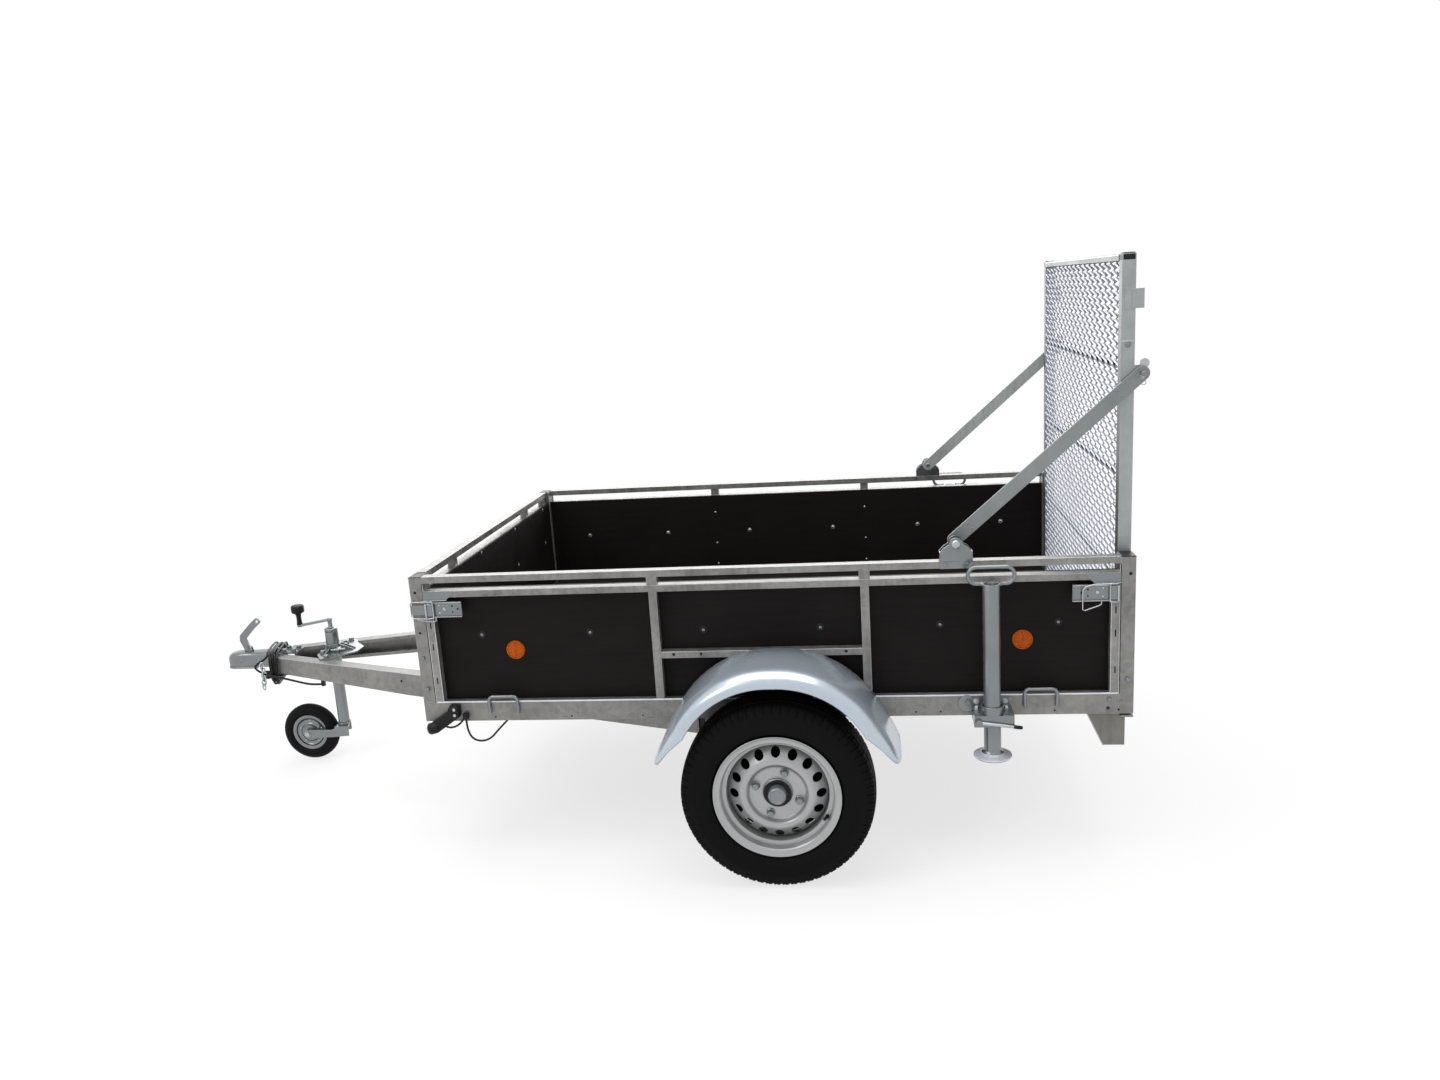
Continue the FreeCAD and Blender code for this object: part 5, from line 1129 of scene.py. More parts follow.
@dataclass
class CableSet:
    """The trailer cable: sagging lead, loose turns over the coupling neck, and plug."""

    shop: PaintShop
    radius: float = 0.004
    turns: float = 5.0
    points_per_turn: int = 14
    middle: Flat = (-1.414, 0.3902)
    half_width: float = 0.094
    rise: float = 0.0625
    spacing: float = 0.0066
    fan: float = 0.0016
    skew: float = 0.3

    def route(self) -> list[Vector]:
        """The route's points: lead, turns, and the way into the plug.

        Returns:
            The points.
        """
        lead = mm("-1175 -137.6 350, -1220 -126 344, -1268 -116 349, -1316 -106 357, -1364 -101.5 366, "
            "-1400 -105.5 376, -1436 -106.2 390, -1458 -104.5 412")
        start = 32.0
        count = round(self.turns * self.points_per_turn)
        coil = []
        for k in range(count + 1):
            share = k / count
            turn = (start + share * (360.0 * self.turns + 168.0 - start)) / 360.0
            angle = 2 * pi * turn
            lap = turn - self.turns / 2 - 0.3
            across, above = cos(angle), sin(angle)
            loose = sin(turn * 2.4 + 0.7)
            wide = self.half_width + 0.0032 * sin(turn * 3.9)
            high = self.rise + (0.0042 * loose if above > 0 else 0.0055 * cos(turn * 3.1))
            y = -wide * copysign(abs(across) ** 0.5, across)
            z = self.middle[1] + high * copysign(abs(above) ** 0.5, above)
            x = self.middle[0] + lap * (self.spacing + self.fan * above) - self.skew * y
            coil.append((x, y, z))
        tail = mm("-1372 92 371, -1372.5 80 353.5, -1372.5 55 347.5, -1371.5 20 347.5, "
            "-1365.5 -12 350, -1365.5 -33.5 354.5, -1381.5 -40 355.3")
        return [Vector(p) for p in lead + coil + tail]

    def build(self) -> None:
        """Make the cable and its plug."""
        plug = self._plug()
        route = self.route()
        curve = bpy.data.curves.new("trailer_cable", "CURVE")
        curve.dimensions = "3D"
        spline = curve.splines.new("NURBS")
        spline.points.add(len(route) - 1)
        for spot, here in zip(spline.points, route):
            spot.co = (*here, 1.0)
        spline.order_u = 3
        spline.use_endpoint_u = True
        spline.resolution_u = 6
        curve.bevel_depth = self.radius
        curve.bevel_resolution = 3
        curve.use_fill_caps = True
        curve.materials.append(self.shop[Paint.CABLE])
        cable = bpy.data.objects.new("trailer_cable", curve)
        bpy.context.scene.collection.objects.link(cable)
        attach(cable, "chassis")
        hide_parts("cable_hank", "cable_lead")
        tuple(route[0])
        self._length(route)
        2 * self.radius
        LOG.info("trailer_cable: %d route points", len(route))

    def _length(self, route: Sequence[Vector]) -> float:
        """The smooth line's length: the midpoints' arcs of the route's own quadratic spline.

        Args:
            route: the route's points.

        Returns:
            The length to the millimetre.
        """
        total = 0.0
        ends = [route[0]] + [(a + b) / 2 for a, b in zip(route[1:-2], route[2:-1])] + [route[-1]]
        for k in range(len(ends) - 1):
            a, b, c = ends[k], route[k + 1], ends[k + 1]
            last = a
            for step in range(1, 9):
                t = step / 8
                here = a * (1 - t) ** 2 + b * 2 * t * (1 - t) + c * t * t
                total += (here - last).length
                last = here
        return round(total, 3)

    def _plug(self) -> bpy.types.Object:
        """A ribbed multi-pin plug with a tapered strain relief.

        Returns:
            The plug's object.
        """
        low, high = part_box("plug")
        y, z = (low.y + high.y) / 2, (low.z + high.z) / 2
        radius = (high.z - low.z) / 2
        piece = Forge("cable_plug", self.shop, Paint.PLASTIC)
        frame = facing((high.x, y, z), (-1, 0, 0))
        length = high.x - low.x
        profile = mm("0 0, 5.2 0, 6 12, 8.5 18, 11.2 20.5")
        for k in range(5):
            base = 0.0215 + k * 0.0052
            profile += [(u, base + v) for u, v in mm("11.8 0, 13.6 .8, 13.8 3.2, 11.8 4")]
        profile += mm("12.4 49, 15.2 50.5, r-.2 52, r 53.5, r l-6, r-.8 l-4.5, r-.8 l-1, r-2.2 l, "
            "r-3.5 l, r-4.2 l-8, 0 l-8", l=length, r=radius)
        piece.turned(profile, frame, 40)
        for a in around(9):
            spot = frame @ vec(0.0078 * cos(a), 0.0078 * sin(a), length - 0.008)
            piece.use(Paint.WIRE)
            piece.turned(mm("0 6, 1.1 5.5, 1.2 0"), facing(spot, (-1, 0, 0)), 8)
        return piece.finish("chassis", replaces=["plug"], smooth=40)


# ---------------------------------------------------------------- road wheels


@dataclass
class RoadWheel:
    """One road wheel: treaded tyre, pressed rim with its holes, hub and bolts."""

    shop: PaintShop
    side: Side
    radius: float = 0.278
    half_width: float = 0.0775
    plane: float = 0.862
    pitches: int = 70
    disc_holes: int = 16
    hole_ring: float = 0.124
    hole_radius: float = 0.0135
    bolt_ring: float = 0.065
    bolt_turn: float = 70.0
    face: float = 0.03

    def __post_init__(self) -> None:
        """Find the wheel's middle from its CAD tyre."""
        low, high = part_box("tyre_" + self.side.tag)
        middle = vec((low.x + high.x) / 2, self.side.value * self.plane, self.radius)
        self.frame = facing(middle, (0, self.side.value, 0))
        self.body = "wheel_" + self.side.tag

    def build(self) -> None:
        """Make tyre, rim and hub."""
        self._tyre()
        self._rim()
        self._hub()

    def _tyre_profile(self) -> list[tuple[float, float, float]]:
        """The tyre's section: (height across, radius, share of the shoulder's slot depth).

        Returns:
            The section's points from the right bead to the left one.
        """
        h, r = self.half_width, self.radius
        side = [(0.0562, 0.1655, 0), (0.0568, 0.174, 0), (0.058, 0.1822, 0), (0.0605, 0.1868, 0),
            (0.0655, 0.1895, 0), (0.0668, 0.1925, 0), (0.07, 0.197, 0), (0.0728, 0.2035, 0),
            (0.0735, 0.2042, 0), (0.0741, 0.2062, 0), (0.0752, 0.21, 0), (0.0765, 0.2165, 0),
            (h - 0.0002, 0.224, 0), (h, 0.229, 0), (0.0771, 0.2345, 0), (0.0774, 0.2358, 0),
            (0.0766, 0.2378, 0), (0.0752, 0.244, 0), (0.073, 0.2505, 0.0), (0.0718, 0.253, 0.35),
            (0.0705, 0.257, 0.6), (0.0685, 0.2625, 0.7), (0.0655, 0.268, 0.7),
            (0.0615, 0.2722, 0.55), (0.056, 0.2748, 0.35)]
        tread = [(0.048, r - 0.0022, 0.3), (0.0405, r - 0.0015, 0.25), (0.0385, r - 0.0016, 0.0),
            (0.037, r - 0.0075, 0), (0.033, r - 0.0075, 0), (0.0315, r - 0.0008, 0),
            (0.022, r - 0.0002, 0), (0.013, r, 0), (0.0115, r - 0.007, 0), (0.0075, r - 0.007, 0),
            (0.006, r, 0)]
        right = side + tread
        left = [(-a, b, c) for a, b, c in reversed(right)]
        return right + left

    def _tyre(self) -> None:
        """The tyre, with circumferential grooves and slots over its shoulders."""
        piece = Forge("road_tyre_" + self.side.tag, self.shop, Paint.RUBBER)
        profile = self._tyre_profile()
        steps = ((0.0, 0.0), (0.06, 1.0), (0.27, 1.0), (0.33, 0.0), (0.5, 0.0), (0.56, 0.45),
            (0.62, 0.45), (0.68, 0.0))
        rings = []
        slant = 0.35 / self.pitches * 2 * pi
        for pitch in range(self.pitches):
            for share, cut in steps:
                ring = []
                for across, radius, slot in profile:
                    angle = (pitch + share) / self.pitches * 2 * pi
                    angle += slant * min(1.0, abs(across) / 0.07) * (1 if across > 0 else -1)
                    deep = radius - 0.0052 * cut * slot
                    wide = across - copysign(0.0022 * cut * slot, across)
                    ring.append(self.frame @ vec(deep * cos(angle), deep * sin(angle), wide))
                rings.append(ring)
        piece.rings(rings, close_ring=False, close_row=True, caps=False)
        inner = mm("165.5 56.2, 172 48, 200 60, 235 67.5, 262 55, 268 20, 268 -20, 262 -55, 235 -67.5, "
            "200 -60, 172 -48, 165.5 -56.2")
        piece.turned(inner, self.frame, 72)
        for turn in (0.3, 2.4, 4.5):
            for across in (-0.074, 0.074):
                spot = self.frame @ vec(0.2465 * cos(turn), 0.2465 * sin(turn), across)
                way = self.frame.to_3x3() @ vec(0, 0, copysign(1.0, across))
                piece.dome(facing(spot, way), 0.0022, 0.0014)
        piece.finish(self.body, replaces=["tyre_" + self.side.tag], smooth=38)

    def _disc_height(self) -> list[Flat]:
        """The pressed disc's outer skin from its bore to the well: (radius, height).

        Returns:
            The skin's points.
        """
        f = self.face
        return [(u, f + v) for u, v
            in mm("42.5 0, 44 .6, 52 .6, 72 .4, 78.5 1, 81.5 3.5, 85.5 11.5, 88.5 15.5, 92.5 17.8, "
            "97.5 18.2, 103 17.2, 108 14, 112.5 10.8, 124 2.8, 133 -4.5, 136.5 -8.5, 140 -14, "
            "143.5 -18.5, 145.2 -21.5")]

    def _rim(self) -> None:
        """The rim's barrel and dished disc with round holes."""
        piece = Forge("road_rim_" + self.side.tag, self.shop, Paint.WHEEL)
        outer = self._disc_height()
        skin = outer + [(r, h - 0.0036) for r, h in reversed(outer)]
        piece.turned(skin, self.frame, 144, closed=True)
        lip = mm("150 30, 151.5 33.5, 160 35.2, 163.2 39.5, 164.5 50, 165 57.5, "
            "166.8 60.2, 176 60.5, 179.6 61.6, 181.6 64, 182.2 65.5, 181.6 66, 179.6 65.7, "
            "177.5 64, 173.5 61.8, 167.2 61.8, 164 61.2, 161.2 58, 160.8 48, 159.8 40.5, "
            "158 37.5, 150 36.6, 147.4 35, 146.2 31, 145.5 0")
        ring = lip + [(r, -h) for r, h in reversed(lip)]
        piece.turned(ring, self.frame, 144, closed=True)
        rim = piece.finish(self.body, replaces=["rim_" + self.side.tag], smooth=40)
        holes = Forge("holes", self.shop, Paint.WHEEL)
        for a in around(self.disc_holes):
            spot = self.frame @ vec(self.hole_ring * cos(a), self.hole_ring * sin(a), -0.02)
            way = self.frame.to_3x3() @ vec(0, 0, 1)
            holes.turned(mm("0 0, h 0, h 80, 0 80", h=self.hole_radius), facing(spot, way), 28)
        carve(rim, [holes])
        for edge in rim.data.edges:
            edge.use_edge_sharp = False
        marks = bmesh.new()
        marks.from_mesh(rim.data)
        for edge in marks.edges:
            edge.smooth = edge.calc_face_angle(pi) < radians(38)
        marks.to_mesh(rim.data)
        marks.free()

    def _hub(self) -> None:
        """Hub barrel, bolt flange, black ring, cap, wheel bolts and the valve."""
        f = self.face
        piece = Forge("hub_assembly_" + self.side.tag, self.shop, Paint.HUB)
        piece.turned(mm("15.05 -46, 36 -46, 36 f-16, 78 f-16, 78.2 f-4, 42.1 f-4, 42.1 f+2, 40 f+4, "
            "40 f+6", f=f), self.frame, 64)
        piece.use(Paint.SHADE)
        piece.turned(mm("36 -20, 140 -20, 144.5 -17, 144.5 -21.5, 141 -23.5, 36 -23.5"),
            self.frame, 64)
        piece.use(Paint.PLASTIC)
        piece.turned([(u, f + v) for u, v
            in mm("40 5, 40.5 7.4, 39.2 9.2, 33 10, 28.8 9.2, 28 7")], self.frame, 64)
        piece.use(Paint.BRIGHT)
        end = f + 0.0338
        piece.turned(mm("28.4 f+6, 28 f+11, 26.8 f+12.5, 26.5 n-8, 25.2 n-4, 21.5 n-1.2, 19.5 n-.8, "
            "18.5 n-2, 10.5 n-2.2, 0 n-2", n=end, f=f), self.frame, 64)
        for k in range(4):
            a = radians(self.bolt_turn + 90 * k)
            where = vec(self.bolt_ring * cos(a), self.bolt_ring * sin(a), f)
            spot = self.frame @ where
            way = self.frame.to_3x3() @ vec(0, 0, 1)
            base = facing(spot, way, 0.4 * k)
            piece.turned(mm("0 0, 12.5 .4, 13 1.2, 11.2 3.4, 10 4"), base, 32)
            piece.bolt(base @ moved(0, 0, 0.0034), 0.0185, 0.012)
        piece.use(Paint.PLASTIC)
        a = radians(-27.0)
        spot = self.frame @ vec(0.1555 * cos(a), 0.1555 * sin(a), 0.033)
        way = self.frame.to_3x3() @ vec(-0.3 * cos(a), -0.3 * sin(a), 1)
        piece.turned(mm("0 0, 7.5 0, 7.2 3.5, 5 6, 4 20, 3.7 21.5, 4.8 22, 4.8 30, 3.8 31.5, 0 31.5"),
            facing(spot, way), 20)
        piece.finish(self.body, replaces=["hub_" + self.side.tag], bevel=0.0006,
            smooth=40)


# ---------------------------------------------------------------- ramp


@dataclass
class Ramp:
    """The ramp's expanded mesh, caps, corner clips and weld beads."""

    shop: PaintShop
    long_way: float = 0.076
    short_way: float = 0.037
    strand: float = 0.0088
    sheet: float = 0.0022
    tilt: float = 38.0
    bond: float = 0.01
    hinge: float = 0.47
    band: float = 1.465
    weld_line: float = 0.6192
    welds: tuple[float, ...] = (0.03, 0.33, 0.63, 0.93, 1.223)

    def build(self) -> None:
        """Make the ramp's pieces."""
        self._mesh()
        self._fittings()

    def _mesh(self) -> None:
        """Raised diamond mesh: zigzag strands, all leaning the same way, joined where they meet."""
        low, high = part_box("ramp_mesh")
        piece = Forge("expanded_mesh", self.shop, Paint.STRAND)
        lean = radians(self.tilt)
        half_wide = vec(cos(lean), 0, sin(lean)) * (self.strand / 2)
        x = (low.x + high.x) / 2 - 0.001
        rows = int((high.z - low.z) / (self.short_way / 2)) + 1
        half = self.long_way / 2
        swing = self.short_way / 4 - self.strand / 2 * sin(lean)
        reach = high.y - 0.001
        for row in range(rows):
            level = high.z - 0.012 - row * self.short_way / 2
            if level - swing < low.z:
                break
            points: list[Point] = []
            column = -ceil(reach / half)
            while column * half < reach + half:
                up = 1.0 if (column + row) % 2 == 0 else -1.0
                for shift in (-self.bond / 2, self.bond / 2):
                    points.append((column * half + shift, level + up * swing, x - up * half_wide.x))
                column += 1
            clipped = self._clip(points, reach)
            rings = []
            for k, (y, z, depth) in enumerate(clipped):
                before = clipped[max(0, k - 1)]
                after = clipped[min(len(clipped) - 1, k + 1)]
                along = vec(after[2] - before[2], after[0] - before[0],
                    after[1] - before[1]).normalized()
                thick = along.cross(half_wide).normalized() * (self.sheet / 2)
                here = vec(depth, y, z)
                rings.append([here - half_wide - thick, here - half_wide * 0.1 - thick,
                    here + half_wide - thick, here + half_wide + thick, here - half_wide + thick])
            rises = [second[1] - first[1] for first, second in zip(clipped, clipped[1:])]
            # Each face takes a lit or a shaded copy of the strand zinc: painted highlight and painted shade.
            piece.rings(rings, tint=lambda step, side: self._tint(rises[step], side))
        # Along the mesh's top: a grey band, and over it a thin paler strip that paints the highlight on the
        # top bar's edge.
        piece.use(Paint.RAMP)
        piece.block((low.x - 0.006, low.y + 0.001, high.z - 0.016),
            (low.x - 0.004, high.y - 0.001, high.z - 0.0024))
        piece.use(Paint.WIRE)
        piece.block((low.x - 0.006, low.y + 0.001, high.z - 0.0022),
            (high.x + 0.019, high.y - 0.001, high.z - 0.0002))
        piece.finish("ramp", replaces=["ramp_mesh"], smooth=25)

    @staticmethod
    def _tint(rise: float, side: int) -> Paint:
        """The finish of a strand's face: a pale copy of the zinc on the cut edge and the face beside it on
        each rising strand, as a painted highlight; a darker copy on falling strands, as painted shade; the
        strand's mid tone elsewhere.

        Args:
            rise: how far the strand climbs over the step.
            side: which of the section's faces it is.

        Returns:
            The finish.
        """
        if rise < -1e-5:
            return Paint.STRAND_DIM
        if rise > 1e-5 and side in (0, 4):
            return Paint.STRAND
        return Paint.STRAND_MID

    @staticmethod
    def _clip(points: Sequence[Point], reach: float) -> list[Point]:
        """Cut a strand's line off at the mesh's two edges.

        Args:
            points: the strand's (y, z, x) points from left to right.
            reach: how far the mesh goes to each side.

        Returns:
            The points inside, with new ends on the edges.
        """
        kept: list[Point] = []
        for first, second in zip(points, points[1:]):
            if second[0] <= -reach or first[0] >= reach:
                continue
            ends = []
            for y in (max(first[0], -reach), min(second[0], reach)):
                share = (y - first[0]) / (second[0] - first[0])
                ends.append((y, *(p + (q - p) * share for p, q in zip(first[1:], second[1:]))))
            kept += ends[1:] if kept else ends
        return kept

    def _fittings(self) -> None:
        """Chamfered caps, corner clips with their rivets, and weld beads."""
        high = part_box("ramp_frame")[1]
        cap_low, cap_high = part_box("ramp_caps")
        cap = Forge("ramp_cap_set", self.shop, Paint.PLASTIC)
        for side in Side:
            s = side.value
            tag = side.tag
            y_mid = s * (high.y - 0.018)
            x_mid = cap_low.x + 0.018
            self._cap(cap, vec(x_mid, y_mid, cap_low.z - 0.0165), 0.0183,
                cap_high.z - cap_low.z + 0.0165)
            fitting = Forge("ramp_fittings_" + tag, self.shop, Paint.RAMP)
            z0 = high.z - 0.144
            outer = s * (high.y - 0.0005)
            inner = outer - s * 0.0165
            x0 = cap_low.x + 0.036
            points = [(x0, inner), (x0 + 0.0215, inner), (x0 + 0.0215, outer),
                (x0 - 0.009, outer + s * 0.0008)]
            wall = 0.0016
            for (xa, ya), (xb, yb) in zip(points, points[1:]):
                fitting.block((min(xa, xb) - wall / 2, min(ya, yb) - wall / 2, z0 + 0.0005),
                    (max(xa, xb) + wall / 2, max(ya, yb) + wall / 2, z0 + 0.052))
            y0, y1 = outer + s * 0.0003, outer + s * 0.0014
            fitting.block((x0 - 0.029, y0, z0 - 0.002), (x0 - 0.0104, y1, z0 + 0.054))
            fitting.use(Paint.WIRE)
            fitting.block((cap_low.x - 0.0004, y0, self.band + 0.007),
                (cap_low.x + 0.0364, y1, self.band + 0.011))
            fitting.use(Paint.BRIGHT)
            fitting.dome(facing((x_mid, s * high.y - s * 0.0002, self.band), (0, s, 0)),
                0.0075, 0.0012, 0.0095)
            fitting.finish("ramp", bevel=0.0004)
        cap.finish("ramp", bevel=0.0006, replaces=["ramp_caps"])
        bars = Forge("ramp_welds", self.shop, Paint.RAMP)
        for rise in self.welds:
            z = self.hinge + rise
            for s in (-1, 1):
                for lift in (-0.0102, 0.0102):
                    y = s * self.weld_line
                    path = [vec(cap_low.x + 0.009 + 0.018 * k / 6, y - s * 0.0006,
                        z + lift + 0.0004 * sin(k * 2.1)) for k in range(7)]
                    bars.swept(path, 0.0018, 8)
        bars.finish("ramp", smooth=60)

    @staticmethod
    def _cap(piece: Forge, base: Vector, half: float, height: float) -> None:
        """A plastic cap over a square tube's end, with chamfered corners and top.

        Args:
            piece: the piece that it is added to.
            base: the middle of its foot.
            half: half its width.
            height: its height.
        """
        rings = []
        for inset, rise, corner in ((0.0, 0.0, 0.003), (0.0, height * 0.72, 0.003),
                (0.0028, height, 0.004)):
            reach = half - inset
            ring = []
            for sx, sy in ((1, 1), (-1, 1), (-1, -1), (1, -1)):
                first = vec(sx * reach, sy * (reach - corner), 0)
                second = vec(sx * (reach - corner), sy * reach, 0)
                pair = [first, second] if sx * sy > 0 else [second, first]
                ring += [base + p + vec(0, 0, rise) for p in pair]
            rings.append(ring)
        piece.rings(rings)


# ---------------------------------------------------------------- mudguards


@dataclass
class Mudguard:
    """A pressed mudguard: flat crown, rounded shoulder, tapering lip and inner flange."""

    shop: PaintShop
    side: Side
    width: float = 0.225
    shoulder: float = 0.036
    sweep_in: float = 0.06
    bulge: float = 0.004
    lip: float = 0.044
    flange: float = 0.022
    sheet: float = 0.0025
    flat: float = 0.012
    corner: float = 0.32
    turn: float = 62.0
    top: float = 0.652
    tip: float = 0.3755

    def _stations(self) -> list[tuple[float, float, float, float]]:
        """Places along the arch: x, z, the outward normal's angle and the lip's share.

        Returns:
            The places from the front tip to the rear one.
        """
        half = []
        bend = radians(self.turn)
        foot = (self.flat + self.corner * sin(bend), self.top - self.corner + self.corner
            * cos(bend))
        run = (foot[1] - self.tip) / sin(bend)
        for k in range(20):
            share = k / 20
            gone = run * (1 - (1 - share) ** 1.4)
            from_tip = run - gone
            puff = self.bulge * sin(pi * gone / run)
            x = foot[0] + cos(bend) * gone + sin(bend) * puff
            z = foot[1] - sin(bend) * gone + cos(bend) * puff
            half.append((x, z, bend, 0.05 + 0.95 * (from_tip / run) ** 0.9))
        half.append((foot[0] + cos(bend) * run, self.tip, bend, 0.03))
        arc = []
        for k in range(1, 25):
            a = bend * (1 - k / 24)
            arc.append((self.flat + self.corner * sin(a), self.top - self.corner + self.corner
                * cos(a), a, 1.0))
        right = list(reversed(half)) + arc
        left = [(-x, z, -a, share) for x, z, a, share in reversed(right)]
        return right + left

    def build(self) -> None:
        """Sweep the section over the arch."""
        tag = self.side.tag
        low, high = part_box("mudguard_" + tag)
        middle = (low.x + high.x) / 2
        inner = min(abs(low.y), abs(high.y))
        piece = Forge("mudguard_shell_" + tag, self.shop, Paint.GUARD)
        stations = self._stations()
        rings = []
        total = len(stations)
        for k, (x, z, angle, share) in enumerate(stations):
            near_end = min(k, total - 1 - k)
            rounding = max(0.0, 1.0 - near_end / 13.0)
            pull = 0.062 * (1 - sqrt(max(0.0, 1 - 0.96 * rounding ** 2)))
            normal = vec(sin(angle), 0, cos(angle))
            base = vec(middle + x, 0, z)
            ring = []
            for across, depth in self._section(share, pull):
                spot = base - normal * depth
                spot.y = self.side.value * (inner + across)
                spot.z = max(spot.z, self.tip)
                ring.append(spot)
            rings.append(ring)
        piece.rings(rings)
        self._fixings(piece, middle, inner)
        piece.finish("chassis", replaces=["mudguard_" + tag], smooth=48)

    def _section(self, share: float, pull: float) -> list[Flat]:
        """The sheet's section: (across, depth) from the inner flange out to the lip and back.

        Args:
            share: the lip's share of its full depth.
            pull: how much narrower the sheet is here.

        Returns:
            The section's points.
        """
        width = self.width - pull
        radius = self.shoulder * (0.2 + 0.8 * share)
        run = min(self.sweep_in, width * 0.45) * (0.6 + 0.4 * share)
        lip = max(radius * 0.5 + 0.002, self.lip * share)
        sheet = self.sheet
        flange = max(0.006, self.flange * min(1.0, share * 1.3))
        outer: list[Flat] = mm("0 f, 0 4, 1.2 1.2, 4 0", f=flange)
        outer += [(width * s, 0.0) for s in (0.25, 0.45, 0.6)]
        for a in arc(0, 90, 10):
            outer.append((width - run + run * sin(a), radius * (1 - cos(a))))
        outer.append((width, max(lip, radius + 0.0015) - 0.001))
        edge = outer[-1][1]
        bead = [(width - 0.0008, edge + 0.0022), (width - 0.0028, edge + 0.0034),
            (width - 0.0062, edge + 0.003), (width - 0.0074, edge + 0.0016),
            (width - 0.006, edge + 0.0006), (width - sheet, edge)]
        inner: list[Flat] = []
        for a in arc(90, 0, 10):
            inner.append((width - run + (run - sheet) * sin(a), radius - (radius - sheet) * cos(a)))
        inner += [(width * s, sheet) for s in (0.6, 0.45, 0.25)]
        inner += [(0.005, sheet), (sheet, 0.005), (sheet, flange)]
        return outer + bead + inner

    def _fixings(self, piece: Forge, middle: float, inner: float) -> None:
        """Bolts along the inner flange.

        Args:
            piece: the piece that it is added to.
            middle: the arch's middle along the trailer.
            inner: how far out its inner edge is.
        """
        s = self.side.value
        piece.use(Paint.BRIGHT)
        for x in (-0.235, -0.1, 0.1, 0.235):
            z = self.top - 0.011
            if abs(x) > self.flat:
                z -= self.corner - sqrt(self.corner ** 2 - (abs(x) - self.flat) ** 2) + 0.004
            spot = (middle + x, s * (inner + self.sheet), z)
            piece.bolt(facing(spot, (0, s, 0), 0.3), 0.013, 0.0055, 0.01)


# ---------------------------------------------------------------- coupling


@dataclass
class Coupling:
    """The pressed ball coupling, its raised handle, tongue bolts and a short chain."""

    shop: PaintShop
    nose: float = 0.036
    neck: float = 0.034
    head_end: float = 0.09
    arms_top: float = 0.435
    chain_top: Point = (-1.418, -0.112, 0.416)

    def build(self) -> None:
        """Make head, handle and fixings."""
        low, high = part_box("coupling_head")
        self.ball = low.x + self.nose
        self.low, self.high = low, high
        self._head()
        self._handle()
        self._fixings()

    def _head(self) -> None:
        """The pressed shell, lofted from its nose to its tongue, over a rolled flange."""
        piece = Forge("coupling_shell", self.shop, Paint.BRIGHT)
        floor = self.low.z
        roof = self.high.z
        steel = 0.005
        rings_out, rings_in = [], []
        # Columns: along from the ball, half width, crown height above the floor.
        table = mm("-32.5 6 20, -31.8 10.5 32, -29.8 16 41.5, -26.2 21 48, -20 25.6 53, -10 29.5 56.8, "
            "5 31.8 59.2, 20 31.8 60.4, 35 31.2 60.8, 48 30 60.4, 60 29 60, 75 29 60, "
            "90 30 60.4, 110 31.8 61.2, 132 33.5 62, 150 34 62, 186 34 62")
        for along, half, height in table:
            x = self.ball + along
            top = min(floor + height, roof)
            ring = self._arch(x, half, floor + 0.006, top, 0.01)
            rings_out.append(ring)
            rings_in.append(self._arch(x, half - steel, floor + 0.006, top - steel, 0.007))
        shell = [a + list(reversed(b)) for a, b in zip(rings_out, rings_in)]
        piece.rings(shell)
        self._flange(piece, floor)
        tongue = [(self.ball + 0.184, -self.neck), (self.ball + 0.258, -self.neck),
            (self.ball + 0.26, -self.neck + 0.004), (self.ball + 0.26, self.neck - 0.004),
            (self.ball + 0.258, self.neck), (self.ball + 0.184, self.neck)]
        piece.plate(tongue, moved(0, 0, self.arms_top + 0.0002), 0.0058)
        cup = facing((self.ball, 0, floor + 0.0005), (0, 0, 1))
        piece.turned(mm("31.2 6, 26.2 6, 25.6 12, 25.5 40, 23.5 47.5, 18 51, 0 52, 0 56, 20.5 54.5, 27.5 49, "
            "29.5 40"), cup, 40)
        for along in (0.028, 0.1):
            for s in (-1, 1):
                piece.dome(facing((self.ball + along, s * 0.0305, floor + 0.03), (0, s, 0)),
                    0.0055, 0.0028)
        piece.finish("chassis", bevel=0.0008, replaces=["coupling_head"], smooth=42)

    @staticmethod
    def _arch(x: float, half: float, low: float, top: float, corner: float) -> list[Vector]:
        """One arch of the shell across the trailer, from the left foot over to the right.

        Args:
            x: its place along the trailer.
            half: its half width.
            low: its feet's height.
            top: its crown's height.
            corner: the radius of its two upper corners.

        Returns:
            The arch's points.
        """
        round_of = min(corner * 1.4, half * 0.75, (top - low) * 0.6)
        points = [vec(x, -half, low), vec(x, -half, (low + top - round_of) / 2)]
        for a in arc(0, 90, 5):
            points.append(vec(x, -half + round_of * (1 - cos(a)), top - round_of * (1 - sin(a))))
        points.append(vec(x, 0.0, top))
        for a in arc(90, 0, 5):
            points.append(vec(x, half - round_of * (1 - cos(a)), top - round_of * (1 - sin(a))))
        points += [vec(x, half, (low + top - round_of) / 2), vec(x, half, low)]
        return points

    def _flange(self, piece: Forge, floor: float) -> None:
        """The flange round the nose's lower edge.

        Args:
            piece: the piece that it is added to.
            floor: the flange's lower face.
        """
        outline: list[Flat] = []
        inline: list[Flat] = []
        end = self.ball + self.head_end + 0.004
        outline.append((end, -0.0358))
        inline.append((end, -0.0262))
        for a in arc(-90, -270, 20):
            outline.append((self.ball + 0.0359 * cos(a), 0.0359 * sin(a)))
            inline.append((self.ball + 0.0262 * cos(a), 0.0262 * sin(a)))
        outline.append((end, 0.0358))
        inline.append((end, 0.0262))
        rings = []
        for (xo, yo), (xi, yi) in zip(outline, inline):
            xm, ym = xi + (xo - xi) * 0.8, yi + (yo - yi) * 0.8
            rings.append([vec(xi, yi, floor + 0.0075), vec(xm, ym, floor + 0.007),
                vec(xo, yo, floor + 0.0045), vec(xo, yo, floor + 0.001), vec(xm, ym, floor),
                vec(xi, yi, floor + 0.0015)])
        piece.rings(rings)

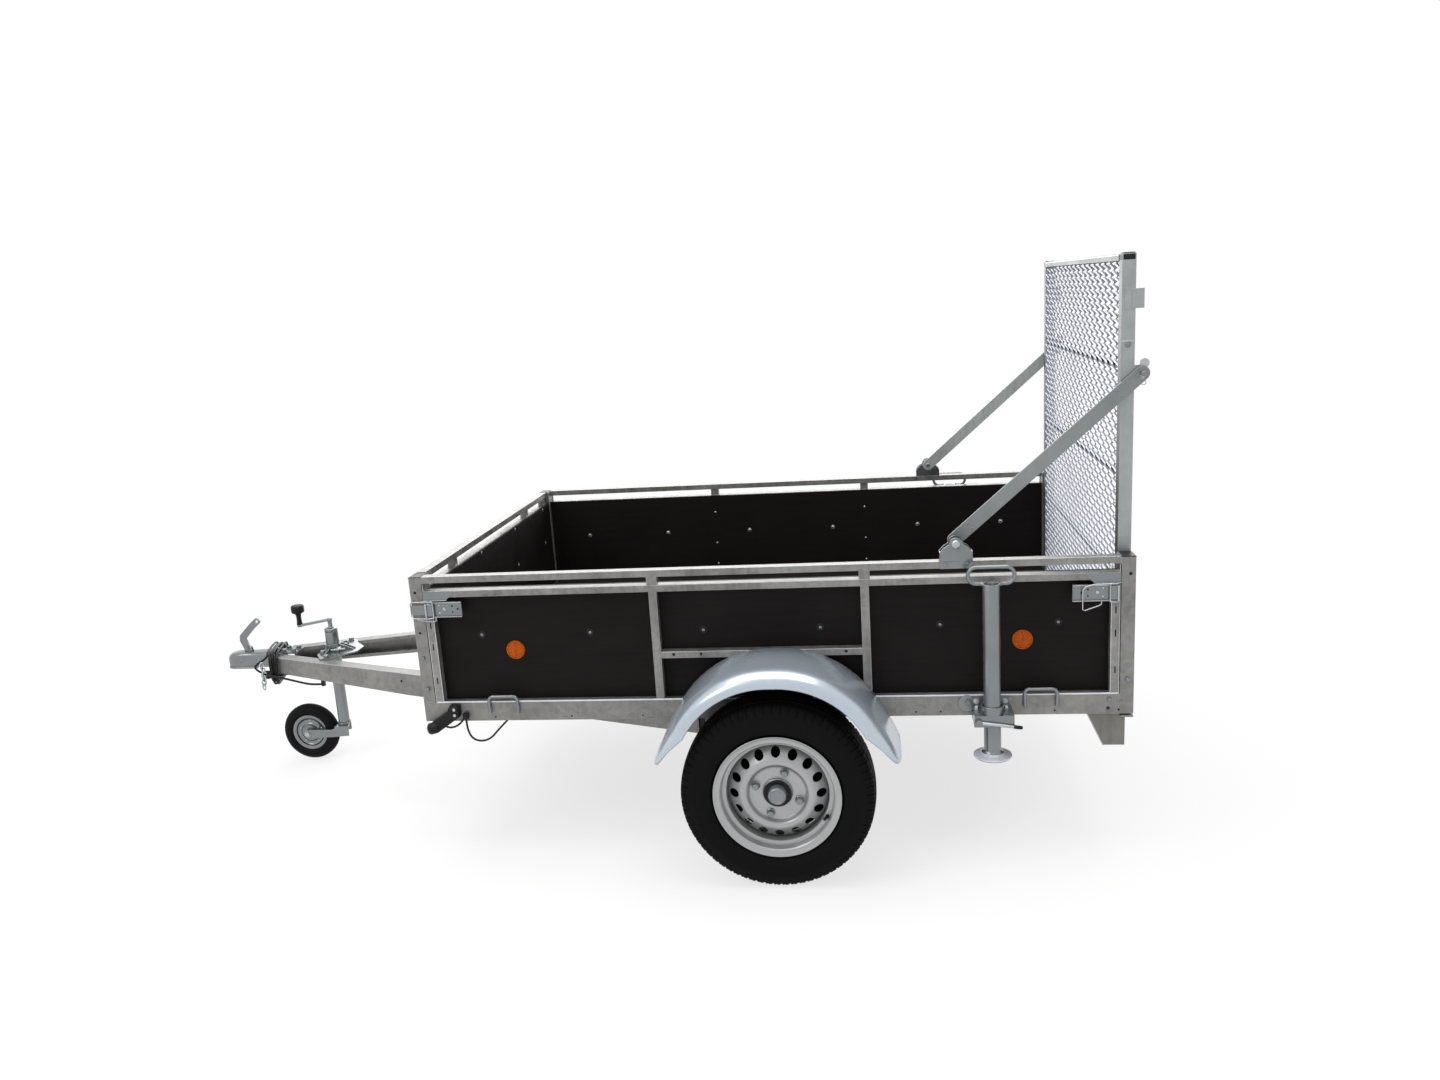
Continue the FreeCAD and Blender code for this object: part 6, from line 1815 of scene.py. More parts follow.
    def _handle(self) -> None:
        """The bent flat-bar handle with its eye, edge lines and pivot bolts."""
        piece = Forge("coupling_lever", self.shop, Paint.BRIGHT)
        roof = self.high.z
        line = mm("50 -10, 42.5 12, 33 35, 34.5 47, 48 61, 76 88, 100 108")
        half_width = (0.0135, 0.014, 0.0142, 0.0142, 0.0134, 0.0128, 0.013)
        rings = []

        def bar(here: Vector, half: Vector) -> list[Vector]:
            """The four corners of the bar's section."""
            return [here + half * u + vec(0, v, 0) for u, v in ((1, -0.0038), (1, 0.0038),
                (-1, 0.0038), (-1, -0.0038))]

        spots = [vec(self.ball + u, 0, roof + v) for u, v in line]
        for k, (here, wide) in enumerate(zip(spots, half_width)):
            before = spots[max(0, k - 1)]
            after = spots[min(len(spots) - 1, k + 1)]
            along = (after - before).normalized()
            side = vec(-along.z, 0, along.x) * wide
            rings.append(bar(here, side * 0.96))
        tip_along = (spots[-1] - spots[-2]).normalized()
        tip_side = vec(-tip_along.z, 0, tip_along.x) * half_width[-1]
        for step in (0.5, 0.8, 0.95):
            rings.append(bar(spots[-1] + tip_along * 0.0128 * step, tip_side * sqrt(1 - step ** 2)))
        piece.rings(rings)
        for s in (-1, 1):
            edge = [vec(self.ball + u - 0.01 * (1 if u > 0.04 else 0.6), s * 0.0035, roof + v)
                for u, v in line[2:6]]
            piece.swept(edge, 0.0012, 6)
        piece.use(Paint.WIRE)
        elbow = spots[2] + vec(0.004, 0, 0.003)
        piece.bolt(facing(elbow + vec(0, -0.0036, 0), (0, -1, 0), 0.2), 0.0042, 0.0001)
        lever = piece.finish("chassis", bevel=0.0008,
            replaces=["coupling_handle"], smooth=35)
        eye = Forge("eye", self.shop, Paint.BRIGHT)
        eye.turned(mm("0 0, 5.8 0, 5.8 30, 0 30"), facing(spots[-1] + vec(0, -0.015, 0),
            (0, 1, 0)), 24)
        carve(lever, [eye])
        fixings = Forge("coupling_lever_fixings", self.shop, Paint.BRIGHT)
        foot = spots[0] + vec(0.0, 0, 0.0085)
        cheek = mm("-16 0, 16 0, 12 16, 4 21, -4 21, -12 16")
        for s in (-1, 1):
            frame = moved(foot.x, s * 0.0062, roof - 0.0105) @ Matrix.Rotation(pi / 2, 4, "X")
            fixings.plate(cheek, frame @ moved(0, 0, -0.001), 0.0022)
        for s in (-1, 1):
            fixings.bolt(facing(foot + vec(0, s * 0.0074, 0.004), (0, s, 0), 0.5), 0.009, 0.0035)
        fixings.finish("chassis", bevel=0.0004)

    def _fixings(self) -> None:
        """The tongue's bolts, and the short chain that hangs beside the hank."""
        piece = Forge("coupling_fixings", self.shop, Paint.BRIGHT)
        for along in (0.205, 0.243):
            for y in (-0.02, 0.02):
                piece.bolt(facing((self.ball + along, y, self.arms_top + 0.006), (0, 0, 1),
                    14 * along), 0.016, 0.0085, 0.0125)
        piece.use(Paint.WIRE)
        for k in range(6):
            at = Vector(self.chain_top) + vec(0.004 * sin(k * 0.9), 0, -0.0165 * k)
            across = vec(0.94, -0.34, 0) if k % 2 else vec(0.5, 0.86, 0)
            ring = [at + across * 0.0075 * cos(a) + vec(0, 0, 0.0122) * sin(a) for a in around(18)]
            piece.swept(ring, 0.0027, 8, closed=True)
        piece.finish("chassis", bevel=0.0005)


# ---------------------------------------------------------------- jockey wheel


@dataclass
class JockeyWheel:
    """Clamp, tube, crank, leg, fork and the solid-tyred wheel."""

    shop: PaintShop
    tube: float = 0.024
    leg: float = 0.021
    arms_top: float = 0.435
    wheel_radius: float = 0.11
    rim_radius: float = 0.07
    wheel_width: float = 0.05
    hub_width: float = 0.062

    def build(self) -> None:
        """Make every piece from the tube's axis."""
        low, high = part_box("jockey_outer_tube")
        self.x = (low.x + high.x) / 2
        self.top, self.bottom = high.z, low.z
        self._clamp()
        self._tube()
        self._crank()
        self._leg()
        self._fork()
        self._wheel()

    def _clamp(self) -> None:
        """The clamp's plate on the arms, with a collar, gussets, bolts and a tommy bar."""
        low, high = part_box("jockey_clamp")
        piece = Forge("jockey_clamp_assembly", self.shop, Paint.BRIGHT)
        x, z = self.x, self.arms_top
        front, rear, reach = low.x + 0.001, high.x - 0.001, min(high.y - 0.001, 0.118)
        bore = 0.0252
        left = [(front, -0.06), (front + 0.006, -0.075), (x + 0.004, -reach), (x + 0.04, -reach),
            (x + 0.06, -0.08), (rear, -0.028), (rear, 0.0), (x + bore, 0.0)]
        left += [(x + bore * cos(a), -bore * sin(a)) for a in arc(0, 180, 12)[1:-1]]
        left += [(x - bore, 0.0), (front, 0.0)]
        right = [(u, -v) for u, v in reversed(left)]
        for outline in (left, right):
            piece.plate(outline, moved(0, 0, z + 0.0002), 0.0056)
        collar = facing((x, 0, z - 0.0238), (0, 0, 1))
        piece.turned(mm("24.2 0, 30 0, 31 1, 31 52.5, 30 53.5, 24.2 53.5"), collar, 64, closed=True)
        for s in (-1, 1):
            wing = mm("30 0, 86 0, 86 3, 56 10, 30 18")
            frame = moved(x + 0.0028, 0, z + 0.0056) @ Matrix.Rotation(pi / 2 * s, 4,
                "Z") @ Matrix.Rotation(pi / 2, 4, "X")
            piece.plate(wing, frame @ moved(0, 0, -0.003), 0.005)
        fin = mm("30 0, 84 0, 84 4, 52 16, 30 24")
        frame = moved(x, 0, z + 0.0056) @ Matrix.Rotation(pi / 2, 4, "X")
        for s in (-1, 1):
            piece.plate(fin, frame @ moved(0, 0, s * 0.009 - 0.002), 0.004)
        for u, v in ((x + 0.022, reach - 0.014), (front + 0.016, 0.052)):
            for s in (-1, 1):
                piece.bolt(facing((u, s * v, z + 0.0058), (0, 0, 1), 0.4), 0.017, 0.009, 0.0125)
        piece.use(Paint.WIRE)
        bolt_y = 0.036
        piece.swept([(x + 0.036, -bolt_y, z + 0.016), (x + 0.036, bolt_y, z + 0.016)], 0.005, 16)
        piece.bolt(facing((x + 0.036, bolt_y, z + 0.016), (0, 1, 0)), 0.014, 0.007, 0.011)
        piece.swept([(x + 0.036, -bolt_y - 0.002, z + 0.016), (x + 0.036, -bolt_y - 0.006,
            z + 0.016)], 0.0075, 16)
        piece.swept([(x + 0.01, -bolt_y - 0.004, z + 0.0135), (x + 0.036, -bolt_y - 0.004,
            z + 0.016), (x + 0.066, -bolt_y - 0.004, z + 0.019)], 0.0038, 12)
        piece.finish("chassis", bevel=0.0007, replaces=["jockey_clamp"], smooth=40)

    def _tube(self) -> None:
        """The outer tube: open foot, rolled top and a cap with its spindle seat."""
        piece = Forge("jockey_tube_sleeve", self.shop, Paint.BRIGHT)
        length = self.top - self.bottom
        r = self.tube
        frame = facing((self.x, 0, self.bottom), (0, 0, 1))
        piece.turned(mm("r-2.5 .8, r-.6 0, r .8, r l-16, r-.4 l-15, r-1 l-14, r-1 l-12.5, r-.2 l-11.5, "
            "r-.2 l-3, r-1.4 l-1, r-3 l-.4, 12.5 l-.6, 11.5 l-.2, 0 l-.2", l=length, r=r), frame, 64)
        piece.turned([(r - 0.0025, 0.0), (r - 0.0025, 0.15)], frame, 48)
        piece.use(Paint.CRANK)
        piece.turned([(u, length + v) for u, v in mm("12.2 -1, 12.2 0, 0 0")], frame, 32)
        piece.finish("chassis", replaces=["jockey_outer_tube"], smooth=40)

    def _crank(self) -> None:
        """Spindle, sloping arm, knob stem and mushroom knob."""
        low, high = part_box("jockey_crank")
        piece = Forge("jockey_crank_arm", self.shop, Paint.CRANK)
        x, top = self.x, self.top
        piece.turned(mm("11.8 .4, 11.8 3, 8.5 4.2, 8 6, 8 26, 8.8 27.5, 8.8 37, 7.6 37.8, 0 37.8"),
            facing((x, 0, top), (0, 0, 1)), 40)
        knob_x = low.x + 0.024
        arm_high = top + 0.0335
        arm_low = top + 0.011
        count = 9
        rings = []
        for k in range(count):
            share = k / (count - 1)
            here = vec(x + 0.007 + (knob_x - x - 0.012) * share, 0,
                arm_high + (arm_low - arm_high) * share)
            half_y = 0.0078 - 0.0016 * sin(pi * share)
            half_z = 0.0046
            rings.append([here + vec(0, -half_y, -half_z), here + vec(0, half_y, -half_z),
                here + vec(0, half_y, half_z), here + vec(0, -half_y, half_z)])
        piece.rings(rings)
        piece.turned(mm("0 -4.6, 9.2 -4.2, 10 -3, 10 3.6, 8.8 4.4, 0 4.4"),
            facing((knob_x, 0, arm_low), (0, 0, 1)), 32)
        piece.use(Paint.PLASTIC)
        base = arm_low + 0.0044
        rise = high.z - base
        piece.turned(mm("0 0, 10.5 .4, 11.2 2, 9.2 12, 8.8 r-46, 10.5 r-36, 16.5 r-31, 21.5 r-28.5, "
            "23.6 r-24, 23.9 r-10, 23.2 r-4, 21.2 r-1.2, 18 r-.2, 12 r, 0 r", r=rise),
            facing((knob_x, 0, base), (0, 0, 1)), 48)
        for a in around(16):
            spot = vec(knob_x + 0.023 * cos(a), 0.023 * sin(a), base + rise - 0.017)
            piece.swept([spot + vec(0, 0, -0.007), spot + vec(0, 0, 0.0085)], 0.001, 6)
        piece.finish("chassis", bevel=0.0007, replaces=["jockey_crank"], smooth=40)

    def _leg(self) -> None:
        """The sliding leg."""
        low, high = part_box("jockey_leg")
        piece = Forge("jockey_inner_leg", self.shop, Paint.BRIGHT)
        r = self.leg
        length = high.z - low.z
        piece.turned(mm("r-3 .5, r-.6 0, r .6, r 24, r 24.5, r l-.6, r-.6 l, r-3 l", l=length,
            r=r), facing((self.x, 0, low.z), (0, 0, 1)), 64, closed=True)
        piece.finish("jockey_leg", replaces=["jockey_leg"], smooth=40)

    def _fork(self) -> None:
        """The swivel head and the two cheeks of the fork."""
        piece = Forge("jockey_fork_pressing", self.shop, Paint.BRIGHT)
        x, z = self.x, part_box("jockey_fork")[1].z
        inner = self.hub_width / 2 + 0.001
        cheek_t = 0.0048
        piece.turned(mm("0 0, 24 0, 25 -1, 25 -9.5, 24.2 -10, 0 -10"),
            facing((x, 0, z), (0, 0, 1)), 48)
        head = mm("-24.5 -36.6, 30 -36.6, 8 36.6, -24.5 36.6")
        piece.plate(head, moved(x, 0, z - 0.0172), 0.0072)
        axle_x = (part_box("jockey_rim")[0].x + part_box("jockey_rim")[1].x) / 2
        down = self.wheel_radius - (z - 0.018)
        eye = []
        for a in arc(90, 270, 12):
            eye.append((axle_x - x + 0.0166 * cos(a), down + 0.0166 * sin(a)))
        for s, back in ((-1, 0.03), (1, 0.008)):
            outline = mm("b 7.8, -24 7.8, -26.2 0, -40 -5", b=back)
            outline += eye
            outline += [(-0.035, -0.035), (min(0.006, back - 0.006), -0.032), (back, -0.03)]
            frame = upright(x, s * inner, z - 0.018, 1, 1)
            start = frame @ moved(0, 0, 0.0 if s > 0 else -cheek_t)
            piece.plate(outline, start, cheek_t)
            rib = [vec(x - 0.02, s * (inner + cheek_t), z - 0.032),
                vec(x - 0.06, s * (inner + cheek_t), z - 0.038),
                vec(axle_x + 0.02, s * (inner + cheek_t), self.wheel_radius + 0.004)]
            piece.swept(rib, 0.0022, 8)
        piece.use(Paint.WIRE)
        for s in (-1, 1):
            base = facing((axle_x, s * (inner + cheek_t - 0.0002), self.wheel_radius), (0, s, 0),
                0.3)
            piece.bolt(base, 0.0175, 0.0062, 0.012)
        piece.swept([(axle_x, -inner - 0.004, self.wheel_radius),
            (axle_x, inner + 0.004, self.wheel_radius)], 0.0098, 20)
        piece.finish("jockey_fork", bevel=0.0007, replaces=["jockey_fork"], smooth=38)

    def _wheel(self) -> None:
        """The solid tyre with its ribs and the disc rim with its rings."""
        low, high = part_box("jockey_tyre")
        centre = vec((low.x + high.x) / 2, 0, self.wheel_radius)
        frame = facing(centre, (0, -1, 0))
        tyre = Forge("caster_tyre", self.shop, Paint.CASTER)
        r, w, seat = self.wheel_radius, self.wheel_width / 2, self.rim_radius
        half = mm("s+.2 16.5, s+2 w-6.8, s+5 w-4.8, s+9 w-1.4, s+12 w-.3, s+15 w, s+16.5 w-1, "
            "s+18 w-1.1, s+21 w-.6, s+24.5 w-2.2, r-11.5 w-4.6, r-8 w-6.8, r-5 w-9.8, "
            "r-2.2 w-13.8, r-.8 w-17.2, r-.4 6.2, r-2.4 5.4, r-2.4 3.6, r-.2 2.8, r 0", r=r,
            s=seat, w=w)
        ring = half + [(a, -b) for a, b in reversed(half[:-1])]
        tyre.turned(ring, frame, 96, closed=True)
        tyre.finish("jockey_wheel", replaces=["jockey_tyre"], smooth=38)
        rim = Forge("caster_rim", self.shop, Paint.BRIGHT)
        face = mm("10.05 30.8, 13.5 30.8, 14.8 30, 15.2 18, 17.5 12.8, 23 11.2, 27 11.8, 30 14.2, "
            "33.5 14.2, 36.5 11.2, 42 9.2, 48 9, 51.5 10.8, 54 14.8, 56 16.2, 58.5 16.8, "
            "60 18.2, 66 18.6, 69 17.8, 69.8 16.5")
        ring = face + [(a, -b) for a, b in reversed(face)]
        rim.turned(ring, frame, 96, closed=True)
        rim.use(Paint.SHADE)
        for s in (-1, 1):
            rim.turned([(0.053, s * 0.0137), (0.0545, s * 0.0157), (0.056, s * 0.0165)], frame, 96)
        rim.use(Paint.WIRE)
        for a in around(5, 0.3):
            for s in (-1, 1):
                spot = frame @ vec(0.0455 * cos(a), 0.0455 * sin(a), s * 0.009)
                rim.dome(facing(spot, frame.to_3x3() @ vec(0, 0, s)), 0.0042, 0.0022)
        rim.finish("jockey_wheel", replaces=["jockey_rim"], smooth=40)


# ---------------------------------------------------------------- rear stands


@dataclass
class RearStand:
    """A sliding prop stand: open tube, loop handle and flared foot."""

    shop: PaintShop
    side: Side
    radius: float = 0.024
    bore: float = 0.021
    foot: float = 0.054
    rod: float = 0.0055
    tube_top: float = 0.84

    def build(self) -> None:
        """Make the stand."""
        tag = self.side.tag
        low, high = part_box("stand_" + tag)
        x = (low.x + high.x) / 2
        y = self.side.value * (max(abs(low.y), abs(high.y)) - self.foot)
        piece = Forge("stand_prop_" + tag, self.shop, Paint.BRIGHT)
        base = facing((x, y, low.z), (0, 0, 1))
        length = self.tube_top - low.z
        r, f = self.radius, self.foot
        piece.turned(mm("0 1.2, f-6 0, f-2 .6, f 3, f-.6 5.8, f-6 7.8, 42 8.8, 36 10.5, 30.5 14.2, "
            "27.5 18, r+1 21.5, r 26, r l-.8, r-.6 l, b+.4 l, b l-.8, b 20, 0 20", f=f, l=length,
            r=r, b=self.bore), base, 64)
        piece.swept([(x - 0.0012, y - self.side.value * 0.0211, self.tube_top - 0.005),
            (x - 0.0012, y - self.side.value * 0.0211, low.z + 0.03)], 0.0008, 6)
        self._handle(piece, vec(x, y, self.tube_top), high.z)
        # A pale ring on the foot's flare: painted highlight.
        piece.use(Paint.STRAND)
        piece.turned(mm("f+.1 3.4, f-.4 6, f-5.8 8, 42.5 9, 36.5 10.7, 31 14.4", f=f), base, 64)
        piece.finish("stand_" + tag, replaces=["stand_" + tag], smooth=40)

    def _handle(self, piece: Forge, top: Vector, roof: float) -> None:
        """The bent-rod loop at the stand's top, welded to its sides.

        Args:
            piece: the piece that it is added to.
            top: the middle of the tube's end.
            roof: the loop's top.
        """
        rod = self.rod
        half, corner = 0.063, 0.0226
        high = roof - rod - top.z
        path: list[Vector] = []
        corners = ((half - corner, corner), (half - corner, high - corner),
            (-(half - corner), high - corner), (-(half - corner), corner))
        starts = (-90, 0, 90, 180)
        for (cx, cz), begin in zip(corners, starts):
            for a in arc(begin, begin + 90, 8):
                path.append(top + vec(cx + corner * cos(a), 0, cz + corner * sin(a)))
        path.append(top + vec(-self.radius * 0.96, 0, 0))
        path.insert(0, top + vec(self.radius * 0.96, 0, 0))
        piece.swept(path, rod, 16)
        for s in (-1, 1):
            piece.turned([(rod + u, v) for u, v in mm(".2 6, 1.6 3.5, 3 0")],
                facing(top + vec(s * self.radius * 0.97, 0, 0), (s, 0, 0)), 20)


@dataclass
class StandClamps:
    """The clamps that hold the rear stands: folded bracket, round ear, bolts and cam lever."""

    shop: PaintShop
    low: float = 0.4285
    top: float = 0.462
    wall: float = 0.7202
    front: float = 0.797
    hole: float = 0.0262

    def build(self) -> None:
        """Make both clamps in one piece."""
        piece = Forge("stand_clamp_set", self.shop, Paint.BRIGHT)
        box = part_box("stand_left")
        x = (box[0].x + box[1].x) / 2
        y = (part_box("stand_right")[0].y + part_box("stand_right")[1].y) / 2
        for side in Side:
            self._bracket(piece, side.value, x, y)
            self._lever(piece, side.value, x)
        piece.finish("chassis", bevel=0.0006, replaces=["stand_clamps"], smooth=38)

    def _slab(self, piece: Forge, s: float, low: Point, high: Point) -> None:
        """A block whose middle number counts outwards from the centreline."""
        piece.block((low[0], s * low[1], low[2]), (high[0], s * high[1], high[2]))

    def _bracket(self, piece: Forge, s: float, x: float, y: float) -> None:
        """The back plate, split flanges, front plate, split sleeve, ear and bolts.

        Args:
            piece: the piece that it is added to.
            s: the side's sign along Y.
            x: the stand's place along the trailer.
            y: the stand's distance from the centreline.
        """
        self._slab(piece, s, (x - 0.052, self.wall, self.low), (x + 0.058, self.wall + 0.004, 0.489))
        self._slab(piece, s, (x - 0.052, self.front - 0.004, self.low),
            (x + 0.058, self.front, self.top))
        for level in (self.low, self.top - 0.0035):
            for begin, end in ((-0.052, -self.hole), (self.hole, 0.058)):
                self._slab(piece, s, (x + begin, self.wall + 0.004, level),
                    (x + end, self.front - 0.004, level + 0.0035))
        for begin in (-0.052, 0.0545):
            self._slab(piece, s, (x + begin, self.wall + 0.004, self.low + 0.0035),
                (x + begin + 0.0035, self.front - 0.004, self.top - 0.0035))
        axis = facing((x, s * y, self.top - 0.001), (0, 0, 1))
        outer = self.hole + 0.005
        piece.turned(mm("h 0, o 0, o 23.5, o-1 24.5, h 24.5", o=outer, h=self.hole), axis, 48,
            closed=True)
        ear = facing((x - 0.066, s * self.wall, 0.4725), (0, s, 0))
        piece.turned(mm("0 0, 24.5 0, 25 .8, 25 3.4, 24.2 4.2, 0 4.2"), ear, 44)
        piece.bolt(ear @ moved(0.004, 0.004, 0.0042), 0.015, 0.0075, 0.0115, 0.003)
        piece.use(Paint.WIRE)
        for u in (-0.04, 0.04):
            piece.bolt(facing((x + u, s * 0.7405, self.top), (0, 0, 1), u * 9), 0.0135, 0.0085, 0.01)
            piece.bolt(facing((x + u, s * (self.wall + 0.004), 0.4785), (0, s, 0), u * 7),
                0.012, 0.0055, 0.009)
        piece.use(Paint.BRIGHT)

    def _lever(self, piece: Forge, s: float, x: float) -> None:
        """The cam, its drooping lever and the lever's black tip.

        Args:
            piece: the piece that it is added to.
            s: the side's sign along Y.
            x: the stand's place along the trailer.
        """
        face = s * (self.front + 0.006)
        pivot = vec(x - 0.04, s * self.front, 0.444)
        piece.turned(mm("0 0, 9.8 0, 9.8 11, 8.8 12, 0 12"), facing(pivot, (0, s, 0)), 28)
        start, end = vec(x - 0.042, face, 0.4445), vec(x + 0.079, face, 0.429)
        path = [start.lerp(end, k / 6) for k in range(7)]
        piece.use(Paint.WIRE)
        piece.swept(path, lambda share: 0.0058 - 0.0016 * share, 14, squash=0.75)
        piece.use(Paint.PLASTIC)
        tip = [start.lerp(end, 0.8 + 0.2 * k / 4) for k in range(5)]
        piece.swept(tip, lambda share: 0.0054 if share < 0.9 else 0.004, 14)
        piece.use(Paint.BRIGHT)


# ---------------------------------------------------------------- stays


@dataclass
class RampStay:
    """A folding stay: bar with rounded ends, pins, washers and a retaining disc."""

    shop: PaintShop
    side: Side
    foot: Flat = (1.091, 0.943)
    head: Flat = (1.595, 1.387)
    width: float = 0.04
    thick: float = 0.005
    plane: float = 0.66

    def _at(self, along: float, across: float, y: float) -> Vector:
        """A point on the bar's plane from its foot.

        Args:
            along: how far along the bar.
            across: how far across it.
            y: how far out it is.

        Returns:
            The point.
        """
        way = vec(self.head[0] - self.foot[0], 0, self.head[1] - self.foot[1]).normalized()
        side = vec(-way.z, 0, way.x)
        here = vec(self.foot[0], self.side.value * y, self.foot[1])
        return here + way * along + side * across

    def build(self) -> None:
        """Make the flat bar, its rounded ends and both pins."""
        s = self.side.value
        # The right-hand stay takes a paler copy of the stay zinc: painted light.
        piece = Forge("stay_bar_" + self.side.tag, self.shop, Paint.STAY
            if self.side is Side.LEFT else Paint.STAY_PALE)
        length = dist(self.foot, self.head)
        r = self.width / 2
        outline: list[Flat] = []
        for centre, begin in ((length, -90), (0.0, 90)):
            for a in arc(begin, begin + 180, 16):
                outline.append((centre + r * cos(a), r * sin(a)))
        chamfer = 0.0007
        rings = []
        for inset, depth in ((chamfer, 0.0), (0.0, chamfer), (0.0, self.thick - chamfer),
                (chamfer, self.thick)):
            rings.append([self._at(u * (1 - inset / length * 2) + inset, v * (1 - inset / r),
                self.plane + depth) for u, v in outline])
        piece.rings(rings)
        piece.use(Paint.BRIGHT)
        for along in (0.06, length - 0.078):
            for lift in (0.01, -0.01):
                base = self._at(along, lift, self.plane + self.thick - 0.0001)
                piece.dome(facing(base, (0, s, 0)), 0.0032, 0.0012)
        depth, span = 0.6552, 0.03
        for along in (length, 0.0):
            frame = facing(self._at(along, 0, depth), (0, s, 0))
            piece.turned(mm("0 0, 6 0, 6.9 1, 6.9 s-1, 6 s, 0 s", s=span), frame, 28)
            if along:
                plate = self.plane + self.thick - depth
                piece.turned([(u, plate + v) for u, v
                    in mm("6.9 0, 12.5 0, 13 .6, 13 1.6, 6.9 1.8")], frame, 32)
        piece.use(Paint.WIRE)
        nut = facing(self._at(length - 0.004, -0.004, self.plane + self.thick), (0, s, 0), 0.3)
        piece.bolt(nut, 0.012, 0.007, 0.0092, 0.004)
        disc = vec(self.head[0] + 0.006, s * (self.plane - 0.0022), self.head[1] + 0.0265)
        piece.turned(mm("0 0, 11.8 0, 12.8 .8, 12.8 2, 11.2 2.8, 0 3"), facing(disc, (0, s, 0)), 36)
        pin = vec(self.head[0] + 0.004, s * (self.plane + 0.0014), self.head[1] - 0.0255)
        ring = [pin + vec(0.0062 * cos(a), 0, 0.0062 * sin(a)) for a in around(20)]
        piece.swept(ring, 0.0012, 8, closed=True)
        piece.finish("stay_" + self.side.tag, replaces=["stay_"
            + self.side.tag], smooth=30)


@dataclass
class StayBrackets:
    """The folded brackets that straddle the top rails and carry the stays."""

    shop: PaintShop
    foot: Flat = (1.091, 0.943)
    rail_top: float = 0.8952
    outer: float = 0.72
    inner: float = 0.6903
    sheet: float = 0.003
    half: float = 0.0455

    def build(self) -> None:
        """Make both brackets in one piece."""
        piece = Forge("stay_bracket_set", self.shop, Paint.BRIGHT)
        for side in Side:
            self._one(piece, side.value)
        piece.finish("chassis", bevel=0.0005, replaces=["stay_brackets"], smooth=35)

    def _one(self, piece: Forge, s: float) -> None:
        """One bracket: outer and inner cheeks, deck, folded sides, pivot bolt and nuts.

        Args:
            piece: the piece that it is added to.
            s: the side's sign along Y.
        """
        x, z = self.foot
        t, half = self.sheet, self.half
        crown = [(0.0195 * cos(a), z + 0.0195 * sin(a)) for a in arc(0, 180, 12)]
        shoulders = [(half, 0.921), (0.034, 0.934)] + crown + [(-0.034, 0.934), (-half, 0.921)]
        for place, bottom in ((self.outer, 0.874), (self.inner, self.rail_top)):
            frame = upright(x, s * place, 0, 1, 1)
            outline = [(-half, bottom), (half, bottom)] + shoulders
            piece.plate(outline, frame @ moved(0, 0, 0 if s > 0 else -t), t)
        near, far = s * self.inner, s * (self.outer + t)
        piece.block((x - half, near, self.rail_top), (x + half, far, self.rail_top + t))
        for begin in (-half, half - t):
            piece.block((x + begin, near, self.rail_top), (x + begin + t, far, 0.921))
        piece.swept([(x, s * self.inner, z), (x, s * (self.outer + t), z)], 0.0069, 24)
        base = facing((x, s * (self.outer + t - 0.0002), z), (0, s, 0), 0.25)
        piece.use(Paint.WIRE)
        piece.turned(mm("0 0, 12.8 0, 13 .6, 12.2 3, 9.5 5.2, 5 6.4, 0 6.8"), base, 36)
        piece.use(Paint.BRIGHT)
        for u in (-0.03, 0.03):
            piece.bolt(facing((x + u, s * (self.outer + t - 0.0002), 0.886), (0, s, 0),
                u * 9), 0.0105, 0.0048, 0.0075)


# ---------------------------------------------------------------- latches, loops and lamps


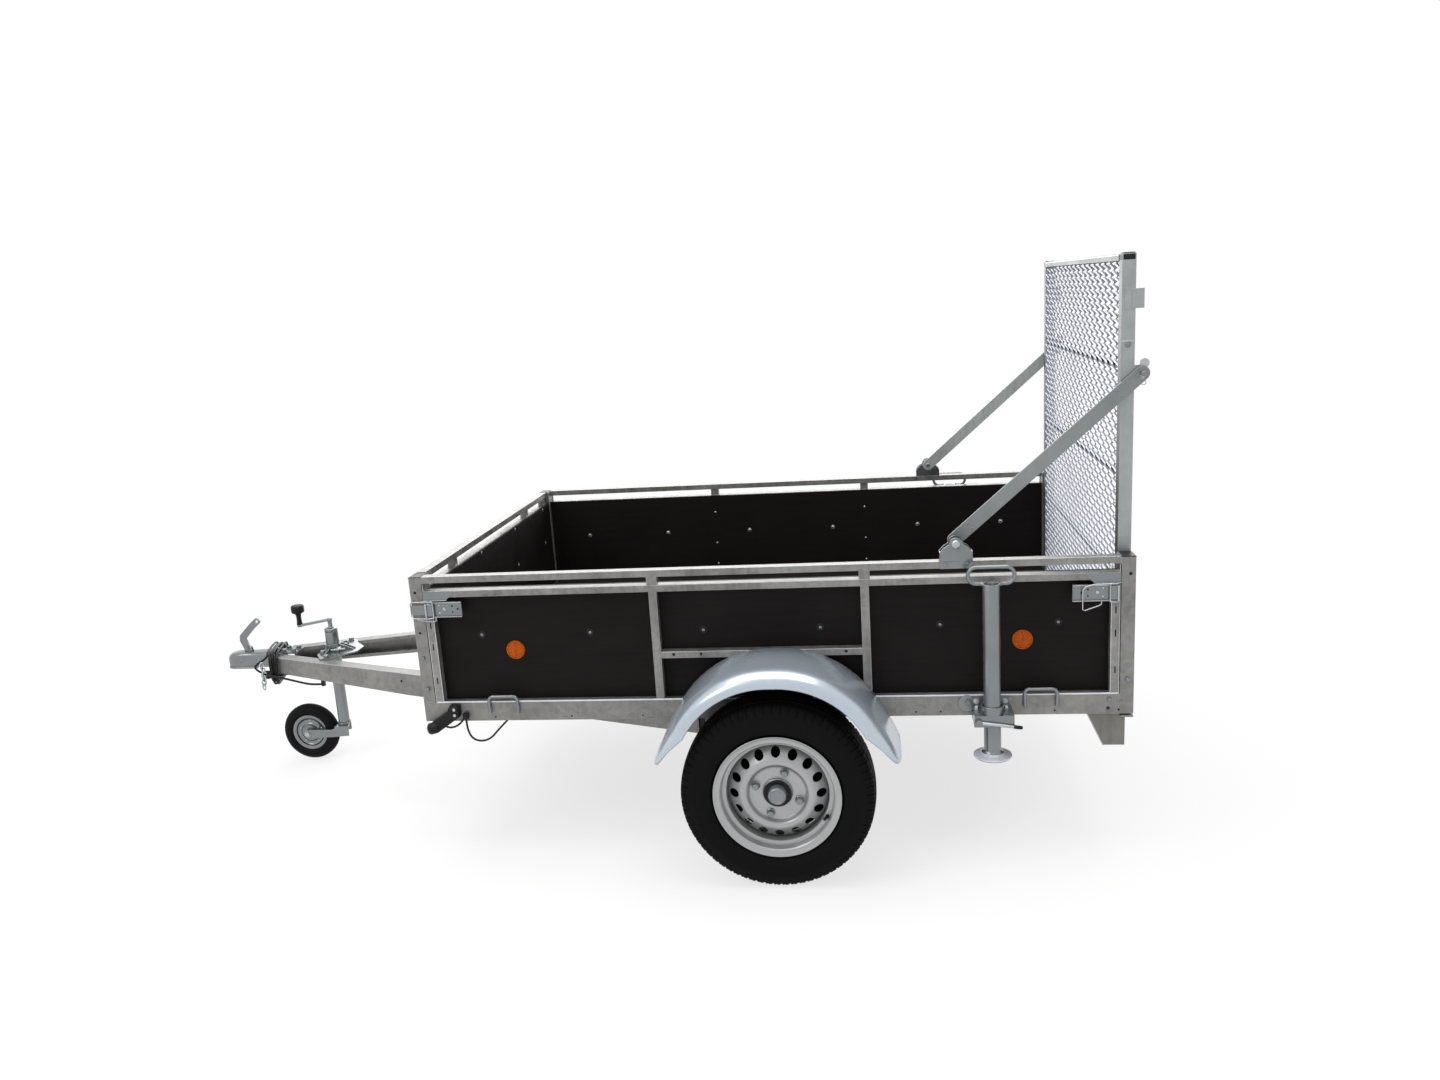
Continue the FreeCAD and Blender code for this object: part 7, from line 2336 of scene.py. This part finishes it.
@dataclass
class CornerLatches:
    """The four over-centre latches: channel plate, catch, bail wires, hook and gusset."""

    shop: PaintShop
    level: float = 0.794
    wall: float = 0.7202
    front_post: float = -0.484
    rear_post: float = 1.536

    def build(self) -> None:
        """Make all four latches in one piece."""
        piece = Forge("corner_latch_set", self.shop, Paint.BRIGHT)
        for side in Side:
            for rear in (False, True):
                origin, way = (self.rear_post, -1) if rear else (self.front_post, 1)
                frame = upright(origin, side.value * self.wall, self.level, way, side.value)
                self._one(piece, frame, 0.13 if rear else 0.118, rear)
        piece.finish("chassis", bevel=0.0004, replaces=["corner_latches"], smooth=36)

    def _one(self, piece: Forge, frame: Matrix, length: float, rear: bool) -> None:
        """One latch in its frame: X away from the post, Y up, Z out of the side.

        Args:
            piece: the piece that it is added to.
            frame: the latch's frame.
            length: the channel plate's length.
            rear: whether it is one of the two at the rear.
        """
        half = 0.0235
        piece.use(Paint.BRIGHT)
        piece.block((0.0, -half, 0.0), (length, half, 0.002), frame)
        piece.use(Paint.WIRE)
        for edge in (-1, 1):
            piece.block((0.03, edge * half, 0.002), (length, edge * (half - 0.0022), 0.0085), frame)
        piece.use(Paint.BRIGHT)
        piece.block((length - 0.0022, -half + 0.0022, 0.002), (length, half - 0.0022, 0.006), frame)
        catch = []
        for u, high, out in mm("2 20.5 5, 5 21.5 11, 18 21.5 12.8, 28 20.5 11.8, 31.5 19 3"):
            catch.append([frame @ vec(u, v, w) for v, w in ((-high, 0.0018), (high, 0.0018),
                (high, out * 0.8), (high * 0.86, out), (-high * 0.86, out), (-high, out * 0.8))])
        piece.rings(catch)
        piece.use(Paint.SHADE)
        for u, v, r in mm("88 9.5 2.8, 88 -9.5 2.4, 105 0 3.2"):
            piece.turned([(0.0, 0.0023), (r, 0.0023), (r, 0.0019)], frame @ moved(u, v, 0), 16)
        piece.use(Paint.WIRE)
        piece.dome(frame @ moved(0.062, 0.0, 0.002), 0.0052, 0.0022)
        for v in (-0.0125, 0.0125):
            piece.dome(frame @ moved(0.047, v, 0.002), 0.0036, 0.0018)
        rod = 0.0019
        over = 0.0 if rear else 1.0
        for edge in (-1, 1):
            wire = [(0.03, edge * 0.025, 0.0105), (0.014, edge * 0.0262, 0.0115),
                (0.008 - 0.02 * over, edge * 0.0262, 0.0108), (0.006 - 0.038 * over,
                edge * 0.0255, 0.0085), (0.005 - 0.0465 * over, edge * 0.0225, 0.005),
                (0.0045 - 0.047 * over, edge * 0.012, 0.0028), (0.0043 - 0.0471 * over, 0.0, 0.0022)]
            piece.swept([frame @ vec(*p) for p in wire], rod, 10)
        piece.swept([frame @ vec(0.03, -0.0262, 0.0105), frame @ vec(0.03, 0.0262, 0.0105)], rod, 10)
        piece.swept([frame @ vec(0.0085, -0.0225, 0.0135), frame
            @ vec(0.0085, 0.0225, 0.0135)], 0.003, 12)
        if rear:
            loop = mm("20 27 11.8, 72 26.2 12.2, 96 20 12.6, 103.5 10 12.8, 104 -12 12.8, 103.5 -46 11, "
                "98 -49 10.8, 59 -35 10.8, 53.5 -31 10.8, 53 -22 11")
        else:
            loop = mm("36 -23.5 8.5, 37 -33 9, 32 -35 9.2, -4 -33 9.2, -20 -29 9")
        piece.swept([frame @ Vector(p) for p in loop], rod, 10)
        piece.use(Paint.BRIGHT)
        tip = 0.001 - 0.0405 * over
        hook = mm("t .5, t 6, 4 6, 4 3.4, t+3 3.4, t+3 .5", t=tip)
        turn = frame @ Matrix.Rotation(pi / 2, 4, "X") @ moved(0, 0, -0.015)
        piece.plate(hook, turn, 0.03)
        gusset = mm("0 28.5, 72 28.5, 92 46, 94 55.6, 0 55.6")
        piece.plate(gusset, frame @ moved(0, 0, -0.0004), 0.0026)
        fold = mm("0 26.8, 73 26.8, 73 29, 0 29")
        piece.use(Paint.WIRE)
        piece.plate(fold, frame @ moved(0, 0, -0.0004), 0.0062)


@dataclass
class TieLoops:
    """The four lashing loops of bent rod on the side rails."""

    shop: PaintShop
    places: tuple[float, float] = (-0.269, 1.321)
    half: float = 0.05
    rod: float = 0.0052
    corner: float = 0.013

    def build(self) -> None:
        """Sweep the loops and their weld beads."""
        piece = Forge("lashing_loops", self.shop, Paint.BRIGHT)
        top, low = 0.519 - self.rod, 0.462
        for side in Side:
            y = side.value * 0.725
            for x in self.places:
                path = [vec(x - self.half + self.rod, y, low)]
                for centre, begin in ((-1, 180), (1, 90)):
                    for a in arc(begin, begin - 90, 8):
                        path.append(vec(x + centre * (self.half - self.rod - self.corner)
                            + self.corner * cos(a), y, top - self.corner + self.corner * sin(a)))
                path.append(vec(x + self.half - self.rod, y, low))
                piece.swept(path, self.rod - 0.0001, 16)
                for s in (-1, 1):
                    foot = x + s * (self.half - self.rod)
                    for shift in (-1, 1):
                        bead = [vec(foot + shift * 0.0046, side.value * 0.7214,
                            low + 0.002 + 0.003 * k) for k in range(7)]
                        piece.swept(bead, 0.0016, 8)
        piece.finish("chassis", replaces=["tie_loops"], smooth=45)


@dataclass
class SideLamps:
    """Amber reflectors with their rims, and the slanted marker lamps with their wires."""

    shop: PaintShop
    places: tuple[float, float] = (-0.223, 1.275)
    height: float = 0.652
    radius: float = 0.029
    panel: float = 0.6901
    marker: Flat = (-0.524, 0.435)

    def build(self) -> None:
        """Make the reflectors, lamps and wires on both sides."""
        piece = Forge("reflector_set", self.shop, Paint.AMBER)
        for side in Side:
            s = side.value
            for x in self.places:
                base = facing((x, s * self.panel, self.height), (0, s, 0))
                r = self.radius
                piece.turned(mm("0 6.2, 8 6.1, 16 5.8, r-5.2 5.2, r-4.4 4.8", r=r), base, 48)
                piece.turned([(r + u, v) for u, v
                    in mm("-4.6 5, -4.2 6.6, -3 6.8, -1.2 6, -.1 4.2, 0 0")], base, 48)
                for u in (-0.0006, 0.0006):
                    seam = [vec(x + u * 2, s * (self.panel + 0.0061), self.height - 0.022),
                        vec(x + u * 2, s * (self.panel + 0.0063), self.height),
                        vec(x + u * 2, s * (self.panel + 0.0061), self.height + 0.022)]
                    piece.swept(seam, 0.0005, 6)
        piece.finish("chassis", replaces=["side_reflectors"], smooth=50)
        markers = Forge("marker_lamp_set", self.shop, Paint.PLASTIC)
        for side in Side:
            self._marker(markers, side.value)
        markers.finish("chassis", bevel=0.001, replaces=["marker_lamps"], smooth=40)
        wires = Forge("marker_wire_set", self.shop, Paint.CABLE)
        for side in Side:
            self._wire(wires, side.value)
        wires.finish("chassis", replaces=["marker_wires"], smooth=60)

    def _wire(self, piece: Forge, s: float) -> None:
        """The marker lamp's wire: a short run to its grommet, then a loop up behind the rail.

        Args:
            piece: the piece that it is added to.
            s: the side's sign along Y.
        """
        lead = mm("68 18 -10, 82 16 -16, 102 13 -12, 122 10 4, 131 10 22")
        loop = mm("132 10 30, 133 10 6, 134 10 -24, 144 10 -52, 170 10 -64, 204 9 -56, 230 4 -28, "
            "262 -8 2")
        for route in (lead, loop):
            points = [vec(self.marker[0] + u, s * (0.72 + v), self.marker[1] + w) for u, v,
                w in route]
            for _ in range(2):
                cut = [points[0]]
                for here, after in zip(points, points[1:]):
                    cut += [here.lerp(after, 0.25), here.lerp(after, 0.75)]
                points = cut + [points[-1]]
            piece.swept(points, 0.0031, 12)
        piece.use(Paint.PLASTIC)
        piece.block((-0.4, s * 0.7202, 0.446), (-0.384, s * 0.734, 0.462))
        piece.use(Paint.CABLE)

    def _marker(self, piece: Forge, s: float) -> None:
        """A slanted rubber arm with its bolts and ribs, and a small round lamp at its low end.

        Args:
            piece: the piece that it is added to.
            s: the side's sign along Y.
        """
        piece.use(Paint.PLASTIC)
        frame = upright(self.marker[0], s * 0.7205, self.marker[1], 1, s)
        outline = mm("24 -27, 44 -29.5, 114 18, 117 24, 117 56, 88 56, 82 40, 26 4")
        centre = (0.07, 0.012)
        rings = []
        for rise, scale in ((0.0, 1.0), (0.015, 1.0), (0.0215, 0.965), (0.0245, 0.9)):
            rings.append([frame @ vec(centre[0] + (u - centre[0]) * scale,
                centre[1] + (v - centre[1]) * scale, rise) for u, v in outline])
        piece.rings(rings)
        for k in range(6):
            share = k / 5
            u, v = 0.05 + 0.036 * share, -0.001 + 0.025 * share
            piece.swept([frame @ vec(u - 0.0085, v + 0.013, 0.0238),
                frame @ vec(u + 0.0085, v - 0.013, 0.0238)], 0.0019, 8)
        lamp = facing((-0.478, s * 0.7365, 0.4235), (-1, 0, -0.25))
        piece.turned(mm("0 0, 12 0, 16.5 4, 18 10, 18.2 29, 17.2 31, 16 31"), lamp, 32)
        piece.use(Paint.CLEAR)
        piece.turned(mm("16.3 30, 15.5 33.5, 12 36.2, 6 37.6, 0 38"), lamp, 32)
        piece.use(Paint.WIRE)
        for u, v in ((0.1035, 0.0455), (0.1035, 0.0275)):
            piece.bolt(facing(frame @ vec(u, v, 0.0215), (0, s, 0), u * 20), 0.009, 0.0042, 0.0064)


@dataclass
class TailBoard:
    """The rear lamps on the lamp beam: black housings with red, amber and clear fields."""

    shop: PaintShop
    near: float = 0.47
    far: float = 0.7
    low: float = 0.337
    high: float = 0.417
    front: float = 1.508
    rear: float = 1.556

    def build(self) -> None:
        """Make both lamps."""
        piece = Forge("tail_lamp_set", self.shop, Paint.PLASTIC)
        for side in Side:
            s = side.value
            piece.use(Paint.PLASTIC)
            t = 0.0022
            self._slab(piece, s, self.near + 0.001, self.far - 0.001, self.low + 0.001,
                self.high - 0.001, self.front + 0.0005, self.rear - 0.012)
            fields = ((0.0, 0.3, Paint.AMBER), (0.3, 0.64, Paint.RED), (0.64, 0.84, Paint.RED),
                (0.84, 1.0, Paint.CLEAR))
            width = self.far - self.near - 0.01
            for begin, end, paint in fields:
                a = self.far - 0.005 - width * begin - t / 2
                b = self.far - 0.005 - width * end + t / 2
                piece.use(paint)
                self._slab(piece, s, b, a, self.low + 0.005, self.high - 0.005,
                    self.rear - 0.014, self.rear - 0.0005, 0.0035)
            piece.use(Paint.WIRE)
            for share in (0.14, 0.86):
                y = s * (self.near + (self.far - self.near) * share)
                piece.dome(facing((self.rear - 0.0022, y, self.low + 0.012), (1, 0, 0)),
                    0.0036, 0.0018)
        piece.finish("chassis", bevel=0.0008, replaces=["tail_lamps"], smooth=35)

    @staticmethod
    def _slab(piece: Forge, s: float, near: float, far: float, low: float, high: float,
            front: float, rear: float, crown: float = 0.0) -> None:
        """A slab across the beam's end, its rear face drawn in by a soft crown.

        Args:
            piece: the piece that it is added to.
            s: the side's sign along Y.
            near: its inner end.
            far: its outer end.
            low: its lower edge.
            high: its upper edge.
            front: its front face.
            rear: its rear face.
            crown: how deep the crown is.
        """
        rings = []
        for x, inset in ((front, 0.0), (rear - crown, 0.0), (rear - crown * 0.35, crown * 0.5),
                (rear, crown * 1.3)):
            rings.append([vec(x, s * (near + inset), low + inset),
                vec(x, s * (far - inset), low + inset), vec(x, s * (far - inset), high - inset),
                vec(x, s * (near + inset), high - inset)])
            if not crown and x == rear:
                break
        piece.rings(rings)


# ---------------------------------------------------------------- frame details


@dataclass
class FrameDetails:
    """Bolts, screws, holes, weld beads and caps over the frame and its panels."""

    shop: PaintShop
    face: float = 0.72
    panel: float = 0.6899
    panel_inside: float = 0.6779
    screw_level: float = 0.701
    screws: tuple[float, ...] = (-0.325, 0.013, 0.357, 0.702, 1.045, 1.374)
    struts: tuple[float, float] = (0.218, 0.834)

    def build(self) -> None:
        """Add the details to both sides, the drawbar and the floor."""
        for side in Side:
            self._panel_screws(side)
            self._bolts(side)
            self._beads(side)
            self._strips(side)
        self._caps()
        self._drawbar()
        self._floor()

    def _panel_screws(self, side: Side) -> None:
        """The row of panel screws, each in a dished dark ring.

        Args:
            side: the trailer's side.
        """
        s = side.value
        piece = Forge("panel_screws_" + side.tag, self.shop, Paint.BRIGHT)
        for x in self.screws:
            base = facing((x, s * self.panel, self.screw_level), (0, s, 0))
            piece.use(Paint.PLASTIC)
            piece.turned(mm("12.5 0, 11.7 1.6, 10 2.2, 7.2 1.6, 5.2 .4"), base, 32)
            piece.use(Paint.BRIGHT)
            piece.turned(mm("5.2 .3, 4.6 2.2, 3 3.2, 1.6 3.4, 1.4 1.8, 0 1.8"), base, 32)
        for z in (0.52, 0.6, 0.7, 0.78):
            for x in self.struts:
                piece.dome(facing((x, s * (self.panel + 0.0037), z), (0, s, 0)), 0.0038, 0.0014)
        piece.finish("chassis", smooth=45)

    def _bolts(self, side: Side) -> None:
        """Bolt heads on posts, rail and guard rail, and drilled holes drawn as dark discs that paint the
        shade inside them.

        Args:
            side: the trailer's side.
        """
        s = side.value
        piece = Forge("side_bolts_" + side.tag, self.shop, Paint.BRIGHT)
        face = s * (self.face - 0.0001)
        for x, z, across in mm("-506 540 13, 1559 537 13, -508 640 10"):
            piece.bolt(facing((x, face, z), (0, s, 0), x * 3), across, across * 0.45, across * 0.72)
        for x in (1.51, -0.44):
            piece.bolt(facing((x, face, 0.478), (0, s, 0), x), 0.011, 0.005, 0.008)
        piece.use(Paint.WIRE)
        holes = mm("-508 847 5, 1562 845 5, 1507 452 5.2, -508 720 4, 1536 447 3.6")
        for x, z, r in holes:
            self._hole(piece, vec(x, face, z), (0, s, 0), r)
        for x in (-0.3, -0.06, 0.16, 0.97, 1.04, 1.36):
            self._hole(piece, vec(x, face, 0.447), (0, s, 0), 0.003)
        piece.finish("chassis", bevel=0.0004, smooth=40)
        guard = Forge("rail_holes_" + side.tag, self.shop, Paint.WIRE)
        for x in (0.268, 0.35, 0.775):
            self._hole(guard, vec(x, face, 0.6365), (0, s, 0), 0.0048)
        guard.finish("chassis", smooth=40)

    @staticmethod
    def _hole(piece: Forge, at: Vector, way: Sequence[float], radius: float) -> None:
        """A drilled hole: a bright rolled edge round a dark dished disc, painted shade for the hole's depth.

        Args:
            piece: the piece that it is added to.
            at: its middle.
            way: the direction that it looks out to.
            radius: its radius.
        """
        base = facing(at, way)
        # The black disc paints the shade inside the hole.
        piece.use(Paint.PLASTIC)
        piece.turned([(0.0, 0.0004), (radius, 0.0004)], base, 20)
        piece.use(Paint.GALVANISED)
        piece.turned([(radius + u, v) for u, v in mm("0 .3, .4 .8, 1.2 .2")], base, 20)

    def _strips(self, side: Side) -> None:
        """Folded strip edges and rolled lips as thin rods in a paler zinc, painted highlights along real
        folds, and grooves and slots in painted shade that part the frame's pressings.

        Args:
            side: the trailer's side.
        """
        s = side.value
        piece = Forge("frame_lips_" + side.tag, self.shop, Paint.WIRE)
        face = s * self.face

        def lines(rows: str) -> None:
            """Thin lines, each from x, z to x, z at one distance out and with its radius."""
            for x1, z1, x2, z2, out, radius in mm(rows):
                piece.swept([(x1, s * out, z1), (x2, s * out, z2)], radius, 8)

        # Paler zinc rods down the post edges: painted highlights on real folds.
        lines("-460 497 -460 829 719 1.6, 1512 497 1512 829 719 1.6, "
            "-482.5 497 -482.5 873 719.4 1.3, 1534.5 497 1534.5 873 719.4 1.3")
        # A paler rod along the lamp beam's slanted lip and one along its lower edge: painted highlights.
        end = s * (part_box("lamp_beam")[1].y - 0.0004)
        piece.swept([(1.4506, end, 0.4335), (1.4964, end, 0.3352)], 0.0018, 8)
        piece.swept([(1.4964, end, 0.3352), (1.5555, end, 0.3352)], 0.0012, 8)
        # A pale strip along the lower rail's top edge: painted highlight.
        piece.use(Paint.STRAND)
        lines("-482 496 1534 496 718.8 2.8")
        # Paler zinc rods along rail and saddle edges: painted highlights on real folds.
        piece.use(Paint.WIRE)
        lines("-484 849 1536 849 718.8 1.4, -482 894.5 1534 894.5 718.8 1.3, "
            "-482 876.2 1534 876.2 718.8 1, -482 831 1534 831 718.8 1.1, 231 644 821 644 718.8 1.4, "
            "206.8 497 206.8 829 718.6 1, 229.2 497 229.2 829 718.6 1, "
            "822.8 497 822.8 829 718.6 1, 845.2 497 845.2 829 718.6 1, "
            "-523 440 -523 888 718.8 1.2, 1575 440 1575 888 718.8 1.2")
        piece.use(Paint.SHADE)
        for x in (-0.485, 1.537):
            piece.block((x - 0.0009, face, 0.497), (x + 0.0009, s * 0.7204, 0.873))
        for x in (-0.4715, 1.524):
            for z in (0.566, 0.674, 0.742):
                piece.block((x - 0.0016, face, z - 0.01), (x + 0.0016, s * 0.7203, z + 0.01))
        piece.use(Paint.GALVANISED)
        piece.block((1.541, s * 0.692, 0.425), (1.5755, s * 0.7225, 0.43))
        piece.finish("chassis", smooth=50)
        inner = Forge("inner_screws_" + side.tag, self.shop, Paint.WIRE)
        for x in self.screws:
            inner.dome(facing((x, s * self.panel_inside, self.screw_level), (0, -s, 0)),
                0.005, 0.0024, 0.0085)
        for x in self.struts:
            for z in (0.56, 0.65, 0.78):
                inner.dome(facing((x, s * self.panel_inside, z), (0, -s, 0)), 0.0042, 0.002)
        inner.finish("chassis", smooth=45)

    def _beads(self, side: Side) -> None:
        """Weld beads where saddles, posts and rails meet.

        Args:
            side: the trailer's side.
        """
        s = side.value
        piece = Forge("weld_beads_" + side.tag, self.shop, Paint.GALVANISED)

        beads = mm("202.2 831.5 202.2 849.5 718.5 1.4, 233.8 831.5 233.8 849.5 718.5 1.4, "
            "818.2 831.5 818.2 849.5 718.5 1.4, 849.8 831.5 849.8 849.5 718.5 1.4, "
            "-486 500 -486 530 719.2 1.6, -486 828 -486 850 719.2 1.6, "
            "1538 500 1538 530 719.2 1.6, 1538 828 1538 850 719.2 1.6, "
            "-522 495.5 -486 495.5 719.2 2, 1538 495.5 1574 495.5 719.2 2")
        for x1, z1, x2, z2, out, size in beads:
            start, end = vec(x1, s * out, z1), vec(x2, s * out, z2)
            steps = max(4, round((end - start).length / 0.004))
            path = [start.lerp(end, k / steps) + vec(0, 0, 0.0003 * sin(k * 2.3)) for k
                in range(steps + 1)]
            piece.swept(path, lambda share: size * (0.86 + 0.14 * cos(share * steps * 3.1)), 7)
        piece.finish("chassis", smooth=60)

    def _caps(self) -> None:
        """Chamfered plastic caps on the four posts."""
        piece = Forge("post_cap_set", self.shop, Paint.PLASTIC)
        low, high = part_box("post_caps")
        for x0, x1 in ((low.x, low.x + 0.04), (high.x - 0.04, high.x)):
            for s in (-1, 1):
                y0, y1 = sorted((s * 0.66, s * 0.72))
                rings = []
                for inset, z in ((0.0002, low.z), (0.0002, high.z - 0.0018),
                        (0.0022, high.z - 0.0002)):
                    rings.append([vec(x0 + inset, y0 + inset, z), vec(x1 - inset, y0 + inset, z),
                        vec(x1 - inset, y1 - inset, z), vec(x0 + inset, y1 - inset, z)])
                piece.rings(rings)
        piece.finish("chassis", bevel=0.0006, replaces=["post_caps"])

    def _drawbar(self) -> None:
        """Drilled holes, a paler rod along each arm's top edge as a painted highlight, and rear end plugs on
        the drawbar arms.
        """
        piece = Forge("drawbar_fixings", self.shop, Paint.BRIGHT)
        lean = radians(18.5)
        for s in (-1, 1):
            normal = vec(-sin(lean), s * cos(lean), 0)
            along = vec(cos(lean), s * sin(lean), 0)
            start = vec(-1.389, s * 0.075, 0)
            # A paler zinc rod along the arm's top edge: painted highlight.
            piece.use(Paint.WIRE)
            edge = [start + along * reach - normal * 0.0006 + vec(0, 0, 0.4345) for reach
                in (0.004, 0.87)]
            piece.swept(edge, 0.0013, 8)
            piece.use(Paint.PLASTIC)
            plug = Matrix(((along.x, -normal.x, 0, 0.317), (along.y, -normal.y, 0, s * 0.643),
                (0, 0, 1, 0.3565), (0, 0, 0, 1)))
            piece.plate(mm("-4 1.2, 17 1.2, 17 38.8, -4 38.8"), plug, 0.077)
            spot = start + along * 0.62 + normal * 0.0001 + vec(0, 0, 0.405)
            self._hole(piece, spot, normal, 0.0052)
        piece.finish("chassis", bevel=0.0005, smooth=38)

    def _floor(self) -> None:
        """Countersunk screws in the floor and the front panel."""
        piece = Forge("floor_screws", self.shop, Paint.BRIGHT)
        low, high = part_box("floor")
        rows = (low.x + 0.045, low.x + 0.44, (low.x + high.x) / 2, high.x - 0.44, high.x - 0.045)
        for x in rows:
            for y in (-0.6, -0.36, -0.12, 0.12, 0.36, 0.6):
                piece.dome(facing((x, y, high.z - 0.0002), (0, 0, 1)), 0.0048, 0.0012)
        piece.finish("chassis", smooth=45)
        wall = Forge("front_wall_screws", self.shop, Paint.BRIGHT)
        for y in (-0.56, -0.19, 0.19, 0.56):
            for z in (0.56, 0.7, 0.84):
                wall.dome(facing((-0.4849, y, z), (1, 0, 0)), 0.0052, 0.0022, 0.0095)
        wall.finish("front_wall", smooth=45)


# ---------------------------------------------------------------- the whole trailer


@dataclass
class Trailer:
    """Every sub-assembly, and the finishes of the carried-over CAD nodes."""

    shop: PaintShop
    frame: dict

    def carried(self) -> dict[str, Paint]:
        """The finish of each CAD node, replaced or not.

        Returns:
            A finish for each node's name.
        """
        names = ((Paint.GALVANISED,
            "axle_beam swing_arms side_rails cross_members corner_posts drawbar_left drawbar_right"),
            (Paint.CHANNEL, "front_frame"), (Paint.LAMP_BEAM, "lamp_beam"),
            (Paint.BRIGHT,
            "tie_loops coupling_head coupling_handle jockey_clamp jockey_outer_tube "
            "jockey_leg jockey_fork stand_clamps stay_brackets corner_latches"),
            (Paint.FLOOR, "floor"), (Paint.PANEL, "front_panel"),
            (Paint.PLASTIC, "post_caps ramp_caps marker_lamps plug cable_clip"),
            (Paint.RAMP, "ramp_frame"), (Paint.STRAND, "ramp_mesh"), (Paint.CRANK, "jockey_crank"),
            (Paint.WHEEL, "jockey_rim"), (Paint.CASTER, "jockey_tyre"),
            (Paint.AMBER, "side_reflectors"), (Paint.RED, "tail_lamps"),
            (Paint.CABLE, "cable_hank cable_lead marker_wires"),)
        paints = {node: paint for paint, nodes in names for node in nodes.split()}
        for side in Side:
            tag = "_" + side.tag
            paints |= {"side_panel" + tag: Paint.PANEL, "side_frame" + tag: Paint.CHANNEL,
                "mudguard" + tag: Paint.GUARD, "stand" + tag: Paint.BRIGHT,
                "stay" + tag: Paint.STAY, "tyre" + tag: Paint.RUBBER, "rim" + tag: Paint.WHEEL,
                "hub" + tag: Paint.HUB}
        return paints

    def build(self) -> None:
        """Dress the CAD nodes, then make each sub-assembly."""
        dress(self.shop, self.carried(), self.frame)
        for part in self.parts():
            LOG.info("building %s", type(part).__name__)
            part.build()

    def parts(self) -> list:
        """The sub-assemblies, in the order that they are made.

        Returns:
            The sub-assemblies.
        """
        made: list = [CableSet(self.shop)]
        for side in Side:
            made.append(RoadWheel(self.shop, side))
            made += [Mudguard(self.shop, side), RearStand(self.shop, side),
                RampStay(self.shop, side)]
        made += [Ramp(self.shop), Coupling(self.shop), JockeyWheel(self.shop),
            StandClamps(self.shop), StayBrackets(self.shop), CornerLatches(self.shop),
            TieLoops(self.shop), SideLamps(self.shop), TailBoard(self.shop), FrameDetails(self.shop)]
        return made


def main() -> None:
    """Load the frame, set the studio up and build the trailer."""
    logging.basicConfig(level=logging.INFO, format="%(name)s %(message)s")
    for left_over in list(bpy.data.objects):
        bpy.data.objects.remove(left_over)
    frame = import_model()
    Studio().build()
    Trailer(PaintShop(), frame).build()
    bpy.context.view_layer.update()


if __name__ == "__main__":
    main()
